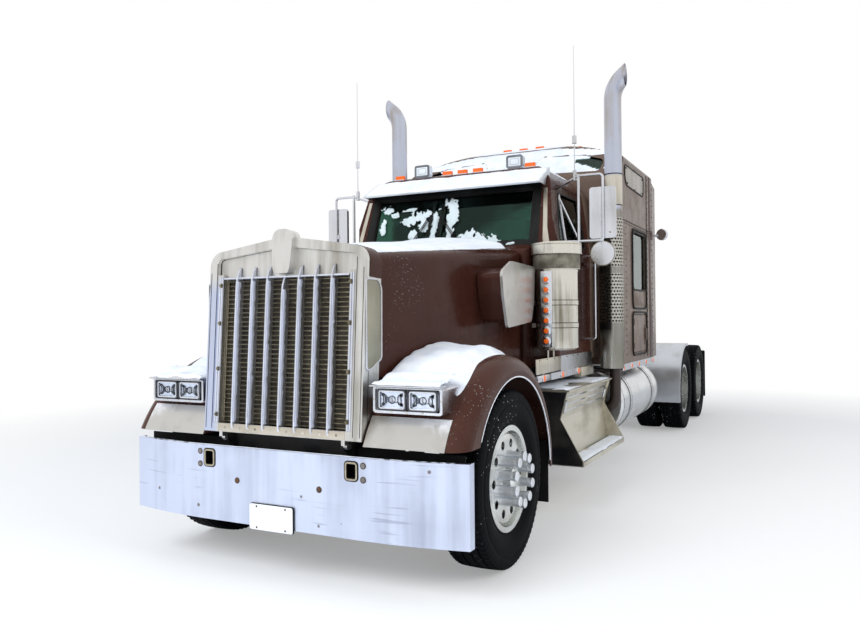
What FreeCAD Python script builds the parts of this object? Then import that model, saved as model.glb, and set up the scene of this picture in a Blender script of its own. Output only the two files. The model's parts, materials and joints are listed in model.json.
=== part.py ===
# A long-nosed three-axle tractor unit with a raised-roof sleeper, twin exhaust stacks and twin outside air cleaners.
# Millimetres. +X is the vehicle's left, +Y is rearward, +Z is up. Sizes along the vehicle are measured from the
# front axle while modelling, and save() moves every piece so that the origin is on the ground, mid-length.
import FreeCAD
import Part
import math
import os

V = FreeCAD.Vector
OUT = "parts"

# Wheels and tyres
TYRE_R = 545.0
TYRE_W = 280.0
TYRE_SHOULDER = 22.0
RIM_SEAT_R = 303.0
RIM_FLANGE_R = 324.0
RIM_HALF_W = 113.0
RIM_WALL = 12.0
RIM_FLANGE_T = 8.0
SEAT_GAP = 0.3
PCD_R = 142.9
LUG_COUNT = 10
LUG_R = 21.0
LUG_LENGTH = 118.0
HAND_HOLE_R = 27.0
HAND_HOLE_CIRCLE_R = 217.0
FRONT_TYRE_X = 1032.0
DUAL_OUTER_X = 1068.0
DUAL_INNER_X = 738.0

# Axle places
AXLE_SPREAD = 1320.0
FIRST_DRIVE_Y = 6510.0
SECOND_DRIVE_Y = FIRST_DRIVE_Y + AXLE_SPREAD
TANDEM_Y = (FIRST_DRIVE_Y + SECOND_DRIVE_Y) / 2

# Frame
RAIL_TOP = 1000.0
RAIL_H = 270.0
RAIL_OUT = 430.0
RAIL_FLANGE = 90.0
RAIL_T = 10.0
RAIL_BOTTOM = RAIL_TOP - RAIL_H
FRAME_FRONT = -690.0
FRAME_END = 8740.0
CROSS_T = 10.0

# Bumper
BUMPER_REACH = 810.0
BUMPER_HALF_W = 1205.0
BUMPER_SWEEP = 75.0
BUMPER_BOTTOM = 304.0
BUMPER_TOP = 760.0
BUMPER_T = 8.0
BUMPER_FLANGE = 34.0
BUMPER_END_RETURN = 60.0
TOW_HOLE_X = 518.0
TOW_HOLE_Z = 683.0
TOW_HOLE_W = 78.0
TOW_HOLE_H = 100.0

# Grille, hood and fenders
GRILLE_RAKE = 3.8
GRILLE_FOOT_Y = -794.0
GRILLE_FOOT_Z = 846.0
SHELL_HALF_W = 576.0
SHELL_SIDE_H = 1100.0
SHELL_PEAK_H = 1186.0
SHELL_CORNER_R = 95.0
SHELL_LEG_W = 108.0
SHELL_BAND_W = 62.0
SHELL_DEPTH = 170.0
SHELL_T = 10.0
MESH_BOTTOM_H = 52.0
MESH_TOP_H = 938.0
MESH_RECESS = 46.0
SLAT_PITCH = 28.0
SLAT_T = 7.0
SLAT_DEPTH = 16.0
BAR_COUNT = 7
BAR_W = 24.0
BAR_REACH = 14.0
BAR_TIP_H = 1012.0
CAP_FOOT_H = 960.0
HOOD_T = 9.0
HOOD_FRONT_Y = -596.0
HOOD_REAR_Y = 1262.0
HOOD_BOTTOM_Z = 1190.0
PIVOT_Y = -735.0
PIVOT_Z = 815.0
PIVOT_PIN_R = 14.0
FENDER_IN_X = 580.0
FENDER_OUT_X = 1196.0
FENDER_TOP_Z = 1302.0
FENDER_FRONT_Y = -790.0
FENDER_REAR_Y = 760.0
FENDER_OPEN_R = 640.0
FENDER_OPEN_Z = 530.0
FENDER_T = 9.0
FENDER_EDGE_R = 105.0
FENDER_FRONT_Z = 822.0
FENDER_REAR_Z = 505.0
FLAP_X0 = 640.0
FLAP_X1 = 1160.0
FLAP_Z0 = 250.0
FLAP_Z1 = 670.0
FLAP_T = 8.0
POD_X0 = 626.0
POD_X1 = 1056.0
POD_Z0 = 1008.0
POD_Z1 = 1158.0
POD_FRONT_Y = -748.0
POD_WALL = 14.0

# Cab
CAB_FLOOR_Z = 1135.0
CAB_BELT_Z = 2110.0
CAB_EAVE_Z = 2680.0
CAB_ROOF_Z = 2830.0
CAB_WALL = 40.0
DOOR_WALL = 60.0
COWL_Y = 1300.0
COWL_HALF_W = 800.0
SCREEN_FOOT_Y = 1490.0
SCREEN_HEAD_Y = 1690.0
SCREEN_HALF_W = 775.0
CAB_HALF_W = 955.0
CAB_EAVE_HALF_W = 872.0
CAB_BACK_Y = 2600.0
DOOR_FRONT_Y = 1608.0
DOOR_REAR_Y = 2490.0
DOOR_SILL_Z = 1325.0
DOOR_HEAD_Z = 2640.0
DOOR_GAP = 6.0
DOOR_PIN_R = 8.0
DOOR_PIN_OUT = 14.0
GLASS_T = 6.0
GLASS_INSET = 15.0

# Sleeper
SLEEPER_FRONT_Y = 2885.0
SLEEPER_BACK_Y = 4430.0
SLEEPER_HALF_W = 1170.0
SLEEPER_BOTTOM_Z = 1075.0
SLEEPER_EAVE_Z = 3095.0
SLEEPER_ROOF_Z = 3330.0
SLEEPER_WALL = 40.0
EXTENDER_END_Y = 4800.0
NECK_Y = CAB_BACK_Y + 0.3
NECK_HALF_W = 950.0
WINDOW_Y0 = 3395.0
WINDOW_Y1 = 4025.0
WINDOW_Z0 = 1800.0
WINDOW_Z1 = 2390.0
BAY_DOOR_Z0 = 1167.0
BAY_DOOR_Z1 = 1545.0

# Exhausts and air cleaners
STACK_X = 1142.0
STACK_Y = 2742.0
STACK_R = 80.0
STACK_WALL = 4.0
STACK_BEND_Z = 3556.0
STACK_BEND_R = 260.0
STACK_SEAM_Z = 2850.0
STACK_CUT_X = 1262.0
MUFFLER_R = 73.0
SHIELD_X = 1106.0
SHIELD_R = 118.0
SHIELD_T = 4.0
SHIELD_BOTTOM_Z = 1050.0
SHIELD_TOP_Z = 2520.0
ELBOW_Z = 665.0
FEED_X = -232.0
CLEANER_X = 1008.0
CLEANER_Y = 1405.0
CLEANER_R = 163.0
CLEANER_Z0 = 1290.0
CLEANER_Z1 = 2020.0
CLEANER_CAP_R = 196.0
CLEANER_CAP_TOP = 2112.0

# Side gear
TANK_R = 310.0
TANK_X = 878.0
TANK_Z = 705.0
TANK_Y0 = 2860.0
TANK_Y1 = 4560.0
STEP_Y0 = 1300.0
STEP_Y1 = 2640.0
STEP_TOP_Z = 968.0
STEP_TOP_X = 1120.0
STEP_KINK_X = 1062.0
STEP_KINK_Z = 742.0
STEP_TREAD_X = 1240.0
STEP_TREAD_Z = 425.0
STEP_TREAD_T = 38.0

# Fifth wheel
FIFTH_Y = 7020.0
FIFTH_TOP_Z = 1205.0
FIFTH_HALF_W = 455.0
FIFTH_PIVOT_Z = 1120.0
KINGPIN_BORE_R = 25.6
KINGPIN_BORE_L = 60.0

# Steering
KINGPIN_X = 880.0
KINGPIN_R = 22.0
BOSS_R = 44.0
BOSS_H = 100.0
LUG_GAP = 5.0
LUG_H = 42.0
TIE_Y = 250.0

MID_Y = (FRAME_END - BUMPER_REACH) / 2


# Small makers shared by the pieces
def box(x0, x1, y0, y1, z0, z1):
    """A block between two corners, given in any order."""
    lo = V(min(x0, x1), min(y0, y1), min(z0, z1))
    hi = V(max(x0, x1), max(y0, y1), max(z0, z1))
    return Part.makeBox(hi.x - lo.x, hi.y - lo.y, hi.z - lo.z, lo)


def cyl(x, y, z, r, length, axis="z"):
    """A cylinder that starts at a point and runs along one axis."""
    along = {"x": V(1, 0, 0), "y": V(0, 1, 0), "z": V(0, 0, 1)}[axis]
    return Part.makeCylinder(r, length, V(x, y, z), along)


def loop(points, radius=0.0):
    """A closed flat outline through points, with each corner rounded. radius is one value or one for each corner."""
    n = len(points)
    radii = radius if isinstance(radius, (list, tuple)) else [radius] * n
    ends = []
    for i, p in enumerate(points):
        a = (points[i - 1] - p).normalize()
        b = (points[(i + 1) % n] - p).normalize()
        half = a.getAngle(b) / 2
        if radii[i] <= 0 or half > math.radians(89.5):
            ends.append((p, None, p))
            continue
        reach = radii[i] / math.tan(half)
        middle = (a + b).normalize()
        crown = p + middle * (radii[i] / math.sin(half) - radii[i])
        ends.append((p + a * reach, crown, p + b * reach))
    edges = []
    for i in range(n):
        start, crown, stop = ends[i]
        if crown is not None:
            edges.append(Part.Arc(start, crown, stop).toShape())
        after = ends[(i + 1) % n][0]
        if (after - stop).Length > 1e-6:
            edges.append(Part.LineSegment(stop, after).toShape())
    return Part.Wire(edges)


def slab_x(yz, x0, x1, radius=0.0):
    """A flat outline in the YZ plane, thickened along X."""
    wire = loop([V(x0, y, z) for y, z in yz], radius)
    return Part.Face(wire).extrude(V(x1 - x0, 0, 0))


def slab_y(xz, y0, y1, radius=0.0):
    """A flat outline in the XZ plane, thickened along Y."""
    wire = loop([V(x, y0, z) for x, z in xz], radius)
    return Part.Face(wire).extrude(V(0, y1 - y0, 0))


def slab_z(xy, z0, z1, radius=0.0):
    """A flat outline in the XY plane, thickened along Z."""
    wire = loop([V(x, y, z0) for x, y in xy], radius)
    return Part.Face(wire).extrude(V(0, 0, z1 - z0))


def rectangle(a0, a1, b0, b1):
    """The four corners of a rectangle in any plane."""
    return [(a0, b0), (a1, b0), (a1, b1), (a0, b1)]


def mirrored(shape):
    """The same piece on the vehicle's other side."""
    return shape.mirror(V(0, 0, 0), V(1, 0, 0))


def pair(shape):
    """A piece and its mirror image."""
    return [shape, mirrored(shape)]


def fuse(pieces):
    """Several touching pieces as one solid."""
    joined = pieces[0].multiFuse(pieces[1:]) if len(pieces) > 1 else pieces[0]
    return joined.removeSplitter()


def turned(shape, degrees, y, z):
    """A piece turned about a line along X. Positive leans its top rearward."""
    placed = shape.copy()
    placed.rotate(V(0, y, z), V(1, 0, 0), -degrees)
    return placed


def pipe(points, bend_r, tube_r):
    """A round bar along a route with rounded corners."""
    edges = []
    start = points[0]
    for i in range(1, len(points) - 1):
        p = points[i]
        a = (points[i - 1] - p).normalize()
        b = (points[i + 1] - p).normalize()
        half = a.getAngle(b) / 2
        reach = bend_r / math.tan(half)
        crown = p + (a + b).normalize() * (bend_r / math.sin(half) - bend_r)
        edges.append(Part.LineSegment(start, p + a * reach).toShape())
        edges.append(Part.Arc(p + a * reach, crown, p + b * reach).toShape())
        start = p + b * reach
    edges.append(Part.LineSegment(start, points[-1]).toShape())
    path = Part.Wire(edges)
    ring = Part.Circle(points[0], points[1] - points[0], tube_r).toShape()
    return path.makePipeShell([Part.Wire([ring])], True, False)


def turned_profile(xr, x, y):
    """A ring about an axle: an outline of (along X, radius) points turned about the wheel's centre line."""
    wire = loop([V(a, 0, r) for a, r in xr])
    ring = Part.Face(wire).revolve(V(0, 0, 0), V(1, 0, 0), 360)
    ring.translate(V(x, y, TYRE_R))
    return ring


def save(name, shapes):
    """Writes one node's solids, moved so that the origin is at mid-length."""
    solids = [solid for shape in shapes for solid in shape.Solids]
    for solid in solids:
        if not solid.isValid() or solid.Volume < 1:
            raise ValueError("a solid of %s is not sound" % name)
    node = Part.makeCompound(solids)
    node.translate(V(0, -MID_Y, 0))
    node.exportStep(os.path.join(OUT, name + ".step"))
    size = node.BoundBox
    print("%-26s %2d solids  x %6.0f..%6.0f  y %6.0f..%6.0f  z %6.0f..%6.0f"
          % (name, len(solids), size.XMin, size.XMax, size.YMin, size.YMax, size.ZMin, size.ZMax))


# Wheels
def tyre(x, y):
    """One road tyre, solid between its beads."""
    half = TYRE_W / 2
    bead_x = RIM_HALF_W - RIM_FLANGE_T - SEAT_GAP
    bead_r = RIM_SEAT_R + SEAT_GAP
    side_r = (TYRE_R + RIM_FLANGE_R) / 2 - 20
    shoulder_x = half - TYRE_SHOULDER
    profile = [
        Part.LineSegment(V(-bead_x, 0, bead_r), V(-bead_x, 0, RIM_FLANGE_R + 2)),
        Part.Arc(V(-bead_x, 0, RIM_FLANGE_R + 2), V(-half, 0, side_r), V(-half + 8, 0, TYRE_R - 24)),
        Part.Arc(V(-half + 8, 0, TYRE_R - 24), V(-half + 13, 0, TYRE_R - 11), V(-shoulder_x, 0, TYRE_R - 4)),
        Part.Arc(V(-shoulder_x, 0, TYRE_R - 4), V(0, 0, TYRE_R), V(shoulder_x, 0, TYRE_R - 4)),
        Part.Arc(V(shoulder_x, 0, TYRE_R - 4), V(half - 13, 0, TYRE_R - 11), V(half - 8, 0, TYRE_R - 24)),
        Part.Arc(V(half - 8, 0, TYRE_R - 24), V(half, 0, side_r), V(bead_x, 0, RIM_FLANGE_R + 2)),
        Part.LineSegment(V(bead_x, 0, RIM_FLANGE_R + 2), V(bead_x, 0, bead_r)),
        Part.LineSegment(V(bead_x, 0, bead_r), V(-bead_x, 0, bead_r)),
    ]
    wire = Part.Wire([edge.toShape() for edge in profile])
    ring = Part.Face(wire).revolve(V(0, 0, 0), V(1, 0, 0), 360)
    ring.translate(V(x, y, TYRE_R))
    return ring


def barrel():
    """The outline points of a rim's barrel with its two flanges, about its own middle, without the disc."""
    w, t, seat = RIM_HALF_W, RIM_FLANGE_T, RIM_SEAT_R
    inner = seat - RIM_WALL
    return [(-w, inner), (w, inner), (w, RIM_FLANGE_R), (w - t, RIM_FLANGE_R), (w - t, seat),
            (-w + t, seat), (-w + t, RIM_FLANGE_R), (-w, RIM_FLANGE_R)]


def around(shape, x, y, count, first=0.0):
    """Copies of a piece spaced evenly round a wheel's axle."""
    copies = []
    for i in range(count):
        copy = shape.copy()
        copy.rotate(V(x, y, TYRE_R), V(1, 0, 0), first + 360.0 * i / count)
        copies.append(copy)
    return copies


def lug_cover(x, y, length):
    """One long wheel-nut cover with a flared end, pointing along +X from a wheel face."""
    xr = [(0, 0), (length, 0), (length, LUG_R * 1.1), (length - 9, LUG_R * 1.12), (length * 0.72, LUG_R * 0.76),
          (length * 0.3, LUG_R * 0.95), (0, LUG_R * 1.15)]
    wire = loop([V(a, 0, r) for a, r in xr])
    cover = Part.Face(wire).revolve(V(0, 0, 0), V(1, 0, 0), 360)
    cover.translate(V(x, y, TYRE_R + PCD_R))
    return cover


FRONT_FACE = 96.0
FRONT_DISC_T = 16.0
FRONT_HUB_R = 104.0
SPINDLE_R = 38.0
SPINDLE_IN_X = 925.0
SPINDLE_OUT_X = 1120.0


def front_wheel():
    """The left steer wheel: rim, convex disc with hand holes, hub, hub cap and nut covers."""
    x = FRONT_TYRE_X
    rim = turned_profile(barrel(), x, 0)
    inner = RIM_SEAT_R - RIM_WALL + 1
    face, t = FRONT_FACE, FRONT_DISC_T
    disc = turned_profile([(40, inner), (58, inner), (face - 6, 268), (face, 240), (face, 60), (face - t, 60),
                           (face - t, 232), (face - t - 8, 250)], x, 0)
    hub_in = SPINDLE_IN_X + 24 - x
    bore = SPINDLE_R + SEAT_GAP
    hub = turned_profile([(hub_in, bore), (SPINDLE_OUT_X + 6 - x, bore), (SPINDLE_OUT_X + 6 - x, 0), (face + 64, 0),
                          (face + 64, 50), (face + 46, 70), (face - 4, 78), (face - 4, FRONT_HUB_R),
                          (face - t - 6, FRONT_HUB_R), (20, 90), (hub_in, 90)], x, 0)
    drum = turned_profile([(hub_in, 88), (hub_in, 195), (40, 195), (40, 183), (hub_in + 10, 183), (hub_in + 10, 88)], x, 0)
    wheel = fuse([rim, disc, hub, drum])
    hole = cyl(x, 0, TYRE_R + HAND_HOLE_CIRCLE_R, HAND_HOLE_R, face + 20, "x")
    wheel = wheel.cut(Part.makeCompound(around(hole, x, 0, LUG_COUNT, 18)))
    covers = around(lug_cover(x + face - 2, 0, LUG_LENGTH), x, 0, LUG_COUNT)
    return fuse([wheel] + covers)


DUAL_FACE_X = (DUAL_OUTER_X + DUAL_INNER_X) / 2
AXLE_END_X = 960.0
AXLE_TUBE_R = 68.0


def dual_wheels(y):
    """A left pair of drive wheels on their hub: two rims back to back, with drum, hub and nut covers."""
    outer = turned_profile(barrel(), DUAL_OUTER_X, y)
    inner = turned_profile(barrel(), DUAL_INNER_X, y)
    r = RIM_SEAT_R - RIM_WALL + 1
    reach = DUAL_OUTER_X - RIM_HALF_W - DUAL_FACE_X
    dish = [(0, 80), (0, 232), (reach - 14, 262), (reach + 8, r), (reach + 26, r), (reach + 6, 252), (13, 222), (13, 80)]
    outer_disc = turned_profile(dish, DUAL_FACE_X, y)
    inner_disc = turned_profile([(-a, b) for a, b in dish], DUAL_FACE_X, y)
    bore = AXLE_TUBE_R + SEAT_GAP
    hub_in = DUAL_FACE_X - 250
    hub = turned_profile([(hub_in, bore), (AXLE_END_X + 5, bore), (AXLE_END_X + 5, 0), (AXLE_END_X + 62, 0),
                          (AXLE_END_X + 62, 66), (AXLE_END_X + 44, 84), (DUAL_FACE_X + 12, 92), (DUAL_FACE_X - 12, 104),
                          (DUAL_FACE_X - 40, 104), (DUAL_FACE_X - 60, 88), (hub_in, 88)], 0, y)
    drum_face = DUAL_FACE_X - 40
    drum = turned_profile([(drum_face, 90), (drum_face, 208), (hub_in, 208), (hub_in, 194), (drum_face - 14, 194),
                           (drum_face - 14, 90)], 0, y)
    wheel = fuse([outer, inner, outer_disc, inner_disc, hub, drum])
    hole = cyl(DUAL_FACE_X - 60, y, TYRE_R + 205, HAND_HOLE_R, 120, "x")
    wheel = wheel.cut(Part.makeCompound(around(hole, 0, y, LUG_COUNT, 18)))
    covers = around(lug_cover(DUAL_FACE_X + 12, y, 62), 0, y, LUG_COUNT)
    return fuse([wheel] + covers)


# Steering and front axle
def front_axle():
    """The dropped forged beam with its kingpins, and the two leaf springs that carry it with their hangers."""
    top, z = TYRE_R + BOSS_H / 2 - 8, TYRE_R
    half = [(0, 560), (560, 560), (KINGPIN_X - 120, top), (KINGPIN_X, top), (KINGPIN_X, z - 42), (KINGPIN_X - 120, z - 46),
            (600, 462), (0, 462)]
    outline = half[:-1] + [(-a, b) for a, b in reversed(half[1:-1])]
    beam = slab_y([(-a, b) for a, b in outline], -48, 48)
    groove = slab_y(rectangle(-540, 540, 482, 540), 14, 50)
    beam = beam.cut(groove).cut(groove.mirror(V(0, 0, 0), V(0, 1, 0)))
    parts = [beam]
    for side in (-1, 1):
        x = side * KINGPIN_X
        parts.append(cyl(x, 0, z - BOSS_H / 2, BOSS_R, BOSS_H))
        pin = BOSS_H / 2 + LUG_GAP + LUG_H + 3
        parts.append(cyl(x, 0, z - pin, KINGPIN_R, 2 * pin))
        parts += front_spring(side * (RAIL_OUT - RAIL_FLANGE / 2))
    return fuse(parts)


SPRING_HALF_L = 600.0
SPRING_EYE_Z = 668.0
LEAF_T = 13.0


def leaf(x, half_length, seat_z, end_z):
    """One curved spring leaf across the axle."""
    under = Part.Arc(V(x, -half_length, end_z), V(x, 0, seat_z), V(x, half_length, end_z)).toShape()
    over = Part.Arc(V(x, half_length, end_z + LEAF_T), V(x, 0, seat_z + LEAF_T), V(x, -half_length, end_z + LEAF_T)).toShape()
    back = Part.LineSegment(V(x, half_length, end_z), V(x, half_length, end_z + LEAF_T)).toShape()
    front = Part.LineSegment(V(x, -half_length, end_z + LEAF_T), V(x, -half_length, end_z)).toShape()
    return Part.Face(Part.Wire([under, back, over, front])).extrude(V(RAIL_FLANGE - 10, 0, 0))


def front_spring(x):
    """A leaf pack clamped on the beam, with hangers up to the frame rail."""
    left = x - (RAIL_FLANGE - 10) / 2
    seat = 560 + 26
    leaves = []
    for i, share in enumerate((0.42, 0.68, 1.0)):
        rise = (SPRING_EYE_Z - seat) * share ** 2
        base = seat - 1 + i * (LEAF_T - 1)
        leaves.append(leaf(left, SPRING_HALF_L * share, base, base + rise))
    width = RAIL_FLANGE - 10
    pad = box(left, left + width, -60, 60, 552, seat + 2)
    cap = box(left - 6, left + width + 6, -55, 55, seat + 3 * LEAF_T - 6, seat + 3 * LEAF_T + 12)
    pieces = leaves + [pad, cap]
    for end in (-1, 1):
        y = end * SPRING_HALF_L
        eye_z = SPRING_EYE_Z + 2 * LEAF_T + 4
        pieces.append(cyl(left, y, eye_z - 4, 22, width, "x"))
        pieces.append(box(left, left + width, y - 26, y + 26, eye_z - 8, RAIL_BOTTOM))
    return pieces


def knuckle():
    """The left steering knuckle: two lugs about the kingpin, the spindle, the brake spider and the steering arm."""
    z, x = TYRE_R, KINGPIN_X
    low, high = z - BOSS_H / 2 - LUG_GAP - LUG_H, z + BOSS_H / 2 + LUG_GAP
    lugs = []
    for base in (low, high):
        lugs.append(cyl(x, 0, base, 48, LUG_H))
        lugs.append(box(x, SPINDLE_IN_X + 12, -40, 40, base, base + LUG_H))
    yoke = box(x + BOSS_R + 6, SPINDLE_IN_X + 14, -55, 55, low, high + LUG_H)
    plate_x = x + BOSS_R + 6
    spindle = cyl(plate_x, 0, z, SPINDLE_R, SPINDLE_OUT_X - plate_x, "x")
    spider = cyl(plate_x, 0, z, 150, 10, "x")
    arm = slab_z([(x - 26, 20), (x + 26, 20), (x + 26, TIE_Y), (x - 26, TIE_Y)], low + 4, low + 28, [0, 0, 25, 25])
    body = fuse(lugs + [yoke, spindle, spider, arm])
    bores = [cyl(x, 0, low - 5, KINGPIN_R + SEAT_GAP, LUG_H + 10), cyl(x, 0, high - 5, KINGPIN_R + SEAT_GAP, LUG_H + 10)]
    ball = cyl(x, TIE_Y - 26, low - 34, 10, 40)
    return fuse([body.cut(Part.makeCompound(bores)), ball])


def tie_rod():
    """The cross tube that joins the two steering arms, with a socket on each arm's ball stud."""
    low = TYRE_R - BOSS_H / 2 - LUG_GAP - LUG_H
    y, z = TIE_Y - 26, low - 18
    parts = [cyl(-KINGPIN_X, y, z, 17, 2 * KINGPIN_X, "x")]
    for side in (-1, 1):
        parts.append(cyl(side * KINGPIN_X, y, z - 17, 27, 34))
    body = fuse(parts)
    for side in (-1, 1):
        body = body.cut(cyl(side * KINGPIN_X, y, z - 30, 10 + SEAT_GAP, 60))
    return body


# Frame, axles and drive
def frame():
    """Two channel rails with cross-members, the hood's pivot ears at the front and the end member at the back."""
    web = box(RAIL_OUT - RAIL_T, RAIL_OUT, FRAME_FRONT, FRAME_END, RAIL_BOTTOM, RAIL_TOP)
    upper = box(RAIL_OUT - RAIL_FLANGE, RAIL_OUT, FRAME_FRONT, FRAME_END, RAIL_TOP - RAIL_T, RAIL_TOP)
    lower = box(RAIL_OUT - RAIL_FLANGE, RAIL_OUT, FRAME_FRONT, FRAME_END, RAIL_BOTTOM, RAIL_BOTTOM + RAIL_T)
    ear = slab_x([(FRAME_FRONT - 2, 745), (FRAME_FRONT + 60, 745), (FRAME_FRONT + 60, 860), (PIVOT_Y + 8, PIVOT_Z + 26),
                  (PIVOT_Y - 26, PIVOT_Z + 20), (PIVOT_Y - 26, PIVOT_Z - 22)], RAIL_OUT - 12, RAIL_OUT)
    pin = cyl(RAIL_OUT - 12, PIVOT_Y, PIVOT_Z, PIVOT_PIN_R, 60, "x")
    rail = fuse([web, upper, lower, ear, pin])
    pieces = pair(rail)
    inside = RAIL_OUT - RAIL_T
    for y in (2180, 3000, 4300, 5600, FIRST_DRIVE_Y + 250, SECOND_DRIVE_Y + 300):
        member = box(-inside, inside, y, y + 80, RAIL_BOTTOM + RAIL_T, RAIL_TOP - RAIL_T)
        hollow = box(-inside - 1, inside + 1, y + CROSS_T, y + 81, RAIL_BOTTOM + RAIL_T + CROSS_T, RAIL_TOP - RAIL_T - CROSS_T)
        pieces.append(member.cut(hollow))
    pieces.append(box(-inside, inside, FRAME_FRONT + 10, FRAME_FRONT + 40, RAIL_BOTTOM + 10, 835))
    pieces.append(box(-inside, inside, FRAME_END - CROSS_T, FRAME_END, RAIL_BOTTOM, RAIL_TOP))
    for y, top in ((1480, CAB_FLOOR_Z), (2380, CAB_FLOOR_Z), (3020, SLEEPER_BOTTOM_Z), (4250, SLEEPER_BOTTOM_Z)):
        pieces += pair(box(RAIL_OUT - RAIL_FLANGE, RAIL_OUT, y, y + 110, RAIL_TOP - 5, top - SEAT_GAP))
    start, end = shaft_line()
    return fuse(pieces).cut(Part.makeCylinder(92, (end - start).Length + 400, start, end - start))


def drive_axle(y):
    """A drive axle: the tube between the wheels, the gear bowl and the pinion nose."""
    tube = cyl(-AXLE_END_X, y, TYRE_R, AXLE_TUBE_R, 2 * AXLE_END_X, "x")
    bowl = Part.makeSphere(205, V(30, y, TYRE_R)).common(box(-170, 200, y - 150, y + 200, TYRE_R - 215, TYRE_R + 215))
    nose = Part.makeCone(105, 62, 260, V(0, y - 80, TYRE_R + 10), V(0, -1, 0))
    return fuse([tube, bowl, nose])


BEAM_X = RAIL_OUT - 40
BEAM_BOTTOM = TYRE_R - AXLE_TUBE_R - 42
BAG_R = 128.0


def rear_suspension():
    """On each side of each drive axle, a trailing beam from a frame bracket, under the axle to an air spring."""
    units = []
    for y in (FIRST_DRIVE_Y, SECOND_DRIVE_Y):
        beam = slab_x([(y - 520, BEAM_BOTTOM + 60), (y - 60, BEAM_BOTTOM + 4), (y + 360, BEAM_BOTTOM - 40),
                       (y + 360, BEAM_BOTTOM + 4), (y + 60, BEAM_BOTTOM + 44), (y - 60, BEAM_BOTTOM + 44),
                       (y - 520, BEAM_BOTTOM + 116)], BEAM_X - 42, BEAM_X + 42)
        seat = box(BEAM_X - 42, BEAM_X + 42, y - 60, y + 60, BEAM_BOTTOM + 40, TYRE_R)
        hanger = slab_x([(y - 570, RAIL_TOP - 40), (y - 440, RAIL_TOP - 40), (y - 480, BEAM_BOTTOM + 50),
                         (y - 560, BEAM_BOTTOM + 50)], RAIL_OUT, RAIL_OUT + 14)
        foot = box(BEAM_X - 42, RAIL_OUT + 14, y - 556, y - 484, BEAM_BOTTOM + 62, BEAM_BOTTOM + 112)
        bag = cyl(BEAM_X, y + 240, BEAM_BOTTOM - 8, BAG_R * 0.8, 60)
        lobes = [cyl(BEAM_X, y + 240, BEAM_BOTTOM + 50 + i * 118, BAG_R, 112) for i in range(2)]
        waist = cyl(BEAM_X, y + 240, BEAM_BOTTOM + 40, BAG_R * 0.75, RAIL_BOTTOM - BEAM_BOTTOM - 40)
        unit = fuse([beam, seat, hanger, foot, bag, waist] + lobes)
        units += pair(unit.cut(cyl(BEAM_X - 60, y, TYRE_R, AXLE_TUBE_R + SEAT_GAP, 120, "x")))
    return units


ENGINE_BACK_Y = 1150.0


def shaft_line():
    """The main drive shaft's two ends, at the gearbox and at the first drive axle's nose."""
    return V(0, ENGINE_BACK_Y + 898, 860), V(0, FIRST_DRIVE_Y - 346, TYRE_R + 12)


def powertrain():
    """A plain block for the engine at its real size, with the gearbox, the drive shafts and their mounts."""
    engine = box(-300, 300, -230, ENGINE_BACK_Y, 620, 1560)
    bell = Part.makeCone(250, 170, 260, V(0, ENGINE_BACK_Y - 2, 880), V(0, 1, 0))
    gearbox = box(-165, 165, ENGINE_BACK_Y + 240, ENGINE_BACK_Y + 900, 720, 1040)
    start, end = shaft_line()
    shaft = Part.makeCylinder(55, (end - start).Length, start, end - start)
    mounts = []
    for s in (-1, 1):
        for x, y in ((290, 130), (155, ENGINE_BACK_Y + 500)):
            mounts.append(box(s * x, s * (RAIL_OUT - RAIL_T - SEAT_GAP), y, y + 90, 800, 860))
    link = cyl(0, FIRST_DRIVE_Y + 200.3, TYRE_R + 10, 40, AXLE_SPREAD - 200.3 - 340.3, "y")
    return [fuse([engine, bell, gearbox, shaft] + mounts), link]


def radiator():
    """The radiator core in its frame, upright behind the grille."""
    foot = RAIL_TOP + SEAT_GAP
    core = box(-430, 430, -560, -480, foot + 25, 1790)
    bottom = box(-455, 455, -575, -465, foot, foot + 40)
    top = box(-455, 455, -575, -465, 1775, 1835)
    sides = [box(s * 430, s * 455, -575, -465, foot, 1835) for s in (-1, 1)]
    return fuse([core, bottom, top] + sides)


# Bumper
def bumper_plan(back, shorten):
    """The bumper's front line in plan as an edge list from left to right, set back by an amount."""
    flat = 560.0
    y = -BUMPER_REACH + back
    end = BUMPER_HALF_W - shorten
    sweep = BUMPER_SWEEP
    mid_x = (flat + end) / 2
    mid_y = y + sweep * 0.27
    return y, end, sweep, flat, mid_x, mid_y


def bumper_band(back0, back1, z0, z1, shorten1=0.0):
    """A band that follows the bumper's plan between two set-backs and two heights."""
    def side(back, shorten):
        y, end, sweep, flat, mid_x, mid_y = bumper_plan(back, shorten)
        a, b, c = V(flat, y, z0), V(mid_x, mid_y, z0), V(end, y + sweep, z0)
        left = Part.Arc(a, b, c).toShape()
        middle = Part.LineSegment(V(-flat, y, z0), a).toShape()
        right = Part.Arc(V(-end, y + sweep, z0), V(-mid_x, mid_y, z0), V(-flat, y, z0)).toShape()
        return [right, middle, left], V(-end, y + sweep, z0), c
    front, front_right, front_left = side(back0, 0)
    back, back_right, back_left = side(back1, shorten1)
    ends = [Part.LineSegment(front_left, back_left).toShape(), Part.LineSegment(back_right, front_right).toShape()]
    wire = Part.Wire(Part.__sortEdges__(front + back + ends))
    return Part.Face(wire).extrude(V(0, 0, z1 - z0))


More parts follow.
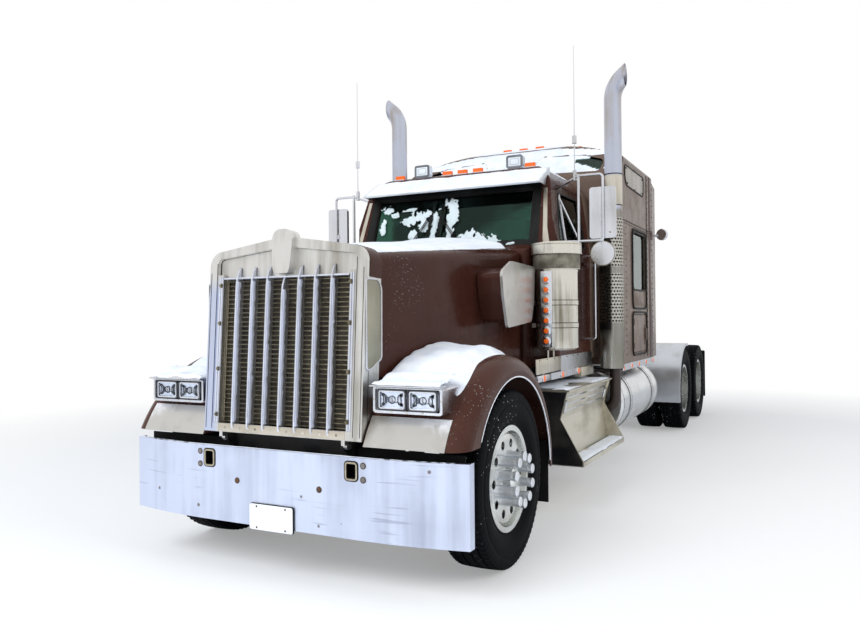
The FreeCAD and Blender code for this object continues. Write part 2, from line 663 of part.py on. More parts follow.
def bumper():
    """A deep bright bumper with swept ends, folded flanges, end returns, tow openings and frame brackets."""
    face = bumper_band(0, BUMPER_T, BUMPER_BOTTOM, BUMPER_TOP)
    top = bumper_band(0, BUMPER_FLANGE, BUMPER_TOP - BUMPER_T, BUMPER_TOP)
    bottom = bumper_band(0, BUMPER_FLANGE, BUMPER_BOTTOM, BUMPER_BOTTOM + BUMPER_T)
    y_end = -BUMPER_REACH + BUMPER_SWEEP
    parts = [face, top, bottom]
    for s in (-1, 1):
        parts.append(box(s * (BUMPER_HALF_W - BUMPER_T), s * BUMPER_HALF_W, y_end, y_end + BUMPER_END_RETURN,
                         BUMPER_BOTTOM, BUMPER_TOP))
        parts.append(box(s * (RAIL_OUT - 80), s * (RAIL_OUT - RAIL_T - 12), -BUMPER_REACH + BUMPER_T - 2, FRAME_FRONT,
                         BUMPER_BOTTOM + 150, BUMPER_TOP - 30))
        parts.append(box(s * (RAIL_OUT - 80), s * RAIL_OUT, FRAME_FRONT - 10, FRAME_FRONT, BUMPER_BOTTOM + 150, 740))
    body = fuse(parts)
    for s in (-1, 1):
        hole = slab_y(rectangle(TOW_HOLE_X * s - TOW_HOLE_W / 2, TOW_HOLE_X * s + TOW_HOLE_W / 2,
                                TOW_HOLE_Z - TOW_HOLE_H / 2, TOW_HOLE_Z + TOW_HOLE_H / 2),
                      -BUMPER_REACH - 10, -BUMPER_REACH + 90, 18)
        body = body.cut(hole)
    return body


# Hood, grille and fenders
def shell_outline(inset, foot=0.0):
    """The grille shell's front outline as (x, height above its foot), drawn in by an inset."""
    w = SHELL_HALF_W - inset
    side = SHELL_SIDE_H - inset * 0.6
    peak = SHELL_PEAK_H - inset
    return [(-w, foot), (w, foot), (w, side), (0, peak), (-w, side)]


def in_grille_frame(shape):
    """Moves a piece drawn upright at y 0, height 0 onto the grille's leaning plane."""
    placed = shape.copy()
    placed.translate(V(0, GRILLE_FOOT_Y, GRILLE_FOOT_Z))
    return turned(placed, GRILLE_RAKE, GRILLE_FOOT_Y, GRILLE_FOOT_Z)


def shell_ring(inset_out, inset_in, y0, y1, foot_in):
    """A hoop between two shell outlines, open only at its middle."""
    corner = [0, 0, SHELL_CORNER_R, 500, SHELL_CORNER_R]
    inner_corner = [0, 0, max(SHELL_CORNER_R - inset_in, 12), 400, max(SHELL_CORNER_R - inset_in, 12)]
    outer = slab_y(shell_outline(inset_out), y0, y1, corner)
    inner = slab_y(shell_outline(inset_in, foot_in), y0 - 1, y1 + 1, inner_corner)
    return outer.cut(inner)


def grille_shell():
    """The bright surround: a rolled arch, deep legs, the crown plate over the mesh, the sill and the pivot lugs."""
    hoop = shell_ring(0, SHELL_BAND_W, 0, 24, MESH_BOTTOM_H)
    wrap = shell_ring(0, SHELL_T, 0, SHELL_DEPTH, -5)
    inner_w = SHELL_HALF_W - SHELL_LEG_W
    legs = [slab_y(rectangle(s * inner_w, s * (SHELL_HALF_W - 4), 0, MESH_TOP_H + 30), 4, 30) for s in (-1, 1)]
    returns = [slab_y(rectangle(s * inner_w, s * (inner_w + 8), 0, MESH_TOP_H + 30), 4, MESH_RECESS + 30) for s in (-1, 1)]
    sill = slab_y(rectangle(-SHELL_HALF_W + 6, SHELL_HALF_W - 6, 0, MESH_BOTTOM_H), 0, 30)
    crown = slab_y(shell_outline(6, MESH_TOP_H), 30, 38, [0, 0, SHELL_CORNER_R - 6, 480, SHELL_CORNER_R - 6])
    lip = slab_y(rectangle(-inner_w, inner_w, MESH_TOP_H, MESH_TOP_H + 8), 30, MESH_RECESS + 30)
    cap = slab_y([(-62, 985), (-48, CAP_FOOT_H), (48, CAP_FOOT_H), (62, 985), (76, 1140), (64, 1225), (-64, 1225), (-76, 1140)], -30, 60,
                 [20, 20, 20, 20, 60, 55, 55, 60])
    body = in_grille_frame(fuse([hoop, wrap, sill, crown, lip, cap] + legs + returns))
    lugs = []
    for s in (-1, 1):
        x0, x1 = s * (RAIL_OUT + 6), s * (RAIL_OUT + 30)
        lugs.append(cyl(min(x0, x1), PIVOT_Y, PIVOT_Z, 30, 24, "x"))
        lugs.append(box(x0, x1, GRILLE_FOOT_Y + 8, PIVOT_Y + 26, PIVOT_Z, GRILLE_FOOT_Z + 12))
    body = fuse([body] + lugs)
    for s in (-1, 1):
        body = body.cut(cyl(min(s * (RAIL_OUT - 20), s * (RAIL_OUT + 60)), PIVOT_Y, PIVOT_Z, PIVOT_PIN_R + SEAT_GAP, 80, "x"))
    return body


def grille():
    """Louvred slats in a frame with seven leaf-shaped bars standing in front of them."""
    inner_w = SHELL_HALF_W - SHELL_LEG_W - 0.5
    y0 = MESH_RECESS
    pieces = [slab_y(rectangle(s * (inner_w - 10), s * inner_w, MESH_BOTTOM_H + 0.5, MESH_TOP_H - 0.5), y0, y0 + SLAT_DEPTH)
              for s in (-1, 1)]
    count = int((MESH_TOP_H - MESH_BOTTOM_H - 12) / SLAT_PITCH)
    spread = (MESH_TOP_H - MESH_BOTTOM_H - SLAT_T - 1) / count
    for i in range(count + 1):
        z = MESH_BOTTOM_H + 0.5 + i * spread
        pieces.append(box(-inner_w + 5, inner_w - 5, y0, y0 + SLAT_DEPTH, z, z + SLAT_T))
    pitch = 2 * inner_w / (BAR_COUNT + 1)
    for i in range(BAR_COUNT):
        x = -inner_w + (i + 1) * pitch
        tip = BAR_TIP_H if i != BAR_COUNT // 2 else CAP_FOOT_H - 3
        side = [(y0 + 4, MESH_BOTTOM_H + 4), (2, MESH_BOTTOM_H + 12), (-BAR_REACH, MESH_BOTTOM_H + 60),
                (-BAR_REACH, tip - 114), (-2, tip - 30), (29.7, tip), (29.7, MESH_TOP_H - 2),
                (y0 + 4, MESH_TOP_H - 2)]
        bar = slab_x(side, x - BAR_W / 2, x + BAR_W / 2, [0, 0, 40, 60, 60, 0, 0, 0])
        pieces.append(bar)
    return in_grille_frame(fuse(pieces))


HOOD_FRONT_W = 561.6
HOOD_REAR_W = 752.0
HOOD_FRONT_CROWN = 1960.0
HOOD_REAR_CROWN = 2150.0
HOOD_CROWN_R = 2540.0
HOOD_EDGE_R = 80.0


def hood_solid(inset, extra=0.0):
    """The bonnet's outside as a solid: tapered sides, a crowned top that climbs rearward, and rounded shoulders."""
    y0, y1 = HOOD_FRONT_Y - extra, HOOD_REAR_Y + extra
    taper = (HOOD_REAR_W - HOOD_FRONT_W) / (HOOD_REAR_Y - HOOD_FRONT_Y)
    w0, w1 = HOOD_FRONT_W - inset - taper * extra, HOOD_REAR_W - inset + taper * extra
    plan = slab_z([(-w0, y0), (w0, y0), (w1, y1), (-w1, y1)], HOOD_BOTTOM_Z - extra, HOOD_REAR_CROWN + 50)
    rise = V(0, HOOD_REAR_Y - HOOD_FRONT_Y, HOOD_REAR_CROWN - HOOD_FRONT_CROWN).normalize()
    r = HOOD_CROWN_R - inset
    start = V(0, HOOD_FRONT_Y, HOOD_FRONT_CROWN - HOOD_CROWN_R) - rise * 400
    body = plan.common(Part.makeCylinder(r, 2900, start, rise))
    edges = [e for e in body.Edges if e.BoundBox.ZMin > HOOD_FRONT_CROWN - 120 and e.BoundBox.YLength > 1000]
    return body.makeFillet(HOOD_EDGE_R - inset * 0.8, edges)


def hood_shell():
    """The bonnet: a hollow crowned shell that widens to the cowl, open at both ends and below."""
    return hood_solid(0).cut(hood_solid(HOOD_T, 5))


def fender_arc(y, z, grow):
    """The radius and the swept angle of the arc that leaves the crown level and ends at a place below it."""
    drop = FENDER_TOP_Z + grow - z
    r = (y * y + drop * drop) / (2 * drop)
    angle = math.asin(abs(y) / r)
    return r, angle if drop < r else math.pi - angle


def fender_block(grow, x0, x1):
    """A solid under the fender's side outline, grown by an amount, between two places across."""
    front_y, rear_y, top = FENDER_FRONT_Y - grow, FENDER_REAR_Y + grow, FENDER_TOP_Z + grow
    front, rear, crown = V(x0, front_y, FENDER_FRONT_Z), V(x0, rear_y, FENDER_REAR_Z), V(x0, 0, top)
    edges = []
    for start, stop, end in ((front, crown, front), (crown, rear, rear)):
        r, angle = fender_arc(end.y, end.z, grow)
        middle = V(x0, math.copysign(r * math.sin(angle / 2), end.y), top - r + r * math.cos(angle / 2))
        edges.append(Part.Arc(start, middle, stop).toShape())
    low = V(x0, rear_y, 400), V(x0, front_y, 400)
    edges += [Part.LineSegment(rear, low[0]).toShape(), Part.LineSegment(low[0], low[1]).toShape(),
              Part.LineSegment(low[1], front).toShape()]
    return Part.Face(Part.Wire(edges)).extrude(V(x1 - x0, 0, 0))


def fender():
    """The left front fender: a channel with a rounded outer edge turned over the wheel, its lip cut round the tyre."""
    x0, x1, t, r = FENDER_IN_X, FENDER_OUT_X, FENDER_T, FENDER_EDGE_R
    top, low = FENDER_TOP_Z, FENDER_TOP_Z - 300
    section = Part.Face(loop([V(x0, 0, low), V(x0, 0, top), V(x1, 0, top), V(x1, 0, low), V(x1 - t, 0, low),
                              V(x1 - t, 0, top - t), V(x0 + t, 0, top - t), V(x0 + t, 0, low)],
                             [0, 0, r, 0, 0, r - t, 0, 0]))
    halves = []
    for y, z, way in ((FENDER_FRONT_Y, FENDER_FRONT_Z, 1), (FENDER_REAR_Y, FENDER_REAR_Z, -1)):
        radius, angle = fender_arc(y, z, 0)
        halves.append(section.revolve(V(0, 0, top - radius), V(way, 0, 0), math.degrees(angle)))
    body = halves[0].fuse(halves[1])
    opening = cyl(x0 - 10, 0, FENDER_OPEN_Z, FENDER_OPEN_R, x1 - x0 + 20, "x")
    below_front = box(x0 - 10, x1 + 10, -900, 0, 0, FENDER_FRONT_Z)
    below_rear = box(x0 - 10, x1 + 10, 0, 900, 0, FENDER_REAR_Z)
    return body.cut(opening).cut(below_front).cut(below_rear).cut(hood_solid(-SEAT_GAP))


def front_flap():
    """The left rubber flap that hangs behind the steer tyre on a bar across the fender's foot."""
    y = FENDER_REAR_Y - FENDER_T - 62
    flap = box(FLAP_X0, FLAP_X1, y, y + FLAP_T, FLAP_Z0, FLAP_Z1)
    inside = FENDER_T + SEAT_GAP
    bar = box(FENDER_IN_X + inside, FENDER_OUT_X - FENDER_EDGE_R - 6, y + FLAP_T - 1, FENDER_REAR_Y, FLAP_Z1 - 50, FLAP_Z1)
    return fuse([flap, bar.common(fender_block(-inside, FENDER_IN_X, FENDER_OUT_X))])


LENS_W = 176.0
LENS_H = 112.0


def headlamp_pod():
    """The left lamp housing: a box with a brow, open in front round two lamps, seated on the fender."""
    body = slab_y(rectangle(POD_X0, POD_X1, POD_Z0, POD_Z1), POD_FRONT_Y, -400, 18)
    recess = slab_y(rectangle(POD_X0 + POD_WALL, POD_X1 - POD_WALL, POD_Z0 + POD_WALL, POD_Z1 - POD_WALL),
                    POD_FRONT_Y - 1, POD_FRONT_Y + 22, 10)
    brow = slab_x([(POD_FRONT_Y - 36, POD_Z1 - 2), (POD_FRONT_Y + 4, POD_Z1 - 12), (POD_FRONT_Y + 60, POD_Z1 - 6),
                   (POD_FRONT_Y + 60, POD_Z1 + 6), (POD_FRONT_Y - 34, POD_Z1 + 5)], POD_X0 - 4, POD_X1 + 4)
    blank = fuse([body.cut(recess), brow])
    return blank.cut(fender_block(SEAT_GAP, FENDER_IN_X - 60, FENDER_OUT_X + 60))


def headlamps():
    """Two rectangular lamps seated in the left housing."""
    mid = (POD_X0 + POD_X1) / 2
    z = (POD_Z0 + POD_Z1) / 2
    lamps = []
    for x in (mid - LENS_W / 2 - 8, mid + LENS_W / 2 + 8):
        lamps.append(slab_y(rectangle(x - LENS_W / 2, x + LENS_W / 2, z - LENS_H / 2, z + LENS_H / 2),
                            POD_FRONT_Y + 2, POD_FRONT_Y + 22, 14))
    return lamps


def polished_panels():
    """On the left: the plate that guards the fender's foot, and the folded plate ahead of the air cleaner."""
    plate = fender_block(5 + SEAT_GAP, FENDER_IN_X + 6, FENDER_OUT_X - FENDER_EDGE_R - 4)
    plate = plate.cut(fender_block(SEAT_GAP, FENDER_IN_X, FENDER_OUT_X))
    plate = plate.common(box(FENDER_IN_X - 30, FENDER_OUT_X, -900, -300, FENDER_FRONT_Z - 1, 982))
    scoop = slab_x([(713, 1933), (1205, 1916), (1182, 1657), (1118, 1497), (628, 1458), (549, 1689), (523, 1851)],
                   880, 900, [50, 30, 60, 30, 30, 60, 60])
    stay = box(640, 885, 780, 860, 1620, 1700)
    return [plate, fuse([scoop, stay]).cut(hood_solid(-SEAT_GAP))]


# Cab
CAB_SIDE = [(COWL_Y, CAB_FLOOR_Z), (COWL_Y, CAB_BELT_Z - 30), (SCREEN_FOOT_Y, CAB_BELT_Z), (SCREEN_HEAD_Y, CAB_EAVE_Z),
            (SCREEN_HEAD_Y + 125, CAB_ROOF_Z), (CAB_BACK_Y, CAB_ROOF_Z), (CAB_BACK_Y, CAB_FLOOR_Z)]
CAB_PLAN = [(-COWL_HALF_W, COWL_Y - 3), (COWL_HALF_W, COWL_Y - 3), (COWL_HALF_W + 52, SCREEN_FOOT_Y + 10),
            (CAB_HALF_W, 1610), (CAB_HALF_W, CAB_BACK_Y + 3), (-CAB_HALF_W, CAB_BACK_Y + 3), (-CAB_HALF_W, 1610),
            (-COWL_HALF_W - 52, SCREEN_FOOT_Y + 10)]
CAB_FRONT = [(-CAB_HALF_W - 3, CAB_FLOOR_Z - 90), (CAB_HALF_W + 3, CAB_FLOOR_Z - 90), (CAB_HALF_W + 3, CAB_BELT_Z),
             (CAB_EAVE_HALF_W, CAB_EAVE_Z), (CAB_EAVE_HALF_W - 130, CAB_ROOF_Z + 4), (130 - CAB_EAVE_HALF_W, CAB_ROOF_Z + 4),
             (-CAB_EAVE_HALF_W, CAB_EAVE_Z), (-CAB_HALF_W - 3, CAB_BELT_Z)]


def three_view(side, plan, front, radii, inset):
    """A body that fills its side, plan and front outlines at once, all drawn in by an inset."""
    far = 6000
    solids = []
    for outline, corner, maker in ((side, radii[0], slab_x), (plan, radii[1], slab_z), (front, radii[2], slab_y)):
        corner = [max(r - inset, 4.0) if r else 0 for r in corner]
        solids.append(maker(grown(outline, -inset), -far, far, corner))
    return solids[0].common(solids[1]).common(solids[2])


def cab_solid(inset):
    """The cab's outside as a solid, drawn in by an inset on every side."""
    radii = [[0, 60, 60, 60, 150, 30, 0], [70, 70, 120, 120, 60, 60, 120, 120], [0, 0, 300, 110, 190, 190, 110, 300]]
    return three_view(CAB_SIDE, CAB_PLAN, CAB_FRONT, radii, inset)


DOOR_OUTLINE = [(DOOR_FRONT_Y, DOOR_SILL_Z), (DOOR_REAR_Y, DOOR_SILL_Z), (DOOR_REAR_Y, DOOR_HEAD_Z),
                (DOOR_FRONT_Y + 190, DOOR_HEAD_Z), (DOOR_FRONT_Y, CAB_BELT_Z + 30)]
DOOR_GLASS = [(DOOR_FRONT_Y + 70, CAB_BELT_Z + 60), (DOOR_REAR_Y - 60, CAB_BELT_Z + 30), (DOOR_REAR_Y - 60, DOOR_HEAD_Z - 55),
              (DOOR_FRONT_Y + 220, DOOR_HEAD_Z - 55)]
SCREEN = [(-SCREEN_HALF_W + 30, CAB_BELT_Z + 18), (SCREEN_HALF_W - 30, CAB_BELT_Z + 18),
          (SCREEN_HALF_W - 42, CAB_EAVE_Z - 40), (-SCREEN_HALF_W + 42, CAB_EAVE_Z - 40)]


def grown(points, amount):
    """A convex outline moved out from its middle by an amount, side by side."""
    n = len(points)
    cx = sum(p[0] for p in points) / n
    cy = sum(p[1] for p in points) / n
    lines = []
    for i in range(n):
        (x0, y0), (x1, y1) = points[i], points[(i + 1) % n]
        nx, ny = y1 - y0, x0 - x1
        size = math.hypot(nx, ny)
        nx, ny = nx / size, ny / size
        if nx * (x0 - cx) + ny * (y0 - cy) < 0:
            nx, ny = -nx, -ny
        lines.append((nx, ny, nx * x0 + ny * y0 + amount))
    corners = []
    for i in range(n):
        a, b = lines[i - 1], lines[i]
        det = a[0] * b[1] - b[0] * a[1]
        corners.append(((a[2] * b[1] - b[2] * a[1]) / det, (a[0] * b[2] - b[0] * a[2]) / det))
    return corners


HINGE_ZS = (1400.0, 1790.0)
HINGE_X = CAB_HALF_W + DOOR_PIN_OUT


def hinge_barrels(z_from, z_to, bore):
    """The knuckles of the left door's two outside hinges over a span of heights, with or without a bore."""
    barrels = []
    for z in HINGE_ZS:
        barrel_ = cyl(HINGE_X, DOOR_FRONT_Y - DOOR_GAP / 2, z + z_from, DOOR_PIN_R + 7, z_to - z_from)
        if bore:
            barrel_ = barrel_.cut(cyl(HINGE_X, DOOR_FRONT_Y - DOOR_GAP / 2, z + z_from - 1, DOOR_PIN_R + SEAT_GAP,
                                      z_to - z_from + 2))
        barrels.append(barrel_)
    return barrels


def cab_shell():
    """The hollow cab: floor, cowl, pillars and roof, with its screen, doorways and way through to the sleeper."""
    body = cab_solid(0).cut(cab_solid(CAB_WALL))
    doorway = slab_x(grown(DOOR_OUTLINE, DOOR_GAP), 600, 1100, [26, 26, 40, 70, 60])
    body = body.cut(doorway).cut(mirrored(doorway))
    body = body.cut(slab_y(SCREEN, 1350, 1800, 60))
    body = body.cut(slab_y(rectangle(-700, 700, CAB_FLOOR_Z + 60, 2480), CAB_BACK_Y - 80, CAB_BACK_Y + 20, 60))
    hinges = []
    for z in HINGE_ZS:
        y = DOOR_FRONT_Y - DOOR_GAP / 2
        pin = cyl(HINGE_X, y, z - 50, DOOR_PIN_R, 100)
        low = cyl(HINGE_X, y, z - 50, DOOR_PIN_R + 7, 34)
        high = cyl(HINGE_X, y, z + 16, DOOR_PIN_R + 7, 34)
        leaf_low = box(CAB_HALF_W - 45, HINGE_X, y - 28, y - 8, z - 50, z - 16)
        leaf_high = box(CAB_HALF_W - 45, HINGE_X, y - 28, y - 8, z + 16, z + 50)
        hinges += [pin, low, high, leaf_low, leaf_high]
    return fuse([body] + hinges + [mirrored(h) for h in hinges])


def door():
    """The left door: as thick as the real one, cut from the cab's own outside, with its window cut and hinges."""
    body = cab_solid(0).cut(cab_solid(DOOR_WALL))
    body = body.common(slab_x(DOOR_OUTLINE, 600, 1100, [20, 20, 34, 64, 54]))
    body = body.cut(slab_x(DOOR_GLASS, 600, 1100, [40, 30, 50, 50]))
    leaves = []
    for z in HINGE_ZS:
        y = DOOR_FRONT_Y - DOOR_GAP / 2
        leaves.append(box(CAB_HALF_W - 4, HINGE_X, y + 8, y + 70, z - 14, z + 14))
    parts = [body] + leaves + hinge_barrels(-14, 14, False)
    whole = fuse(parts)
    for z in HINGE_ZS:
        whole = whole.cut(cyl(HINGE_X, DOOR_FRONT_Y - DOOR_GAP / 2, z - 20, DOOR_PIN_R + SEAT_GAP, 40))
    handle = box(CAB_HALF_W - 8, CAB_HALF_W + 26, DOOR_REAR_Y - 190, DOOR_REAR_Y - 60, 1985, 2015)
    return fuse([whole, handle])


def glass_band(solid_maker):
    """The layer of a body's wall that its glass lies in."""
    return solid_maker(GLASS_INSET).cut(solid_maker(GLASS_INSET + GLASS_T))


def door_glass():
    """The left door's pane."""
    pane = slab_x(grown(DOOR_GLASS, -SEAT_GAP), 600, 1100, [40, 30, 50, 50])
    return glass_band(cab_solid).common(pane)


def screen_glass():
    """The windscreen."""
    return glass_band(cab_solid).common(slab_y(grown(SCREEN, -SEAT_GAP), 1350, 1800, 60))


def visor():
    """The outside sun visor over the windscreen, with closed ends."""
    tip_y, tip_z = SCREEN_HEAD_Y - 185, CAB_EAVE_Z - 48
    back_y, back_z = SCREEN_HEAD_Y + 92, CAB_EAVE_Z + 112
    w = SCREEN_HALF_W + 64
    top = slab_x([(tip_y, tip_z), (tip_y + 6, tip_z - 10), (back_y, back_z - 12), (back_y, back_z)], -w, w)
    cheek = slab_x([(tip_y + 2, tip_z - 4), (back_y, CAB_EAVE_Z - 60), (back_y, back_z - 2)], w - 10, w)
    body = fuse([top, cheek, mirrored(cheek)])
    return body.cut(cab_solid(-SEAT_GAP))


# Sleeper
SLEEPER_SIDE = [(SLEEPER_FRONT_Y, SLEEPER_BOTTOM_Z), (SLEEPER_FRONT_Y, 2890), (SLEEPER_FRONT_Y + 400, SLEEPER_ROOF_Z),
                (SLEEPER_BACK_Y, SLEEPER_ROOF_Z), (SLEEPER_BACK_Y, SLEEPER_BOTTOM_Z)]
SLEEPER_PLAN = rectangle(-SLEEPER_HALF_W, SLEEPER_HALF_W, SLEEPER_FRONT_Y - 3, SLEEPER_BACK_Y + 3)
SLEEPER_ENDS = [(-SLEEPER_HALF_W - 3, SLEEPER_BOTTOM_Z - 90), (SLEEPER_HALF_W + 3, SLEEPER_BOTTOM_Z - 90),
                (SLEEPER_HALF_W + 3, SLEEPER_EAVE_Z), (600, SLEEPER_ROOF_Z + 3), (-600, SLEEPER_ROOF_Z + 3),
                (-SLEEPER_HALF_W - 3, SLEEPER_EAVE_Z)]


def sleeper_solid(inset):
    """The sleeper's outside as a solid, drawn in by an inset on every side, with its domed roof and sloped brow."""
    radii = [[0, 160, 380, 60, 0], [90, 90, 50, 50], [0, 0, 80, 2300, 2300, 80]]
    return three_view(SLEEPER_SIDE, SLEEPER_PLAN, SLEEPER_ENDS, radii, inset)


ROOF_WINDOW = [(235, 2975), (960, 2945), (985, 3075), (760, 3150), (300, 3180)]


def roof_window(grow, y0, y1):
    """A block through the left window in the sleeper's brow."""
    return slab_y(grown(ROOF_WINDOW, grow), y0, y1, [50, 50, 60, 120, 60])


def neck_solid(inset):
    """The link between the cab's back and the sleeper, drawn in by an inset, a little narrower than the cab."""
    low = SLEEPER_BOTTOM_Z + 75
    narrow = NECK_HALF_W / (CAB_HALF_W + 3)
    outline = [(-NECK_HALF_W, low), (NECK_HALF_W, low)] + [(x * narrow, z - 5) for x, z in CAB_FRONT[2:]]
    return slab_y(grown(outline, -inset), NECK_Y, SLEEPER_FRONT_Y + 60, [0, 0, 0, 60, 120, 120, 60, 0])


def sleeper_shell():
    """The hollow sleeper with its neck, side windows, corner lights, baggage openings and rear side extenders."""
    outer = sleeper_solid(0).fuse(neck_solid(0))
    inner = sleeper_solid(SLEEPER_WALL).fuse(neck_solid(SLEEPER_WALL))
    mouth = box(-700, 700, NECK_Y - 10, NECK_Y + 60, CAB_FLOOR_Z + 60, 2480)
    body = outer.cut(inner).cut(mouth)
    window = slab_x(rectangle(WINDOW_Y0, WINDOW_Y1, WINDOW_Z0, WINDOW_Z1), 1000, 1300, 60)
    bay = slab_x(rectangle(WINDOW_Y0 - DOOR_GAP, WINDOW_Y1 + DOOR_GAP, BAY_DOOR_Z0 - DOOR_GAP, BAY_DOOR_Z1 + DOOR_GAP),
                 1000, 1300, 46)
    brow = roof_window(0, 2800, 3220)
    body = body.cut(window).cut(mirrored(window)).cut(bay).cut(mirrored(bay)).cut(brow).cut(mirrored(brow))
    extender = slab_z([(SLEEPER_HALF_W, SLEEPER_BACK_Y - 20), (SLEEPER_HALF_W - 36, SLEEPER_BACK_Y - 20),
                       (SLEEPER_HALF_W - 66, EXTENDER_END_Y), (SLEEPER_HALF_W - 40, EXTENDER_END_Y)],
                      SLEEPER_BOTTOM_Z, SLEEPER_EAVE_Z - 70)
    pins = bay_hinge_pins()
    return fuse([body, extender, mirrored(extender)] + pins + [mirrored(p) for p in pins])


BAY_PIN_X = SLEEPER_HALF_W + 10
BAY_PIN_Y = WINDOW_Y0 - DOOR_GAP / 2


def bay_hinge_pins():
    """The fixed half of the left baggage door's two small hinges."""
    pieces = []
    for z in (BAY_DOOR_Z0 + 70, BAY_DOOR_Z1 - 70):
        pieces.append(cyl(BAY_PIN_X, BAY_PIN_Y, z - 30, 5, 60))
        for base in (z - 30, z + 10):
            pieces.append(cyl(BAY_PIN_X, BAY_PIN_Y, base, 10, 20))
            pieces.append(box(SLEEPER_HALF_W - 30, BAY_PIN_X, BAY_PIN_Y - 30, BAY_PIN_Y - 6, base, base + 20))
    return pieces


def bay_door():
    """The left baggage door, as thick as the wall, hinged at its front edge."""
    panel = slab_x(rectangle(WINDOW_Y0, WINDOW_Y1, BAY_DOOR_Z0, BAY_DOOR_Z1), SLEEPER_HALF_W - 38, SLEEPER_HALF_W, 40)
    parts = [panel]
    for z in (BAY_DOOR_Z0 + 70, BAY_DOOR_Z1 - 70):
        parts.append(cyl(BAY_PIN_X, BAY_PIN_Y, z - 9, 10, 18))
        parts.append(box(SLEEPER_HALF_W - 3, BAY_PIN_X, BAY_PIN_Y + 5, BAY_PIN_Y + 40, z - 9, z + 9))
    parts.append(box(SLEEPER_HALF_W - 2, SLEEPER_HALF_W + 18, WINDOW_Y1 - 50, WINDOW_Y1 - 30, BAY_DOOR_Z0 + 110,
                     BAY_DOOR_Z0 + 240))
    body = fuse(parts)
    for z in (BAY_DOOR_Z0 + 70, BAY_DOOR_Z1 - 70):
        body = body.cut(cyl(BAY_PIN_X, BAY_PIN_Y, z - 15, 5 + SEAT_GAP, 30))
    return body


def sleeper_panes():
    """The panes of the left sleeper window and of the left window in the brow."""
    outline = grown(rectangle(WINDOW_Y0, WINDOW_Y1, WINDOW_Z0, WINDOW_Z1), -SEAT_GAP)
    side = slab_x(outline, SLEEPER_HALF_W - GLASS_INSET - GLASS_T, SLEEPER_HALF_W - GLASS_INSET, 60)
    return [side, glass_band(sleeper_solid).common(roof_window(-SEAT_GAP, 2800, 3220))]


# Inside the cab
SEAT_X = 450.0


def seat(x):
    """A suspension seat: pedestal, cushion, back and headrest."""
    floor = CAB_FLOOR_Z + CAB_WALL
    pedestal = box(x - 170, x + 170, 2060, 2400, floor, floor + 300)
    cushion = slab_x([(1990, floor + 290), (2450, floor + 270), (2450, floor + 400), (2000, floor + 430)], x - 250, x + 250,
                     [40, 20, 30, 50])
    back = slab_x([(2390, floor + 380), (2470, floor + 380), (2580, floor + 1080), (2500, floor + 1090)], x - 240, x + 240,
                  [20, 20, 30, 30])
    return fuse([pedestal, cushion, back])


def dash():
    """The dashboard across the cab with the steering column and wheel at the driver's side."""
    outline = [(1360, 1700), (1640, 1720), (1700, 1900), (1640, 2030), (1500, 2050), (1380, 2000)]
    block = slab_x(outline, -1000, 1000, [0, 60, 40, 50, 20, 0])
    ahead = box(-1000, 1000, COWL_Y, SCREEN_FOOT_Y + 15, 1600, 2200)
    board = fuse([block.common(cab_solid(DOOR_WALL + 8)), block.common(cab_solid(CAB_WALL + SEAT_GAP)).common(ahead)])
    turning = cyl(HINGE_X, DOOR_FRONT_Y - DOOR_GAP / 2, 1600, 118, 600)
    board = board.cut(turning).cut(mirrored(turning))
    tilt = V(0, -0.45, -1).normalize()
    wheel_centre = V(SEAT_X, 1850, 2000)
    column = Part.makeCylinder(32, 300, wheel_centre, tilt)
    support = box(SEAT_X - 60, SEAT_X + 60, 1600, 1780, 1780, 1880)
    ring = Part.makeTorus(225, 15, wheel_centre, tilt)
    hub = Part.makeCylinder(55, 40, wheel_centre + tilt * -5, tilt)
    spokes = []
    for angle in (90, 210, 330):
        spoke = box(-16, 16, 0, 222, -5, 5)
        spoke.rotate(V(0, 0, 0), V(0, 0, 1), angle - 90)
        spoke.rotate(V(0, 0, 0), V(1, 0, 0), math.degrees(math.atan2(tilt.y, -tilt.z)))
        spoke.translate(wheel_centre)
        spokes.append(spoke)
    return fuse([board, support, column, ring, hub] + spokes)


def bunk():
    """The lower berth across the back of the sleeper: base and mattress."""
    inside = SLEEPER_HALF_W - SLEEPER_WALL - 5
    floor = SLEEPER_BOTTOM_Z + SLEEPER_WALL
    base = box(-inside, inside, 3640, SLEEPER_BACK_Y - SLEEPER_WALL - 5, 1580, 1640)
    legs = [box(x - 20, x + 20, 3640, SLEEPER_BACK_Y - SLEEPER_WALL - 5, floor, 1585) for x in (-560, 560)]
    mattress = box(-inside + 10, inside - 10, 3650, SLEEPER_BACK_Y - SLEEPER_WALL - 10, 1635, 1770)
    return fuse([base, mattress] + legs)


# Exhausts, air cleaners and side gear
def stack_route(r, cut_x):
    """The upright pipe of a given radius with its end bent outward, cut off by an upright plane."""
    z0 = SHIELD_TOP_Z + 20
    up = V(STACK_X, STACK_Y, z0)
    bend = V(STACK_X, STACK_Y, STACK_BEND_Z)
    a = math.radians(50)
    R = STACK_BEND_R
    end = V(STACK_X + R * (1 - math.cos(a)), STACK_Y, STACK_BEND_Z + R * math.sin(a))
    crown = V(STACK_X + R * (1 - math.cos(a / 2)), STACK_Y, STACK_BEND_Z + R * math.sin(a / 2))
    out = V(math.sin(a), 0, math.cos(a))
    path = Part.Wire([Part.LineSegment(up, bend).toShape(), Part.Arc(bend, crown, end).toShape(),
                      Part.LineSegment(end, end + out * 190).toShape()])
    ring = Part.Circle(up, V(0, 0, 1), r).toShape()
    solid = path.makePipeShell([Part.Wire([ring])], True, False)
    return solid.cut(box(cut_x, cut_x + 400, STACK_Y - 200, STACK_Y + 200, STACK_BEND_Z - 200, STACK_BEND_Z + 500))


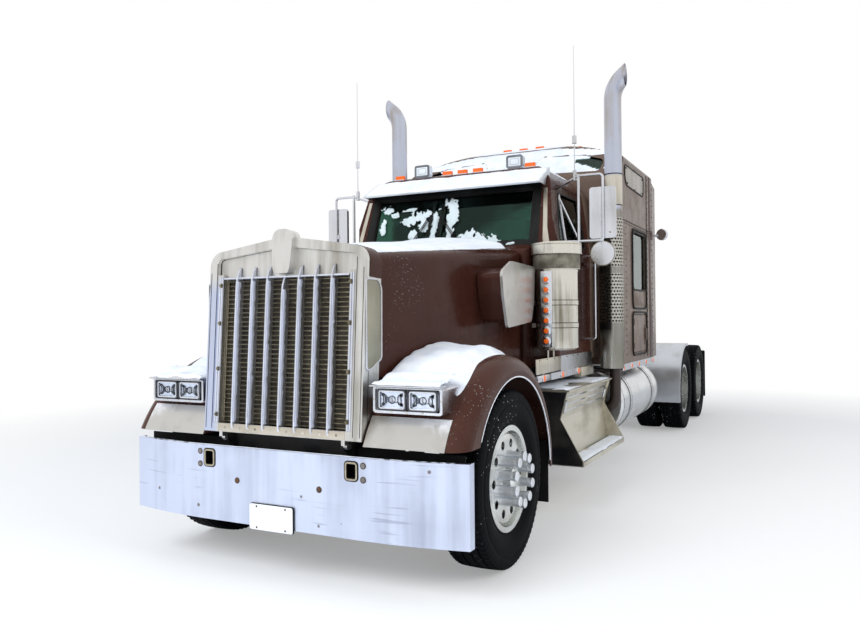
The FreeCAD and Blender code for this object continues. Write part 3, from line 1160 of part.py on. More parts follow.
def exhaust():
    """The left exhaust: muffler, reducing cone, tail pipe with its turned-out end, and the elbow under the cab."""
    pipe_out = stack_route(STACK_R, STACK_CUT_X)
    pipe_in = stack_route(STACK_R - STACK_WALL, STACK_CUT_X + 5)
    muffler = cyl(STACK_X, STACK_Y, SHIELD_BOTTOM_Z + 15, MUFFLER_R, SHIELD_TOP_Z - SHIELD_BOTTOM_Z - 15)
    cone = Part.makeCone(MUFFLER_R, STACK_R, 40, V(STACK_X, STACK_Y, SHIELD_TOP_Z - 5), V(0, 0, 1))
    body = fuse([pipe_out.cut(pipe_in.common(box(900, 1500, 2500, 3000, SHIELD_TOP_Z + 60, 4200))), muffler, cone])
    seam = cyl(STACK_X, STACK_Y, STACK_SEAM_Z, STACK_R + 4, 14).cut(cyl(STACK_X, STACK_Y, STACK_SEAM_Z - 1, STACK_R - 1, 16))
    bracket = box(NECK_HALF_W + SEAT_GAP, STACK_X - MUFFLER_R + 10, STACK_Y - 40, STACK_Y + 40, 2000, 2030)
    return fuse([body, seam, bracket])


def exhausts():
    """Both stacks, each on an elbow under the cab, joined to one pipe that comes back from the engine."""
    low = ELBOW_Z
    elbow = pipe([V(STACK_X, STACK_Y, SHIELD_BOTTOM_Z + 30), V(STACK_X, STACK_Y, low), V(0, STACK_Y, low)], 120, 50)
    side = fuse([exhaust(), elbow])
    run = cyl(FEED_X, ENGINE_BACK_Y + SEAT_GAP, low, 48, STACK_Y - ENGINE_BACK_Y - SEAT_GAP, "y")
    return fuse([side, mirrored(side), run])


def shield():
    """The left muffler's wrap-round heat shield, open to the cab side."""
    gap = 55
    height = SHIELD_TOP_Z - SHIELD_BOTTOM_Z
    outer = cyl(SHIELD_X, STACK_Y, SHIELD_BOTTOM_Z, SHIELD_R, height)
    inner = cyl(SHIELD_X, STACK_Y, SHIELD_BOTTOM_Z - 1, SHIELD_R - SHIELD_T, height + 2)
    slot = box(SHIELD_X - 200, SHIELD_X - 40, STACK_Y - gap, STACK_Y + gap, SHIELD_BOTTOM_Z - 1, SHIELD_TOP_Z + 1)
    body = outer.cut(inner).cut(slot)
    stays = []
    for z in (SHIELD_BOTTOM_Z + 120, SHIELD_TOP_Z - 120):
        ring = cyl(SHIELD_X, STACK_Y, z, SHIELD_R - SHIELD_T + 1, 16).cut(cyl(STACK_X, STACK_Y, z - 1, MUFFLER_R + SEAT_GAP, 18))
        stays.append(ring)
    return fuse([body] + stays)


def air_cleaner():
    """The left air cleaner: canister, screened band, cap, two straps and the bracket to the cowl."""
    can = cyl(CLEANER_X, CLEANER_Y, CLEANER_Z0, CLEANER_R, CLEANER_Z1 - CLEANER_Z0)
    bottom = Part.makeCone(CLEANER_R - 30, CLEANER_R, 16, V(CLEANER_X, CLEANER_Y, CLEANER_Z0 - 15), V(0, 0, 1))
    screen = cyl(CLEANER_X, CLEANER_Y, 1900, CLEANER_CAP_R - 14, 130)
    ring = cyl(CLEANER_X, CLEANER_Y, 2020, CLEANER_CAP_R, 70)
    cap = Part.makeCone(CLEANER_CAP_R, CLEANER_CAP_R - 26, 24, V(CLEANER_X, CLEANER_Y, 2089), V(0, 0, 1))
    straps = [cyl(CLEANER_X, CLEANER_Y, z, CLEANER_R + 4, 34) for z in (1450, 1625)]
    bracket = [box(COWL_HALF_W - 40, CLEANER_X, CLEANER_Y - 40, CLEANER_Y + 40, z, z + 34) for z in (1450, 1625)]
    body = fuse([can, bottom, screen, ring, cap] + straps + bracket)
    return body.cut(cab_solid(-SEAT_GAP))


def fuel_tank():
    """The left fuel tank: a polished drum with domed ends, straps, filler cap and frame brackets."""
    length = TANK_Y1 - TANK_Y0
    drum = cyl(TANK_X, TANK_Y0, TANK_Z, TANK_R, length, "y")
    drum = drum.makeFillet(24, [e for e in drum.Edges if e.Curve.TypeId == "Part::GeomCircle"])
    parts = [drum]
    for y in (TANK_Y0 + 330, TANK_Y1 - 330):
        parts.append(cyl(TANK_X, y - 30, TANK_Z, TANK_R + 5, 60, "y"))
        parts.append(slab_y([(RAIL_OUT, RAIL_TOP - 20), (TANK_X, RAIL_TOP - 20), (TANK_X, TANK_Z), (RAIL_OUT + 30, 430),
                             (RAIL_OUT, 520)], y - 26, y + 26))
    parts.append(cyl(TANK_X + 90, TANK_Y0 + 560, TANK_Z + TANK_R - 20, 55, 50))
    return fuse(parts)


def step_box():
    """The left box step: a tread-topped box whose face tucks in and then runs out to the low tread."""
    side = [(RAIL_OUT, STEP_TOP_Z), (STEP_TOP_X, STEP_TOP_Z), (STEP_KINK_X, STEP_KINK_Z), (STEP_TREAD_X - 70, STEP_TREAD_Z + 125),
            (STEP_TREAD_X, STEP_TREAD_Z), (STEP_TREAD_X, STEP_TREAD_Z - STEP_TREAD_T), (RAIL_OUT + 120, STEP_TREAD_Z - STEP_TREAD_T),
            (RAIL_OUT, 700)]
    cheek = slab_y([(x, z) for x, z in side], STEP_Y0, STEP_Y0 + 8)
    core = slab_y([(RAIL_OUT, STEP_TOP_Z - 1), (STEP_TOP_X - 12, STEP_TOP_Z - 1), (STEP_KINK_X - 12, STEP_KINK_Z),
                   (STEP_TREAD_X - 150, STEP_TREAD_Z - 10), (RAIL_OUT + 130, STEP_TREAD_Z - 10), (RAIL_OUT, 705)],
                  STEP_Y0 + 6, STEP_Y1 - 6)
    lid = slab_y(rectangle(RAIL_OUT + 20, STEP_TOP_X + 14, STEP_TOP_Z - 14, STEP_TOP_Z), STEP_Y0 - 6, STEP_Y1 + 6)
    tread = box(STEP_TREAD_X - 190, STEP_TREAD_X, STEP_Y0, STEP_Y1, STEP_TREAD_Z - STEP_TREAD_T, STEP_TREAD_Z)
    other = cheek.copy()
    other.translate(V(0, STEP_Y1 - STEP_Y0 - 8, 0))
    return fuse([cheek, other, core, lid, tread])


def rear_fender():
    """The left half fender over the front of the first drive tyres, on a stay from the frame."""
    r, t = TYRE_R + 70, 8
    x0, x1 = DUAL_INNER_X - TYRE_W / 2, DUAL_OUTER_X + TYRE_W / 2 + 12
    outer = cyl(x0, FIRST_DRIVE_Y, TYRE_R, r, x1 - x0, "x")
    inner = cyl(x0 - 1, FIRST_DRIVE_Y, TYRE_R, r - t, x1 - x0 + 2, "x")
    keep = slab_x([(FIRST_DRIVE_Y, TYRE_R), (FIRST_DRIVE_Y - 900, TYRE_R - 210), (FIRST_DRIVE_Y - 900, TYRE_R + 900),
                   (FIRST_DRIVE_Y + 120, TYRE_R + 900)], x0 - 5, x1 + 5)
    arch = outer.cut(inner).common(keep)
    lip = cyl(x1 - 8, FIRST_DRIVE_Y, TYRE_R, r, 8, "x").cut(cyl(x1 - 9, FIRST_DRIVE_Y, TYRE_R, r - 34, 10, "x")).common(keep)
    stay_x = RAIL_OUT + 14 + SEAT_GAP
    stay = cyl(stay_x, FIRST_DRIVE_Y - 540, TYRE_R + 300, 22, x0 + 220 - stay_x, "x")
    return fuse([arch, lip, stay])


def mud_flap():
    """The left rear mud flap on its spring bar from the frame's end."""
    y = SECOND_DRIVE_Y + TYRE_R + 140
    bar = cyl(RAIL_OUT, y, 960, 18, 760, "x")
    flap = box(600, 1195, y - 5, y + 5, 250, 955)
    strip = box(600, 1195, y - 10, y + 10, 900, 962)
    return [fuse([bar, strip, flap])]


def deck_plate():
    """The tread-plate deck on the frame behind the sleeper, and the tail lamp bar on the end member."""
    deck = box(-RAIL_OUT, RAIL_OUT, SLEEPER_BACK_Y + 60, 5560, RAIL_TOP, RAIL_TOP + 10)
    bar = box(-420, 420, FRAME_END - 70, FRAME_END - CROSS_T - 40, RAIL_BOTTOM - 110, RAIL_BOTTOM)
    return [deck, bar]


def fifth_wheel_base():
    """The fifth wheel's two pedestals on a mounting plate across the rails."""
    plate = box(-RAIL_OUT - 40, RAIL_OUT + 40, FIFTH_Y - 330, FIFTH_Y + 330, RAIL_TOP, RAIL_TOP + 14)
    feet = []
    for s in (-1, 1):
        x0, x1 = sorted((s * 300, s * 380))
        foot = slab_x([(FIFTH_Y - 170, RAIL_TOP + 12), (FIFTH_Y + 170, RAIL_TOP + 12), (FIFTH_Y + 45, FIFTH_PIVOT_Z + 30),
                       (FIFTH_Y - 45, FIFTH_PIVOT_Z + 30)], x0, x1, [0, 0, 40, 40])
        feet.append(foot)
    pins = [cyl(min(s * 250, s * 300), FIFTH_Y, FIFTH_PIVOT_Z, 20, 51 if s > 0 else 50, "x") for s in (-1, 1)]
    return fuse([plate] + feet + pins)


def fifth_wheel_plate():
    """The rocking top plate: a broad disc with ramps, an open throat and the closed jaw about the kingpin's seat."""
    top, t = FIFTH_TOP_Z, 34
    half, y = FIFTH_HALF_W, FIFTH_Y
    outline = [(-half, y - 60), (-300, y - 380), (300, y - 380), (half, y - 60), (half, y + 120), (300, y + 470),
               (150, y + 470), (34, y + 90), (-34, y + 90), (-150, y + 470), (-300, y + 470), (-half, y + 120)]
    plate = slab_z(outline, top - t, top, [120, 160, 160, 120, 120, 30, 20, 12, 12, 20, 30, 120])
    ribs = []
    for s in (-1, 1):
        x0, x1 = sorted((s * 245, s * 285))
        rib = slab_x([(y - 200, top - t + 2), (y + 200, top - t + 2), (y + 40, FIFTH_PIVOT_Z - 36), (y - 40, FIFTH_PIVOT_Z - 36)],
                     x0, x1, [0, 0, 30, 30])
        ribs.append(rib.cut(cyl(x0 - 1, y, FIFTH_PIVOT_Z, 20 + SEAT_GAP, 42, "x")))
    jaw = cyl(0, y, top - KINGPIN_BORE_L, 75, KINGPIN_BORE_L)
    body = fuse([plate, jaw] + ribs)
    return body.cut(cyl(0, y, top - KINGPIN_BORE_L - 5, KINGPIN_BORE_R, KINGPIN_BORE_L + 10))


def mirror():
    """The left mirror: tube frame on the door, the tall glass head, the round lower glass and the aerial."""
    x_in, x_out, y = 1090, 1252, 1752
    top, low = 2690, 2150
    frame_bar = pipe([V(x_in, y, top), V(x_out + 40, y, top), V(x_out + 40, y, low), V(x_in, y, low)], 30, 11)
    inner_bar = pipe_straight(V(x_in, y, low - 20), V(x_in, y, top + 14), 12)
    door_face = cab_solid(-SEAT_GAP)
    arms = [pipe_straight(V(866, 1850, 2606), V(x_in, y, top), 10), pipe_straight(V(930, 1700, low), V(x_in, y, low), 11),
            pipe_straight(V(876, 1886, 2560), V(x_in, y, low + 10), 9)]
    arms = [arm.cut(door_face) for arm in arms]
    head = slab_y(rectangle(1178, 1391, 2168, 2588), y + 14, y + 44, 24)
    neck = box(1270, 1300, y - 2, y + 20, 2300, 2340)
    disc = cyl(1285, y + 6, 2045, 100, 24, "y")
    stem = cyl(1285, y + 10, 2120, 9, 60)
    aerial_x, aerial_y, aerial_z = 1056, y + 17, top - 34
    aerial_foot = cyl(aerial_x, aerial_y, aerial_z, 16, 86)
    mast = Part.makeCone(5, 2.5, 1040, V(aerial_x, aerial_y, aerial_z + 79), V(0, 0, 1))
    coil = cyl(aerial_x, aerial_y, 2965, 19, 62)
    return [fuse([frame_bar, inner_bar, head, neck, disc, stem, aerial_foot, mast, coil] + arms)]


def pipe_straight(a, b, r):
    """A round bar from one point to another."""
    return Part.makeCylinder(r, (b - a).Length, a, b - a)


def grab_handle():
    """The left grab bar on the pillar behind the door."""
    x, y = CAB_HALF_W, (DOOR_REAR_Y + CAB_BACK_Y) / 2 + 6
    return pipe([V(x + 0.3, y, 1330), V(x + 55, y, 1330), V(x + 55, y, 2170 - 80), V(x + 0.3, y, 2170 - 80)], 22, 11)


def roof_crown_z(x):
    """The height of the sleeper roof's crown at a place across, from the outline's rounded corner."""
    slope = math.atan2(SLEEPER_ROOF_Z + 3 - SLEEPER_EAVE_Z, SLEEPER_HALF_W + 3 - 600)
    reach = 2300 * math.tan(slope / 2)
    if abs(x) <= 600 - reach:
        return SLEEPER_ROOF_Z
    return SLEEPER_ROOF_Z + 3 - 2300 + math.sqrt(2300 ** 2 - (abs(x) - 600 + reach) ** 2)


def sill_trims():
    """On the left: the bright panel with its lamp rail under the door, and the lamp rail under the sleeper."""
    cab_y1 = CAB_BACK_Y - 20
    panel = box(CAB_HALF_W + SEAT_GAP, CAB_HALF_W + 9, 1640, cab_y1, 1085, 1215)
    rail = slab_x(rectangle(1340, cab_y1, 1040, 1092), CAB_HALF_W - 70, CAB_HALF_W + 22, 8)
    stay = box(CAB_HALF_W - 70, CAB_HALF_W - 60, 1660, cab_y1, 1088, CAB_FLOOR_Z - SEAT_GAP)
    under = slab_x(rectangle(SLEEPER_FRONT_Y + 12, SLEEPER_BACK_Y - 30, 1012, SLEEPER_BOTTOM_Z - SEAT_GAP),
                   SLEEPER_HALF_W - 44, SLEEPER_HALF_W + 4, 6)
    return [fuse([panel, rail, stay]), under]


def marker_lamps():
    """Amber lamps: five across the cab's roof, five behind the sleeper's brow, and a row down each side's sill."""
    lamps = []
    cab_roof = cab_solid(-SEAT_GAP)
    for x in (-640, -150, 0, 150, 640):
        lamps.append(slab_z(rectangle(x - 46, x + 46, 1838, 1878), CAB_ROOF_Z - 60, CAB_ROOF_Z + 30, 12).cut(cab_roof))
    roof = sleeper_solid(-SEAT_GAP)
    for x in (-600, -185, 0, 185, 600):
        lamp = slab_z(rectangle(x - 46, x + 46, 3440, 3480), 3200, roof_crown_z(x) + 30, 12)
        lamps.append(lamp.cut(roof))
    return lamps


def work_lamps():
    """Two square lamps on short stalks behind the cab's marker lamps."""
    lamps = []
    for x in (-460, 460):
        head = slab_y(rectangle(x - 78, x + 78, CAB_ROOF_Z + 18, CAB_ROOF_Z + 136), 1950, 2010, 24)
        stalk = cyl(x, 1985, CAB_ROOF_Z + SEAT_GAP, 14, 40)
        lamps.append(fuse([head, stalk]))
    return lamps


def main():
    os.makedirs(OUT, exist_ok=True)
    save("frame", [frame()])
    save("front_axle", [front_axle()])
    save("drive_axles", [drive_axle(FIRST_DRIVE_Y), drive_axle(SECOND_DRIVE_Y)])
    save("rear_suspension", rear_suspension())
    save("powertrain", powertrain())
    save("radiator", [radiator()])
    save("bumper", [bumper()])
    save("grille_shell", [grille_shell()])
    save("grille", [grille()])
    save("hood_shell", [hood_shell()])
    save("fenders", pair(fender()))
    save("front_flaps", pair(front_flap()))
    save("headlamp_pods", pair(headlamp_pod()))
    save("headlamps", [s for lamp in headlamps() for s in pair(lamp)])
    save("polished_panels", [s for p in polished_panels() for s in pair(p)])
    save("cab_shell", [cab_shell()])
    save("cab_glass", [screen_glass()] + [s for p in sleeper_panes() for s in pair(p)])
    save("visor", [visor()])
    save("door_left", [door()])
    save("door_right", [mirrored(door())])
    save("door_glass_left", [door_glass()])
    save("door_glass_right", [mirrored(door_glass())])
    save("mirror_left", mirror())
    save("mirror_right", [mirrored(m) for m in mirror()])
    save("sleeper_shell", [sleeper_shell()])
    save("bay_door_left", [bay_door()])
    save("bay_door_right", [mirrored(bay_door())])
    save("dash", [dash()])
    save("seats", [seat(SEAT_X), seat(-SEAT_X)])
    save("bunk", [bunk()])
    save("exhausts", [exhausts()])
    save("heat_shields", pair(shield()))
    save("air_cleaners", pair(air_cleaner()))
    save("fuel_tanks", pair(fuel_tank()))
    save("step_boxes", pair(step_box()))
    save("rear_fenders", pair(rear_fender()))
    save("mud_flaps", [s for m in mud_flap() for s in pair(m)])
    save("deck_plate", deck_plate())
    save("fifth_wheel_base", [fifth_wheel_base()])
    save("fifth_wheel_plate", [fifth_wheel_plate()])
    save("grab_handles", pair(grab_handle()))
    save("marker_lamps", marker_lamps())
    save("sill_trims", [s for t in sill_trims() for s in pair(t)])
    save("work_lamps", work_lamps())
    save("knuckle_left", [knuckle()])
    save("knuckle_right", [mirrored(knuckle())])
    save("tie_rod", [tie_rod()])
    steer = front_wheel()
    save("front_wheel_left", [steer])
    save("front_wheel_right", [mirrored(steer)])
    save("front_tyre_left", [tyre(FRONT_TYRE_X, 0)])
    save("front_tyre_right", [tyre(-FRONT_TYRE_X, 0)])
    for label, y in (("first", FIRST_DRIVE_Y), ("second", SECOND_DRIVE_Y)):
        wheels = dual_wheels(y)
        tyres = [tyre(DUAL_OUTER_X, y), tyre(DUAL_INNER_X, y)]
        save(label + "_drive_wheels_left", [wheels])
        save(label + "_drive_wheels_right", [mirrored(wheels)])
        save(label + "_drive_tyres_left", tyres)
        save(label + "_drive_tyres_right", [mirrored(t) for t in tyres])


if __name__ == "__main__":
    main()
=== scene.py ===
# %% [markdown]
# # A winter tractor unit, dressed for its portrait
# The truck is already modelled: frame, cab, wheels and panels come from CAD as one fixed frame in metres.
# This lesson gives every part its finish and adds what is too fine or too soft for CAD: tread, gaskets,
# bolts, lamps, cushions and the snow that lies on it. Each step says what the real thing is, how it could
# be made, and why one way was chosen.

# %% Load the frame
import bpy
import bmesh
import json
import math
from mathutils import Matrix, Vector, noise
from mathutils.bvhtree import BVHTree


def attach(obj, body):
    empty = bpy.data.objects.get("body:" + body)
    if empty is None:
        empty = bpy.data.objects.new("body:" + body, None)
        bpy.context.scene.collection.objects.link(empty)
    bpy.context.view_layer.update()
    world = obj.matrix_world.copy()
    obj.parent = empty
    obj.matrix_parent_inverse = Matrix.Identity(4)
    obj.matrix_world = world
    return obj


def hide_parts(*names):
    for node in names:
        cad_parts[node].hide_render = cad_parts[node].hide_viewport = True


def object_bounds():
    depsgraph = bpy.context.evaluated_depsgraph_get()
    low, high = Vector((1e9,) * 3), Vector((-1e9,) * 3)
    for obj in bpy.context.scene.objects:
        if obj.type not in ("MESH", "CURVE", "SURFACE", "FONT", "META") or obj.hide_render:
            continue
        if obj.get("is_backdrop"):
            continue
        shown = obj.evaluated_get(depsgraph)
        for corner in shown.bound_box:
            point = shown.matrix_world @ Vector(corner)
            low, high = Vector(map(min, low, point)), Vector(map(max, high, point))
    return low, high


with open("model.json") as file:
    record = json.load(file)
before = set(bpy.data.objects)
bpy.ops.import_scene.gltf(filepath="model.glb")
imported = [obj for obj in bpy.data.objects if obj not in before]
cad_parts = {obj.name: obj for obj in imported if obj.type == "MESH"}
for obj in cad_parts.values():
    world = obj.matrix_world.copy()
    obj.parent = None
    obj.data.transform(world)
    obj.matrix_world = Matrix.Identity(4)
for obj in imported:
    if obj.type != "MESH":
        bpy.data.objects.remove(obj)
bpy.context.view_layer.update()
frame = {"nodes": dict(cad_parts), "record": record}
nodes = frame["nodes"]

# %% [markdown]
# ## Where things are
# The truck's own drawings measure along the vehicle from the front axle, because every axle and door is
# dimensioned from there. The model's origin is at mid-length, so one small helper turns a drawing's place
# into a place in the scene.

# %% Places from the front axle
FRONT_AXLE_Y = -3.965
SCENE = bpy.context.scene


def at(x, y, z):
    """A point given in metres from the front axle."""
    return Vector((x, y + FRONT_AXLE_Y, z))


def moved_to(x, y, z):
    """The matrix that carries a piece to a place given from the front axle."""
    return Matrix.Translation(at(x, y, z))


def turned_axes(across, up, out):
    """The turn that carries X, Y and Z onto three directions: they are the columns of its matrix."""
    return Matrix((Vector(across), Vector(up), Vector(out))).transposed().to_4x4()


print("the front axle is at", tuple(round(v, 3) for v in at(0, 0, 0.545)))

# %% [markdown]
# ## The camera
# The photograph was taken standing ahead of the truck, a little to its left, at the height of an adult's
# eyes. Matching it by eye takes many tries. It is quicker to solve for the camera from a few known points,
# such as wheel centres and bumper corners, and to write down the yaw, pitch and roll that came out. The
# three columns of a camera's matrix are its right, its up and its backward direction.

# %% Camera
PHOTO_WIDTH = 860
FOCAL_PIXELS = 764.73
SENSOR = 36.0
EYE = (2.8512, -8.365, 1.5292)


def photo_camera():
    yaw, pitch, roll = math.radians(27.039), math.radians(0.368), math.radians(-0.5157)
    ahead = Vector((-math.sin(yaw) * math.cos(pitch), math.cos(yaw) * math.cos(pitch), math.sin(pitch)))
    level = Vector((math.cos(yaw), math.sin(yaw), 0))
    upright = level.cross(ahead)
    right = level * math.cos(roll) + upright * math.sin(roll)
    up = upright * math.cos(roll) - level * math.sin(roll)
    camera = bpy.data.objects.new("photo_camera", bpy.data.cameras.new("photo_camera"))
    camera.data.sensor_width = SENSOR
    camera.data.lens = FOCAL_PIXELS / PHOTO_WIDTH * SENSOR
    camera.data.clip_end = 200
    camera.matrix_world = Matrix.Translation(EYE) @ turned_axes(right, up, -ahead)
    SCENE.collection.objects.link(camera)
    SCENE.camera = camera
    return camera


camera = photo_camera()
print("lens", round(camera.data.lens, 2), "mm")

# %% [markdown]
# ## Light, sky and floor
# The day was overcast over snow: light came from everywhere, a little more from ahead. A world that glows
# evenly does most of that, and one wide lamp ahead and above gives the panels a direction. Chrome shows
# whatever surrounds it, so mirror rays see the sky at full white, while the light that falls on paint is
# kept at a plain level. The two lamps are hidden from mirror rays, or every pipe would carry their
# burnt-out image.

# %% World
def maths(tree, operation, a, b=0.0):
    """One sum on plain numbers or on other nodes' outputs."""
    node = tree.nodes.new("ShaderNodeMath")
    node.operation = operation
    for socket, value in zip(node.inputs, (a, b)):
        if isinstance(value, (int, float)):
            socket.default_value = value
        else:
            tree.links.new(value, socket)
    return node.outputs[0]


def sky_world():
    world = bpy.data.worlds.new("overcast")
    world.use_nodes = True
    tree = world.node_tree
    tree.nodes.clear()
    rays = tree.nodes.new("ShaderNodeLightPath").outputs
    mirrored = maths(tree, "MAXIMUM", rays["Is Glossy Ray"], rays["Is Transmission Ray"])
    seen = maths(tree, "MAXIMUM", rays["Is Camera Ray"], mirrored)
    lit = tree.nodes.new("ShaderNodeBackground")
    lit.inputs["Color"].default_value = (0.90, 0.95, 1.0, 1)
    lit.inputs["Strength"].default_value = 0.56
    shown = tree.nodes.new("ShaderNodeBackground")
    shown.inputs["Color"].default_value = (1, 1, 1, 1)
    mix = tree.nodes.new("ShaderNodeMixShader")
    out = tree.nodes.new("ShaderNodeOutputWorld")
    tree.links.new(seen, mix.inputs["Fac"])
    tree.links.new(lit.outputs[0], mix.inputs[1])
    tree.links.new(shown.outputs[0], mix.inputs[2])
    tree.links.new(mix.outputs[0], out.inputs["Surface"])
    SCENE.world = world


sky_world()
SCENE.view_settings.view_transform = "Standard"
print("world", SCENE.world.name, "view", SCENE.view_settings.view_transform)

# %% Lamps
def wide_lamp(name, place, aim, size, power, colour):
    lamp = bpy.data.lights.new(name, "AREA")
    lamp.shape = "DISK"
    lamp.size = size
    lamp.energy = power
    lamp.color = colour
    obj = bpy.data.objects.new(name, lamp)
    direction = Vector(aim) - Vector(place)
    obj.location = place
    obj.rotation_euler = direction.to_track_quat("-Z", "Y").to_euler()
    obj.visible_glossy = False
    SCENE.collection.objects.link(obj)
    return obj


wide_lamp("sky_ahead", (-2.5, -14.0, 9.0), (0, -2.5, 1.4), 9.0, 1500, (0.94, 0.97, 1.0))
wide_lamp("sky_beside", (11.0, -4.0, 7.0), (0, 0, 1.4), 7.0, 520, (1.0, 0.97, 0.92))
print("two wide lamps")

# %% [markdown]
# ## The finishes
# Nothing on a working truck is one flat colour. Paint has orange-peel, salt haze low down and specks of
# snow; polished steel has streaks and smears; rubber is grey where it is dusty. All of it can be grown from
# noise on the piece's own coordinates, so it needs no pictures and stays in place when a door opens. A few
# small helpers keep each recipe short.

# %% Shader helpers
def rgb(r, g, b):
    """A colour from screen values of 0 to 255, made linear as the shader wants it."""
    linear = [v / 3294.6 if v <= 10 else ((v / 255 + 0.055) / 1.055) ** 2.4 for v in (r, g, b)]
    return (*linear, 1.0)


def new_finish(name, colour, roughness, metallic=0.0, **own):
    """A new material, its node tree and its shader, with any other sockets given by name."""
    material = bpy.data.materials.new(name)
    material.use_nodes = True
    shader = material.node_tree.nodes["Principled BSDF"]
    shader.inputs["Base Color"].default_value = colour
    shader.inputs["Roughness"].default_value = roughness
    shader.inputs["Metallic"].default_value = metallic
    for socket, value in own.items():
        shader.inputs[socket.replace("_", " ")].default_value = value
    return material, material.node_tree, shader


def clouds(tree, scale, detail=3.0, stretch=(1, 1, 1), roughness=0.5):
    """Noise from 0 to 1 on the piece's own coordinates. Stretch draws it out along an axis."""
    place = tree.nodes.new("ShaderNodeTexCoord")
    fit = tree.nodes.new("ShaderNodeMapping")
    fit.inputs["Scale"].default_value = stretch
    cloud = tree.nodes.new("ShaderNodeTexNoise")
    cloud.inputs["Scale"].default_value = scale
    cloud.inputs["Detail"].default_value = detail
    cloud.inputs["Roughness"].default_value = roughness
    tree.links.new(place.outputs["Object"], fit.inputs["Vector"])
    tree.links.new(fit.outputs["Vector"], cloud.inputs["Vector"])
    return cloud.outputs["Fac"]


def between(tree, value, start, end, low=0.0, high=1.0):
    """Stretches one range of a value over another and clamps it."""
    node = tree.nodes.new("ShaderNodeMapRange")
    for socket, number in zip(("From Min", "From Max", "To Min", "To Max"), (start, end, low, high)):
        node.inputs[socket].default_value = number
    tree.links.new(value, node.inputs["Value"])
    return node.outputs["Result"]


def blended(tree, share, a, b):
    """Mixes two colours by a share. Each may be a plain colour or an output."""
    node = tree.nodes.new("ShaderNodeMix")
    node.data_type = "RGBA"
    tree.links.new(share, node.inputs["Factor"])
    for name, value in (("A", a), ("B", b)):
        socket = next(s for s in node.inputs if s.name == name and s.type == "RGBA")
        if isinstance(value, tuple):
            socket.default_value = value
        else:
            tree.links.new(value, socket)
    return next(s for s in node.outputs if s.type == "RGBA")


def bumped(tree, shader, height, strength, distance):
    """Lets a height tilt the surface's normal, for grain too fine to model."""
    node = tree.nodes.new("ShaderNodeBump")
    node.inputs["Strength"].default_value = strength
    node.inputs["Distance"].default_value = distance
    tree.links.new(height, node.inputs["Height"])
    tree.links.new(node.outputs["Normal"], shader.inputs["Normal"])


def axis(tree, which):
    """One of the piece's own coordinates."""
    place = tree.nodes.new("ShaderNodeTexCoord")
    parts = tree.nodes.new("ShaderNodeSeparateXYZ")
    tree.links.new(place.outputs["Object"], parts.inputs[0])
    return parts.outputs[which]


def cells(tree, scale):
    """How far a place is from the nearest of many scattered points: small near each point."""
    place = tree.nodes.new("ShaderNodeTexCoord")
    scattered = tree.nodes.new("ShaderNodeTexVoronoi")
    scattered.inputs["Scale"].default_value = scale
    tree.links.new(place.outputs["Object"], scattered.inputs["Vector"])
    return scattered.outputs["Distance"]


def facing_up(tree):
    """How far a surface faces up, from its own normal, so that it stays put when a part turns."""
    place = tree.nodes.new("ShaderNodeTexCoord")
    parts = tree.nodes.new("ShaderNodeSeparateXYZ")
    tree.links.new(place.outputs["Normal"], parts.inputs[0])
    return parts.outputs["Z"]


print("helpers ready; mid grey is", round(rgb(128, 128, 128)[0], 3))

# %% Snow specks and road salt
def snow_specks(tree, base, amount=1.0, scale=55.0):
    """Small flakes that blew onto a surface, in patches."""
    dots = between(tree, cells(tree, scale), 0.10, 0.16, 1.0, 0.0)
    patches = between(tree, clouds(tree, 2.2, 2.0), 0.52, 0.70, 0.0, amount)
    return blended(tree, maths(tree, "MULTIPLY", dots, patches), base, rgb(242, 246, 250))


def salted(tree, base, salt, top, bottom, most):
    """Dried road spray, thicker low down, that breaks up into streaks."""
    low = between(tree, axis(tree, "Z"), top, bottom)
    streaks = between(tree, clouds(tree, 7.0, 5.0, (1, 1, 0.18)), 0.35, 0.75, 0.25, 1.0)
    share = maths(tree, "MULTIPLY", maths(tree, "MULTIPLY", low, streaks), most)
    return blended(tree, share, base, salt)


print("specks and salt ready")

# %% [markdown]
# ### Paint
# Old brown truck paint under clear coat. It looks nearly black where it mirrors dark ground and warm brown
# where it faces the sky. A clear coat over a dark base gives both at once. Salt haze greys the lower panels
# and the big flat sleeper wall. That wall is its own, paler recipe: partly salt haze, partly a painted
# reflection of the bright sky.

# %% Brown and sleeper paint
def brown_paint(name, colour, haze, haze_top, most, rough):
    """Brown paint, with salt haze that starts at a height and grows to a share below it."""
    material, tree, shader = new_finish(name, colour, rough, 0.0, Coat_Weight=0.10, Coat_Roughness=0.06,
                                        Specular_IOR_Level=0.08)
    shade = between(tree, clouds(tree, 1.3, 4.0), 0.3, 0.7)
    darker = tuple(c * 0.72 for c in colour[:3]) + (1.0,)
    paint = blended(tree, shade, darker, colour)
    paint = salted(tree, paint, haze, haze_top, 0.5, most)
    tree.links.new(snow_specks(tree, paint, 0.6), shader.inputs["Base Color"])
    gloss = between(tree, clouds(tree, 9.0, 4.0), 0.3, 0.75, rough - 0.06, rough + 0.16)
    tree.links.new(gloss, shader.inputs["Roughness"])
    bumped(tree, shader, clouds(tree, 160.0, 2.0), 0.05, 0.0006)
    return material


finishes = {
    "brown_paint": brown_paint("brown_paint", rgb(65, 35, 28), rgb(108, 86, 74), 1.5, 0.3, 0.22),
    # The sleeper's paler brown is partly salt haze and partly a painted reflection of the bright sky.
    "sleeper_paint": brown_paint("sleeper_paint", rgb(108, 90, 80), rgb(142, 124, 110), 3.4, 0.35, 0.3),
}
print("paints:", sorted(finishes))
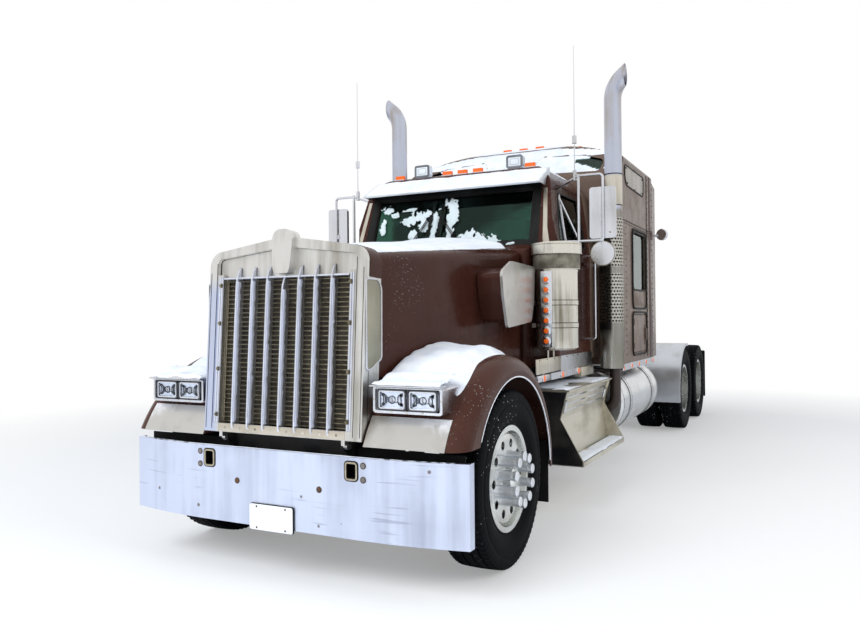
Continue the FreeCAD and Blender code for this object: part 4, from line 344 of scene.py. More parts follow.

# %% [markdown]
# ### Bright metal
# The bumper is polished sheet that mirrors snow, so it looks like pale blue enamel, with rain streaks and a
# few smears. Stainless on the sides has a warmer, creamier look and fine brushing. Both are metals with a
# tinted base: streaks move the roughness more than the colour, because that is what smearing really does. The
# duller colour in the streaks is partly smears and partly a painted reflection of the surroundings.

# %% Bright, brushed and cast metals
def metal(name, clean, dull, rough, streak, scale, dirt_and_reflection):
    """Polished or brushed metal: clean, with a share of a duller colour in streaks that are partly smears and
    partly painted reflection.
    """
    material, tree, shader = new_finish(name, clean, rough, 1.0)
    # The duller colour mixed in by these streaks and blotches is partly smears and partly painted reflection
    # of the surroundings.
    smear_and_reflection = clouds(tree, scale, 5.0, streak)
    blotch = clouds(tree, 2.0, 4.0)
    share = between(tree, maths(tree, "MULTIPLY", smear_and_reflection, blotch), 0.22, 0.44, 0.0, dirt_and_reflection)
    colour = blended(tree, share, clean, dull)
    tree.links.new(snow_specks(tree, colour, 0.5, 70.0), shader.inputs["Base Color"])
    tree.links.new(between(tree, smear_and_reflection, 0.3, 0.75, rough, rough + 0.2), shader.inputs["Roughness"])
    bumped(tree, shader, clouds(tree, 5.0, 2.0), 0.1, 0.002)
    return material


SLOT_METALS = (
    ("bright_steel", (214, 216, 222), (138, 130, 116), 0.16, (1, 1, 0.12), 9.0, 0.5),
    ("visor_steel", (226, 232, 238), (190, 192, 192), 0.3, (1, 1, 0.12), 9.0, 0.35),
    ("brushed_steel", (218, 215, 205), (104, 94, 74), 0.2, (7, 7, 0.2), 4.0, 0.95),
    ("grille_steel", (150, 142, 122), (92, 84, 66), 0.42, (1, 1, 1), 30.0, 0.8),
    ("aluminium", (214, 216, 218), (140, 132, 118), 0.22, (1, 0.2, 1), 8.0, 0.5),
    ("wheel_aluminium", (222, 224, 222), (140, 130, 108), 0.18, (1, 1, 1), 6.0, 0.5),
)
for name, clean, dull, *look in SLOT_METALS:
    finishes[name] = metal(name, rgb(*clean), rgb(*dull), *look)
bumper_steel = metal("bumper_steel", rgb(212, 220, 240), rgb(160, 166, 186), 0.3, (5, 5, 0.35), 2.2, 0.6)
cream_steel = metal("cream_steel", rgb(204, 203, 200), rgb(168, 160, 146), 0.26, (1, 1, 1), 7.0, 0.6)
stack_steel = metal("stack_steel", rgb(190, 195, 210), rgb(160, 142, 112), 0.26, (5, 5, 0.12), 4.0, 0.7)
shell_steel = metal("shell_steel", rgb(220, 219, 216), rgb(152, 146, 132), 0.26, (4, 4, 0.2), 4.0, 0.7)
fender_steel = metal("fender_steel", rgb(200, 204, 210), rgb(150, 146, 138), 0.3, (1, 1, 0.4), 5.0, 0.6)
step_steel = metal("step_steel", rgb(212, 207, 192), rgb(116, 108, 90), 0.28, (1, 0.3, 1), 6.0, 0.8)
pipe_cream = metal("pipe_cream", rgb(204, 199, 186), rgb(164, 152, 130), 0.26, (5, 5, 0.2), 5.0, 0.6)
bright_steel = finishes["bright_steel"]
print(len(SLOT_METALS), "metals for the record's slots and seven more")


# %% Part of a finish in another colour
def partly(material, limits, colour, metallic, ragged=0.0):
    """Gives a finish another colour inside some limits, with a ragged edge if a noise scale is given."""
    tree = material.node_tree
    shader = tree.nodes["Principled BSDF"]
    share = None
    for which, start, end in limits:
        reach = maths(tree, "ABSOLUTE", axis(tree, "X")) if which == "either side" else axis(tree, which)
        step = between(tree, reach, start, end)
        share = step if share is None else maths(tree, "MULTIPLY", share, step)
    if ragged:
        frayed = maths(tree, "MULTIPLY", share, clouds(tree, ragged, 7.0, (1, 1, 1), 0.65))
        share = between(tree, frayed, 0.20, 0.46, 0.0, 0.8)
    before = shader.inputs["Base Color"].links[0].from_socket
    tree.links.new(blended(tree, share, before, colour), shader.inputs["Base Color"])
    tree.links.new(between(tree, share, 0.0, 1.0, 1.0, metallic), shader.inputs["Metallic"])


SCOOP_STAYS = [("either side", 0.879, 0.875), ("Y", -3.5, -3.4), ("Z", 1.1, 1.2)]
PLATE_ENDS = [("either side", 0.70, 1.10), ("Y", -4.55, -4.62), ("Z", 0.82, 0.98)]
partly(stack_steel, [("Z", 1.12, 1.04)], rgb(46, 34, 30), 0.1)
partly(cream_steel, SCOOP_STAYS, rgb(54, 32, 27), 0.0)
partly(cream_steel, PLATE_ENDS, rgb(220, 220, 225), 0.0, 26.0)
# The lower -X leg of the grille shell is tinted lavender: a painted reflection of the sky.
partly(shell_steel, [("X", -0.46, -0.50), ("Z", 1.80, 1.70)], rgb(200, 208, 230), 1.0)
print("pipes are sooty below the shields, scoops stand on painted stays, plates are frosted at their ends")


# %% Scratches and rust dots
def scuffed(material, scratch, rust_dot):
    """Adds short level scratches and a few small rust dots over a finish."""
    tree = material.node_tree
    shader = tree.nodes["Principled BSDF"]
    base = shader.inputs["Base Color"].links[0].from_socket
    lines = between(tree, clouds(tree, 2.6, 1.0, (1.0, 1.0, 22.0)), 0.655, 0.70)
    where = between(tree, clouds(tree, 2.3, 2.0), 0.50, 0.60, 0.0, 0.5)
    base = blended(tree, maths(tree, "MULTIPLY", lines, where), base, scratch)
    dots = between(tree, cells(tree, 5.5), 0.045, 0.075, 0.85, 0.0)
    tree.links.new(blended(tree, dots, base, rust_dot), shader.inputs["Base Color"])


scuffed(bumper_steel, rgb(150, 156, 178), rgb(112, 98, 92))
print("bumper scuffed")

# %% Dark parts under the truck
def grimy(name, colour, dust, rough, metallic=0.0, share=0.45):
    """A dull finish with patches of dust, which also lies wherever the surface faces up."""
    material, tree, shader = new_finish(name, colour, rough, metallic, Specular_IOR_Level=0.22)
    patches = between(tree, clouds(tree, 5.0, 6.0), 0.42, 0.72, 0.0, share)
    ledge = between(tree, facing_up(tree), 0.5, 0.95, 0.0, 0.35)
    both = maths(tree, "MAXIMUM", patches, ledge)
    tree.links.new(blended(tree, both, colour, dust), shader.inputs["Base Color"])
    tree.links.new(between(tree, both, 0.0, 0.5, rough, 0.9), shader.inputs["Roughness"])
    bumped(tree, shader, clouds(tree, 60.0, 4.0), 0.25, 0.003)
    return material


finishes["black_paint"] = grimy("black_paint", rgb(16, 16, 18), rgb(74, 70, 64), 0.4)
finishes["forged_steel"] = grimy("forged_steel", rgb(26, 24, 24), rgb(78, 70, 62), 0.62, 0.4)
finishes["cast_iron"] = grimy("cast_iron", rgb(30, 28, 27), rgb(84, 74, 62), 0.38, 0.7)
finishes["flap_rubber"] = grimy("flap_rubber", rgb(12, 12, 13), rgb(58, 56, 54), 0.7, 0.0, 0.3)
finishes["dash_plastic"] = grimy("dash_plastic", rgb(54, 50, 47), rgb(78, 74, 70), 0.6, 0.0, 0.25)
black_trim = grimy("black_trim", rgb(12, 12, 13), rgb(60, 60, 58), 0.5, 0.0, 0.3)
print("dark finishes ready")

# %% [markdown]
# ### Rubber, glass, lenses and cloth
# Tyre rubber is nearly black, with a faint grey bloom and specks of snow. The windows are tinted dark
# green; real transmission shows the dashboard and seats through them. Marker lenses are amber plastic that
# glows a little where light gets in from the edge, and cloth shows its weave only through bump and sheen.

# %% Tyre rubber
def tyre_rubber():
    material, tree, shader = new_finish("tyre_rubber", rgb(4, 5, 8), 0.7, 0.0, Specular_IOR_Level=0.08)
    bloom = between(tree, clouds(tree, 3.5, 5.0), 0.45, 0.75, 0.0, 0.4)
    colour = blended(tree, bloom, rgb(2, 4, 8), rgb(20, 19, 18))
    tree.links.new(snow_specks(tree, colour, 1.0, 38.0), shader.inputs["Base Color"])
    bumped(tree, shader, clouds(tree, 90.0, 4.0), 0.3, 0.002)
    return material


def tinted_glass():
    material, tree, shader = new_finish("tinted_glass", rgb(100, 140, 126), 0.02, Transmission_Weight=1.0,
                                        IOR=1.45, Specular_Tint=rgb(160, 200, 188))
    film = between(tree, clouds(tree, 4.0, 4.0), 0.5, 0.8, 0.02, 0.14)
    tree.links.new(film, shader.inputs["Roughness"])
    return material


def lens(name, colour, rough, glow, through=0.55):
    material, tree, shader = new_finish(name, colour, rough, 0.0, Transmission_Weight=through, IOR=1.4,
                                        Emission_Strength=glow)
    shader.inputs["Emission Color"].default_value = colour
    ribs = between(tree, maths(tree, "SINE", maths(tree, "MULTIPLY", axis(tree, "X"), 900.0)), -1, 1)
    bumped(tree, shader, ribs, 0.3, 0.001)
    return material


finishes["tyre"] = tyre_rubber()
finishes["tinted_glass"] = tinted_glass()
finishes["clear_lens"] = lens("clear_lens", rgb(226, 232, 236), 0.05, 0.0)
finishes["amber_lens"] = lens("amber_lens", rgb(228, 100, 24), 0.3, 0.25, 0.15)
red_lens = lens("red_lens", rgb(176, 14, 14), 0.2, 0.08)
print("rubber, glass and lenses ready")

# %% Cloth
def woven(name, colour, thread):
    material, tree, shader = new_finish(name, colour, 0.85, 0.0, Sheen_Weight=0.4, Sheen_Roughness=0.5)
    waves = [maths(tree, "SINE", maths(tree, "MULTIPLY", axis(tree, which), 2600.0))
             for which in ("X", "Y")]
    weave = between(tree, maths(tree, "MULTIPLY", *waves), -1, 1)
    tone = blended(tree, clouds(tree, 24.0, 3.0), colour, thread)
    tree.links.new(tone, shader.inputs["Base Color"])
    bumped(tree, shader, weave, 0.35, 0.0008)
    return material


finishes["seat_cloth"] = woven("seat_cloth", rgb(108, 96, 84), rgb(78, 70, 62))
print("cloth ready,", len(finishes), "finishes for the record's slots")

# %% Dress every CAD node
slot_of = {part["node"]: part["material_slot"] for part in frame["record"]["subparts"]}
# The doors wear a darker copy of the brown paint: a painted dark reflection.
door_paint = brown_paint("door_paint", rgb(48, 27, 23), rgb(104, 84, 72), 1.5, 0.3, 0.25)
own_finish = {"door_left": door_paint, "door_right": door_paint, "bumper": bumper_steel,
              "polished_panels": cream_steel, "exhausts": stack_steel, "grille_shell": shell_steel,
              "rear_fenders": fender_steel, "step_boxes": step_steel}
for name, node in nodes.items():
    material = own_finish.get(name, finishes[slot_of[name]])
    for holder in node.material_slots:
        holder.material = material
print("dressed", len(nodes), "nodes")

# %% [markdown]
# ## Tools for shaping
# Every new piece starts as a bmesh: a block, a barrel between two points, or an outline spun about an axis.
# A maker returns its own small bmesh, and another helper sets any number of copies of it into a bigger one.
# That keeps a row of forty bolts as easy as one. The last helper turns the finished bmesh into a piece that
# rides on a body of the truck.

# %% Edges, corners, thickness and facing
def rounded(bm, edges, offset, segments=2):
    """Rounds some edges over. The operator's defaults differ from the editor's, so profile is given."""
    bmesh.ops.bevel(bm, geom=edges, offset=offset, segments=segments, affect="EDGES", profile=0.5,
                    material=-1)


def rounded_corners(bm, corners, radius, segments):
    """Rounds some corners of a flat outline."""
    bmesh.ops.bevel(bm, geom=corners, offset=radius, segments=segments, affect="VERTICES", profile=0.5,
                    material=-1)


def raised(bm, move):
    """Gives a flat shape its thickness, by raising a copy of it."""
    risen = bmesh.ops.extrude_face_region(bm, geom=bm.faces[:])["geom"]
    bmesh.ops.translate(bm, vec=move, verts=[v for v in risen if isinstance(v, bmesh.types.BMVert)])


def faced(bm, direction):
    """Turns all faces of a sheet to the side that a direction points to."""
    bmesh.ops.recalc_face_normals(bm, faces=bm.faces)
    if sum(f.normal.dot(Vector(direction)) for f in bm.faces) < 0:
        bmesh.ops.reverse_faces(bm, faces=bm.faces)


print("edge tools ready")

# %% Block, barrel and lathe
def block(low, high, edge=0.0, segments=2):
    """A block between two corners, its edges rounded."""
    bm = bmesh.new()
    bmesh.ops.create_cube(bm, size=1)
    low, high = Vector(low), Vector(high)
    bmesh.ops.scale(bm, vec=high - low, verts=bm.verts)
    bmesh.ops.translate(bm, vec=(low + high) / 2, verts=bm.verts)
    if edge:
        rounded(bm, bm.edges[:], edge, segments)
    return bm


def barrel(a, b, r, r_end=None, segments=24, edge=0.0):
    """A round bar or cone from one point to another."""
    a, b = Vector(a), Vector(b)
    bm = bmesh.new()
    bmesh.ops.create_cone(bm, cap_ends=True, segments=segments, radius1=r,
                          radius2=r if r_end is None else r_end, depth=(b - a).length)
    if edge:
        rims = [e for e in bm.edges if any(len(f.verts) > 4 for f in e.link_faces)]
        rounded(bm, rims, edge)
    bm.transform(Matrix.Translation((a + b) / 2) @ (b - a).to_track_quat("Z", "Y").to_matrix().to_4x4())
    return bm


def lathe(outline, steps=32, closed=False):
    """An outline of (radius, along) points spun about Z."""
    bm = bmesh.new()
    points = [bm.verts.new((r, 0, h)) for r, h in outline]
    pairs = list(zip(points, points[1:])) + ([(points[-1], points[0])] if closed else [])
    edges = [bm.edges.new(pair) for pair in pairs]
    bmesh.ops.spin(bm, geom=points + edges, cent=(0, 0, 0), axis=(0, 0, 1), angle=2 * math.pi,
                   steps=steps, use_merge=True)
    bmesh.ops.remove_doubles(bm, verts=bm.verts, dist=0.00002)
    return bm


print("a test barrel has", len(barrel((0, 0, 0), (0, 0, 1), 0.1).faces), "faces")

# %% Copies, plates and finished pieces
def set_in(bm, part, places=(Matrix(),)):
    """Adds copies of a small bmesh to a bigger one, one for each place, and frees the small one."""
    passing = bpy.data.meshes.new("passing")
    for place in places:
        copy = part.copy()
        copy.transform(place)
        bmesh.ops.recalc_face_normals(copy, faces=copy.faces)
        copy.to_mesh(passing)
        copy.free()
        bm.from_mesh(passing)
    bpy.data.meshes.remove(passing)
    part.free()


def rounded_plate(points, thick, corner=0.01, edge=0.0):
    """A flat plate from an outline in X and Y, its corners rounded, raised along Z."""
    bm = bmesh.new()
    bm.faces.new([bm.verts.new((x, y, 0)) for x, y in points])
    if corner:
        rounded_corners(bm, bm.verts[:], corner, 5)
    raised(bm, (0, 0, thick))
    if edge:
        top = [e for e in bm.edges if all(v.co.z > thick - 1e-6 for v in e.verts)]
        rounded(bm, top, edge)
    return bm


def frame_ring(points, width, thick, corner=0.01, edge=0.0015):
    """A flat frame: the plate of an outline with its middle cut out, as a gasket or a bezel is."""
    bm = bmesh.new()
    bm.faces.new([bm.verts.new((x, y, 0)) for x, y in points])
    if corner:
        rounded_corners(bm, bm.verts[:], corner, 6)
    middle = bm.faces[:]
    bmesh.ops.inset_region(bm, faces=middle, thickness=width, use_boundary=True, use_even_offset=True)
    bmesh.ops.delete(bm, geom=middle, context="FACES_ONLY")
    raised(bm, (0, 0, thick))
    if edge:
        rims = [e for e in bm.edges if all(v.co.z > thick - 1e-6 for v in e.verts)
                and e.calc_face_angle(0) > 1]
        rounded(bm, rims, edge)
    return bm


def finished(name, bm, material, body="chassis", angle=32, replaces=()):
    """Turns a bmesh into a piece that rides on a body of the truck."""
    mesh = bpy.data.meshes.new(name)
    bm.to_mesh(mesh)
    bm.free()
    mesh.shade_smooth()
    mesh.set_sharp_from_angle(angle=math.radians(angle))
    mesh.materials.append(material)
    piece = bpy.data.objects.new(name, mesh)
    SCENE.collection.objects.link(piece)
    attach(piece, body)
    if replaces:
        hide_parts(*replaces)
    return piece


def turned_to(direction, place):
    """The matrix that sets a piece's Z along a direction at a place."""
    return Matrix.Translation(place) @ Vector(direction).to_track_quat("Z", "Y").to_matrix().to_4x4()


SIDES = (("left", 1), ("right", -1))


def flipped(bm):
    """Turns a bmesh into its mirror image, for the truck's other side."""
    bm.transform(Matrix.Scale(-1, 4, (1, 0, 0)))
    bmesh.ops.reverse_faces(bm, faces=bm.faces)


def both_sides(bm):
    """Adds the mirror image of everything in a bmesh, for a piece that stands on both sides."""
    twin = bm.copy()
    flipped(twin)
    passing = bpy.data.meshes.new("passing")
    twin.to_mesh(passing)
    twin.free()
    bm.from_mesh(passing)
    bpy.data.meshes.remove(passing)
    return bm


print("tools ready")

# %% [markdown]
# ## Tyres
# A road tyre is a spun outline with two kinds of groove: the long ones run round it and come from the
# outline itself, the short ones cut its shoulders into blocks. Spinning the outline in many small steps
# leaves a ring of points at each step, so pressing every second pair of shoulder points toward the axle
# gives the short grooves without any cutting. Steer tyres carry ribs, drive tyres deeper blocks. The real
# wall shows two thin pale rings, so the outline has them.

# %% Tyre outline and spin
TYRE_R = 0.545


def tyre_outline(depth):
    """Half the tyre across, from the bead over the wall to the middle of the tread, as (across, radius)."""
    wall = [(0.104, 0.3045), (0.107, 0.330), (0.118, 0.350), (0.130, 0.374), (0.1345, 0.384),
            (0.1345, 0.388), (0.1375, 0.396), (0.1395, 0.415), (0.1398, 0.432), (0.1390, 0.450),
            (0.1380, 0.462), (0.1352, 0.466), (0.1378, 0.470), (0.1360, 0.492), (0.1335, 0.510),
            (0.1305, 0.524), (0.1260, 0.534), (0.1175, 0.5405)]
    tread = [(0.088, 0.5425), (0.0865, 0.5425 - depth), (0.0775, 0.5425 - depth), (0.076, 0.5432),
             (0.036, 0.5445), (0.0345, 0.5447 - depth), (0.0255, 0.5447 - depth), (0.024, 0.5448),
             (0.0, TYRE_R)]
    return wall + tread


def tyre(across, depth, steps, block_depth):
    """One tyre about the X axis, with its middle at a place across and its hub at the axle's height."""
    half = tyre_outline(depth)
    ring = [(r, x) for x, r in half] + [(r, -x) for x, r in reversed(half[:-1])]
    bm = lathe(ring, steps, closed=True)
    is_drive_tyre = block_depth > 0.008
    for v in bm.verts:
        step = round(math.atan2(v.co.y, v.co.x) / (2 * math.pi) * steps) % 4
        r, x = v.co.xy.length, abs(v.co.z)
        on_shoulder = 0.0865 < x < 0.1355 and r > 0.505
        on_middle_rib = 0.036 < x + 0.001 < 0.0775 and r > 0.54
        if step < 2 and on_shoulder:
            v.co.xy *= (r - block_depth) / r
        if step == 1 and on_middle_rib and is_drive_tyre:
            v.co.xy *= (r - block_depth * 0.7) / r
    bm.transform(Matrix.Rotation(math.pi / 2, 4, "Y"))
    bm.transform(Matrix.Translation((across, 0, TYRE_R)))
    return bm


STEER_TYRE_X = 1.032
TWIN_TYRE_X = (1.068, 0.738)
DRIVE_AXLES = {"first_drive": 6.510, "second_drive": 7.830}
for side, s in SIDES:
    bm = bmesh.new()
    set_in(bm, tyre(s * STEER_TYRE_X, 0.011, 320, 0.006), [moved_to(0, 0, 0)])
    finished("front_tread_" + side, bm, finishes["tyre"], "front_wheel_" + side, 40,
             ["front_tyre_" + side])
    for axle, along in DRIVE_AXLES.items():
        bm = bmesh.new()
        for across in TWIN_TYRE_X:
            set_in(bm, tyre(s * across, 0.016, 240, 0.013), [moved_to(0, along, 0)])
        tread = finished("%s_tread_%s" % (axle, side), bm, finishes["tyre"],
                         "%s_%s" % (axle, side), 40, ["%s_tyres_%s" % (axle, side)])
        triangles = 2 * len(tread.data.polygons)
print("six sets of tyres; a drive pair has about", triangles, "triangles")

# %% [markdown]
# ## The grille
# The grille is this truck's face and its finest work: 32 thin rungs over a woven screen, and seven tall
# blades that stand in front of them and end in points over the crown plate. The screen is one sheet with a
# weave in its finish, for thousands of real wires would add nothing at this distance. The rungs are blocks.
# Each blade is an outline seen from the side, thickened and bevelled, so its front edge catches the light.
# All of it leans back with the surround.

# %% Grille place and finishes
GRILLE = moved_to(0, -0.794, 0.846) @ Matrix.Rotation(math.radians(-3.8), 4, "X")
FACE_ON = Matrix.Rotation(math.pi / 2, 4, "X")


def screen_weave():
    material, tree, shader = new_finish("screen_weave", rgb(84, 76, 62), 0.55, 0.5)
    wires = []
    for which in ("X", "Z"):
        wave = maths(tree, "ABSOLUTE", maths(tree, "SINE", maths(tree, "MULTIPLY", axis(tree, which), 620.0)))
        wires.append(between(tree, wave, 0.15, 0.75))
    weave = maths(tree, "MULTIPLY", *wires)
    wear = between(tree, clouds(tree, 14.0, 4.0), 0.35, 0.7)
    worn = blended(tree, wear, rgb(74, 66, 56), rgb(112, 104, 88))
    tree.links.new(blended(tree, weave, worn, rgb(34, 32, 30)), shader.inputs["Base Color"])
    bumped(tree, shader, weave, 0.5, 0.002)
    return material


rung_steel = metal("rung_steel", rgb(150, 142, 120), rgb(84, 76, 60), 0.35, (1, 1, 1), 24.0, 0.8)
blade_steel = metal("blade_steel", rgb(226, 230, 242), rgb(182, 182, 184), 0.28, (1, 1, 0.3), 16.0, 0.5)
crown_steel = metal("crown_steel", rgb(206, 198, 184), rgb(170, 160, 144), 0.34, (1, 1, 1), 6.0, 0.5)
weave = screen_weave()
print("grille finishes ready")

# %% Screen, rungs and blades
BLADE_THICK = 0.013


def blade(x, tip):
    """One blade from its side outline, foot to point."""
    side = [(0.050, 0.012), (0.004, 0.010), (-0.012, 0.040), (-0.0145, 0.10), (-0.0145, tip - 0.125),
            (-0.010, tip - 0.07), (0.004, tip - 0.025), (0.026, tip), (0.0285, tip - 0.002),
            (0.0285, 0.940), (0.050, 0.940)]
    bm = bmesh.new()
    bm.faces.new([bm.verts.new((x - BLADE_THICK / 2, d, h)) for d, h in side])
    raised(bm, (BLADE_THICK, 0, 0))
    bmesh.ops.recalc_face_normals(bm, faces=bm.faces)
    front = [e for e in bm.edges if all(v.co.y < 0.03 for v in e.verts)
             and abs(e.verts[0].co.x - e.verts[1].co.x) < 1e-6]
    rounded(bm, front, 0.0045)
    return bm


MESH_HALF_W = 0.4675
HALF_MESH = MESH_HALF_W - 0.0003
MESH_LOW, MESH_HIGH = 0.053, 0.937
bm = bmesh.new()
set_in(bm, block((-HALF_MESH, 0.0585, MESH_LOW), (HALF_MESH, 0.0605, MESH_HIGH)), [GRILLE])
finished("grille_screen", bm, weave, "hood", replaces=["grille"])

bm = bmesh.new()
rung = block((-HALF_MESH, 0.046, -0.0036), (HALF_MESH, 0.0586, 0.0036), 0.002)
heights = [0.062 + i * 0.02795 for i in range(32)]
set_in(bm, rung, [GRILLE @ Matrix.Translation((0, 0, h)) for h in heights])
for s in (-1, 1):
    post = block((s * MESH_HALF_W, 0.044, MESH_LOW), (s * (MESH_HALF_W - 0.010), 0.060, MESH_HIGH), 0.002)
    set_in(bm, post, [GRILLE])
finished("grille_rungs", bm, rung_steel, "hood")

bm = bmesh.new()
pitch = 2 * MESH_HALF_W / 8
BLADES = [(-MESH_HALF_W + (i + 1) * pitch, 0.957 if i == 3 else 1.012) for i in range(7)]
for x, tip in BLADES:
    set_in(bm, blade(x, tip), [GRILLE])
finished("grille_blades", bm, blade_steel, "hood")
print(len(heights), "rungs and", len(BLADES), "blades, the middle one short, at", round(pitch, 3), "m")

# %% Beads, screws and latches round the mesh
bm, clips = bmesh.new(), bmesh.new()
for s in (-1, 1):
    for x in (0.478, 0.494):
        set_in(bm, barrel((s * x, 0.003, 0.055), (s * x, 0.003, 0.955), 0.0065, segments=12), [GRILLE])
    for h in (0.105, 0.385, 0.665, 0.90):
        set_in(clips, block((s * 0.486, -0.010, h - 0.014), (s * 0.472, 0.006, h + 0.014), 0.004), [GRILLE])
        knob = lathe([(0, 0.010), (0.006, 0.009), (0.009, 0.004), (0.0095, 0)], 12)
        set_in(clips, knob, [GRILLE @ Matrix.Translation((s * 0.479, -0.009, h)) @ FACE_ON])
set_in(bm, block((-0.466, -0.001, 0.938), (0.466, 0.030, 0.949), 0.003), [GRILLE])
finished("grille_beads", bm, blade_steel, "hood")
finished("grille_clips", clips, rung_steel, "hood")

bm = bmesh.new()
screw = lathe([(0, 0.0045), (0.005, 0.0042), (0.0088, 0.0024), (0.0098, 0)], 14)
feet = [-MESH_HALF_W + (i + 0.5) * pitch for i in range(8)]
set_in(bm, screw, [GRILLE @ Matrix.Translation((x, 0.0005, 0.027)) @ FACE_ON for x in feet])
finished("grille_screws", bm, finishes["brushed_steel"], "hood")
print("beads, eight latches and eight screws")

# %% Cream strip, crown plate and side seams
bm = bmesh.new()
set_in(bm, block((-0.466, -0.0022, 0.004), (0.466, 0.0018, 0.050), 0.0018), [GRILLE])
finished("grille_sill", bm, crown_steel, "hood")

bm = bmesh.new()
for s in (-1, 1):
    for x, h0, h1 in ((0.517, 0.02, 1.04), (0.563, 0.02, 0.98)):
        set_in(bm, block((s * x - 0.0016, -0.0012, h0), (s * x + 0.0016, 0.0035, h1)), [GRILLE])
    set_in(bm, block((s * 0.5745, 0.052, 0.01), (s * 0.5768, 0.056, 0.97)), [GRILLE])
finished("surround_seams", bm, black_trim, "hood")
print("strip and seams")

# %% [markdown]
# ## Headlamps
# Each housing holds two rectangular lamps. Behind a clear glass sits a bright bowl with a grey ring in its
# middle and a narrow oval ring at each side; a grey gasket and a bright frame run round the glass. The bowl
# is a spun outline, the rings are spun too and squeezed where they are oval, and the glass is a plate with
# its rim rounded.

# %% Lamp parts
LAMP_Z = 1.083
LAMP_X = (0.745, 0.937)


def lamp_place(x, y=-0.744):
    """The matrix that sets a plate drawn in X and Y facing forward at a lamp."""
    return moved_to(x, y, LAMP_Z) @ FACE_ON


def oblong(half_w, half_h):
    """The corners of an upright rectangle about its middle."""
    return [(-half_w, -half_h), (half_w, -half_h), (half_w, half_h), (-half_w, half_h)]


bowl_steel = metal("bowl_steel", rgb(222, 228, 240), rgb(150, 154, 162), 0.25, (1, 1, 1), 30.0, 0.4)
lamp_grey = grimy("lamp_grey", rgb(84, 86, 90), rgb(150, 154, 160), 0.5, 0.2, 0.3)
gasket_grey = grimy("gasket_grey", rgb(58, 59, 62), rgb(120, 124, 130), 0.6, 0.0, 0.5)
lamp_pane, _, _ = new_finish("lamp_pane", rgb(250, 252, 255), 0.0, 0.0, Transmission_Weight=1.0, IOR=1.12)
gaskets, frames, bowls, shields, panes = (bmesh.new() for _ in range(5))
for s in (-1, 1):
    for x in (s * LAMP_X[0], s * LAMP_X[1]):
        set_in(gaskets, frame_ring(oblong(0.0930, 0.0610), 0.0105, 0.005, 0.018), [lamp_place(x, -0.7450)])
        set_in(frames, frame_ring(oblong(0.0825, 0.0510), 0.009, 0.006, 0.014, 0.002),
               [lamp_place(x, -0.7450)])
        bowl = lathe([(0.0005, -0.030), (0.018, -0.029), (0.032, -0.022), (0.041, -0.010), (0.046, 0.0)], 28)
        set_in(bowls, bowl, [lamp_place(x + 0.010 * s, -0.738) @ Matrix.Diagonal((1.05, 1.0, 1, 1))])
        set_in(bowls, frame_ring(oblong(0.0775, 0.0460), 0.03, 0.001, 0.010, 0), [lamp_place(x, -0.7385)])
        ring = lathe([(0.0185, 0.0), (0.0185, 0.003), (0.0225, 0.003), (0.0225, 0.0)], 24, closed=True)
        set_in(shields, ring, [lamp_place(x, -0.7415)])
        oval = lathe([(0.0150, 0.0), (0.0150, 0.004), (0.0205, 0.004), (0.0205, 0.0)], 20, closed=True)
        squeeze = Matrix.Diagonal((0.55, 1.45, 1, 1))
        set_in(shields, oval, [lamp_place(x + dx, -0.7415) @ squeeze for dx in (-0.046, 0.046)])
        set_in(panes, rounded_plate(oblong(0.0778, 0.0462), 0.003, 0.012, 0.0012), [lamp_place(x, -0.7445)])
finished("lamp_gaskets", gaskets, gasket_grey, "hood")
finished("lamp_frames", frames, bright_steel, "hood", replaces=["headlamps"])
finished("lamp_bowls", bowls, bowl_steel, "hood")
finished("lamp_shields", shields, lamp_grey, "hood")
finished("lamp_glass", panes, lamp_pane, "hood")
print("four lamps")

# %% Housing screws
bm = bmesh.new()
screw = lathe([(0, 0.003), (0.004, 0.0026), (0.0062, 0.001), (0.0065, -0.001)], 12)
spots = [(x, z) for x in (LAMP_X[0], 0.841, LAMP_X[1]) for z in (1.0155, 1.1495)]
spots += [(0.633, LAMP_Z), (1.0495, LAMP_Z)]
set_in(bm, screw, [moved_to(s * x, -0.7487, z) @ FACE_ON for x, z in spots for s in (-1, 1)])
finished("housing_screws", bm, finishes["brushed_steel"], "hood")
print(len(spots) * 2, "screws")

# %% [markdown]
# ## Bumper fittings
# The bumper is one polished sheet. What breaks it up is small: a rolled ring round each tow opening, bolt
# heads with a ring of rust round each, and the blank plate with its four screws. The tow rings are flat
# frames with a bevel, and the bolts are small spun domes. The plate is left bare white. Two dark rubber
# boards close the gap behind the sheet.

# %% The bumper's face
BUMPER_Y = -0.810
FLAT_HALF_W = 0.560
SWEPT_W = 0.645
SWEEP = 0.075


def bumper_y(x):
    """How far forward the sheet stands at a place across: flat in the middle, swept back at the ends."""
    t = (abs(x) - FLAT_HALF_W) / SWEPT_W
    if t <= 0:
        return BUMPER_Y
    return BUMPER_Y + SWEEP * (0.08 * t + 0.92 * t * t)


def on_bumper(x, z, proud=0.0):
    return moved_to(x, bumper_y(x) - proud, z) @ FACE_ON


print("the bumper's end stands", round(bumper_y(1.2) - BUMPER_Y, 3), "m back")

# %% Tow rings
TOW_X, TOW_Z = 0.518, 0.683
ring_steel = metal("ring_steel", rgb(190, 182, 160), rgb(110, 98, 78), 0.3, (1, 1, 1), 30.0, 0.6)
rings, wells = bmesh.new(), bmesh.new()
for s in (-1, 1):
    ring = frame_ring(oblong(0.041, 0.052), 0.011, 0.008, 0.020, 0.003)
    set_in(rings, ring, [on_bumper(s * TOW_X, TOW_Z, -0.002)])
    lip = frame_ring(oblong(0.047, 0.058), 0.008, 0.003, 0.024, 0.001)
    set_in(wells, lip, [on_bumper(s * TOW_X, TOW_Z)])
    well = frame_ring(oblong(0.0385, 0.0495), 0.003, 0.060, 0.0175, 0)
    set_in(wells, well, [moved_to(s * TOW_X, -0.746, TOW_Z) @ FACE_ON])
finished("tow_rings", rings, ring_steel)
finished("tow_wells", wells, black_trim)
print("two tow openings lined")

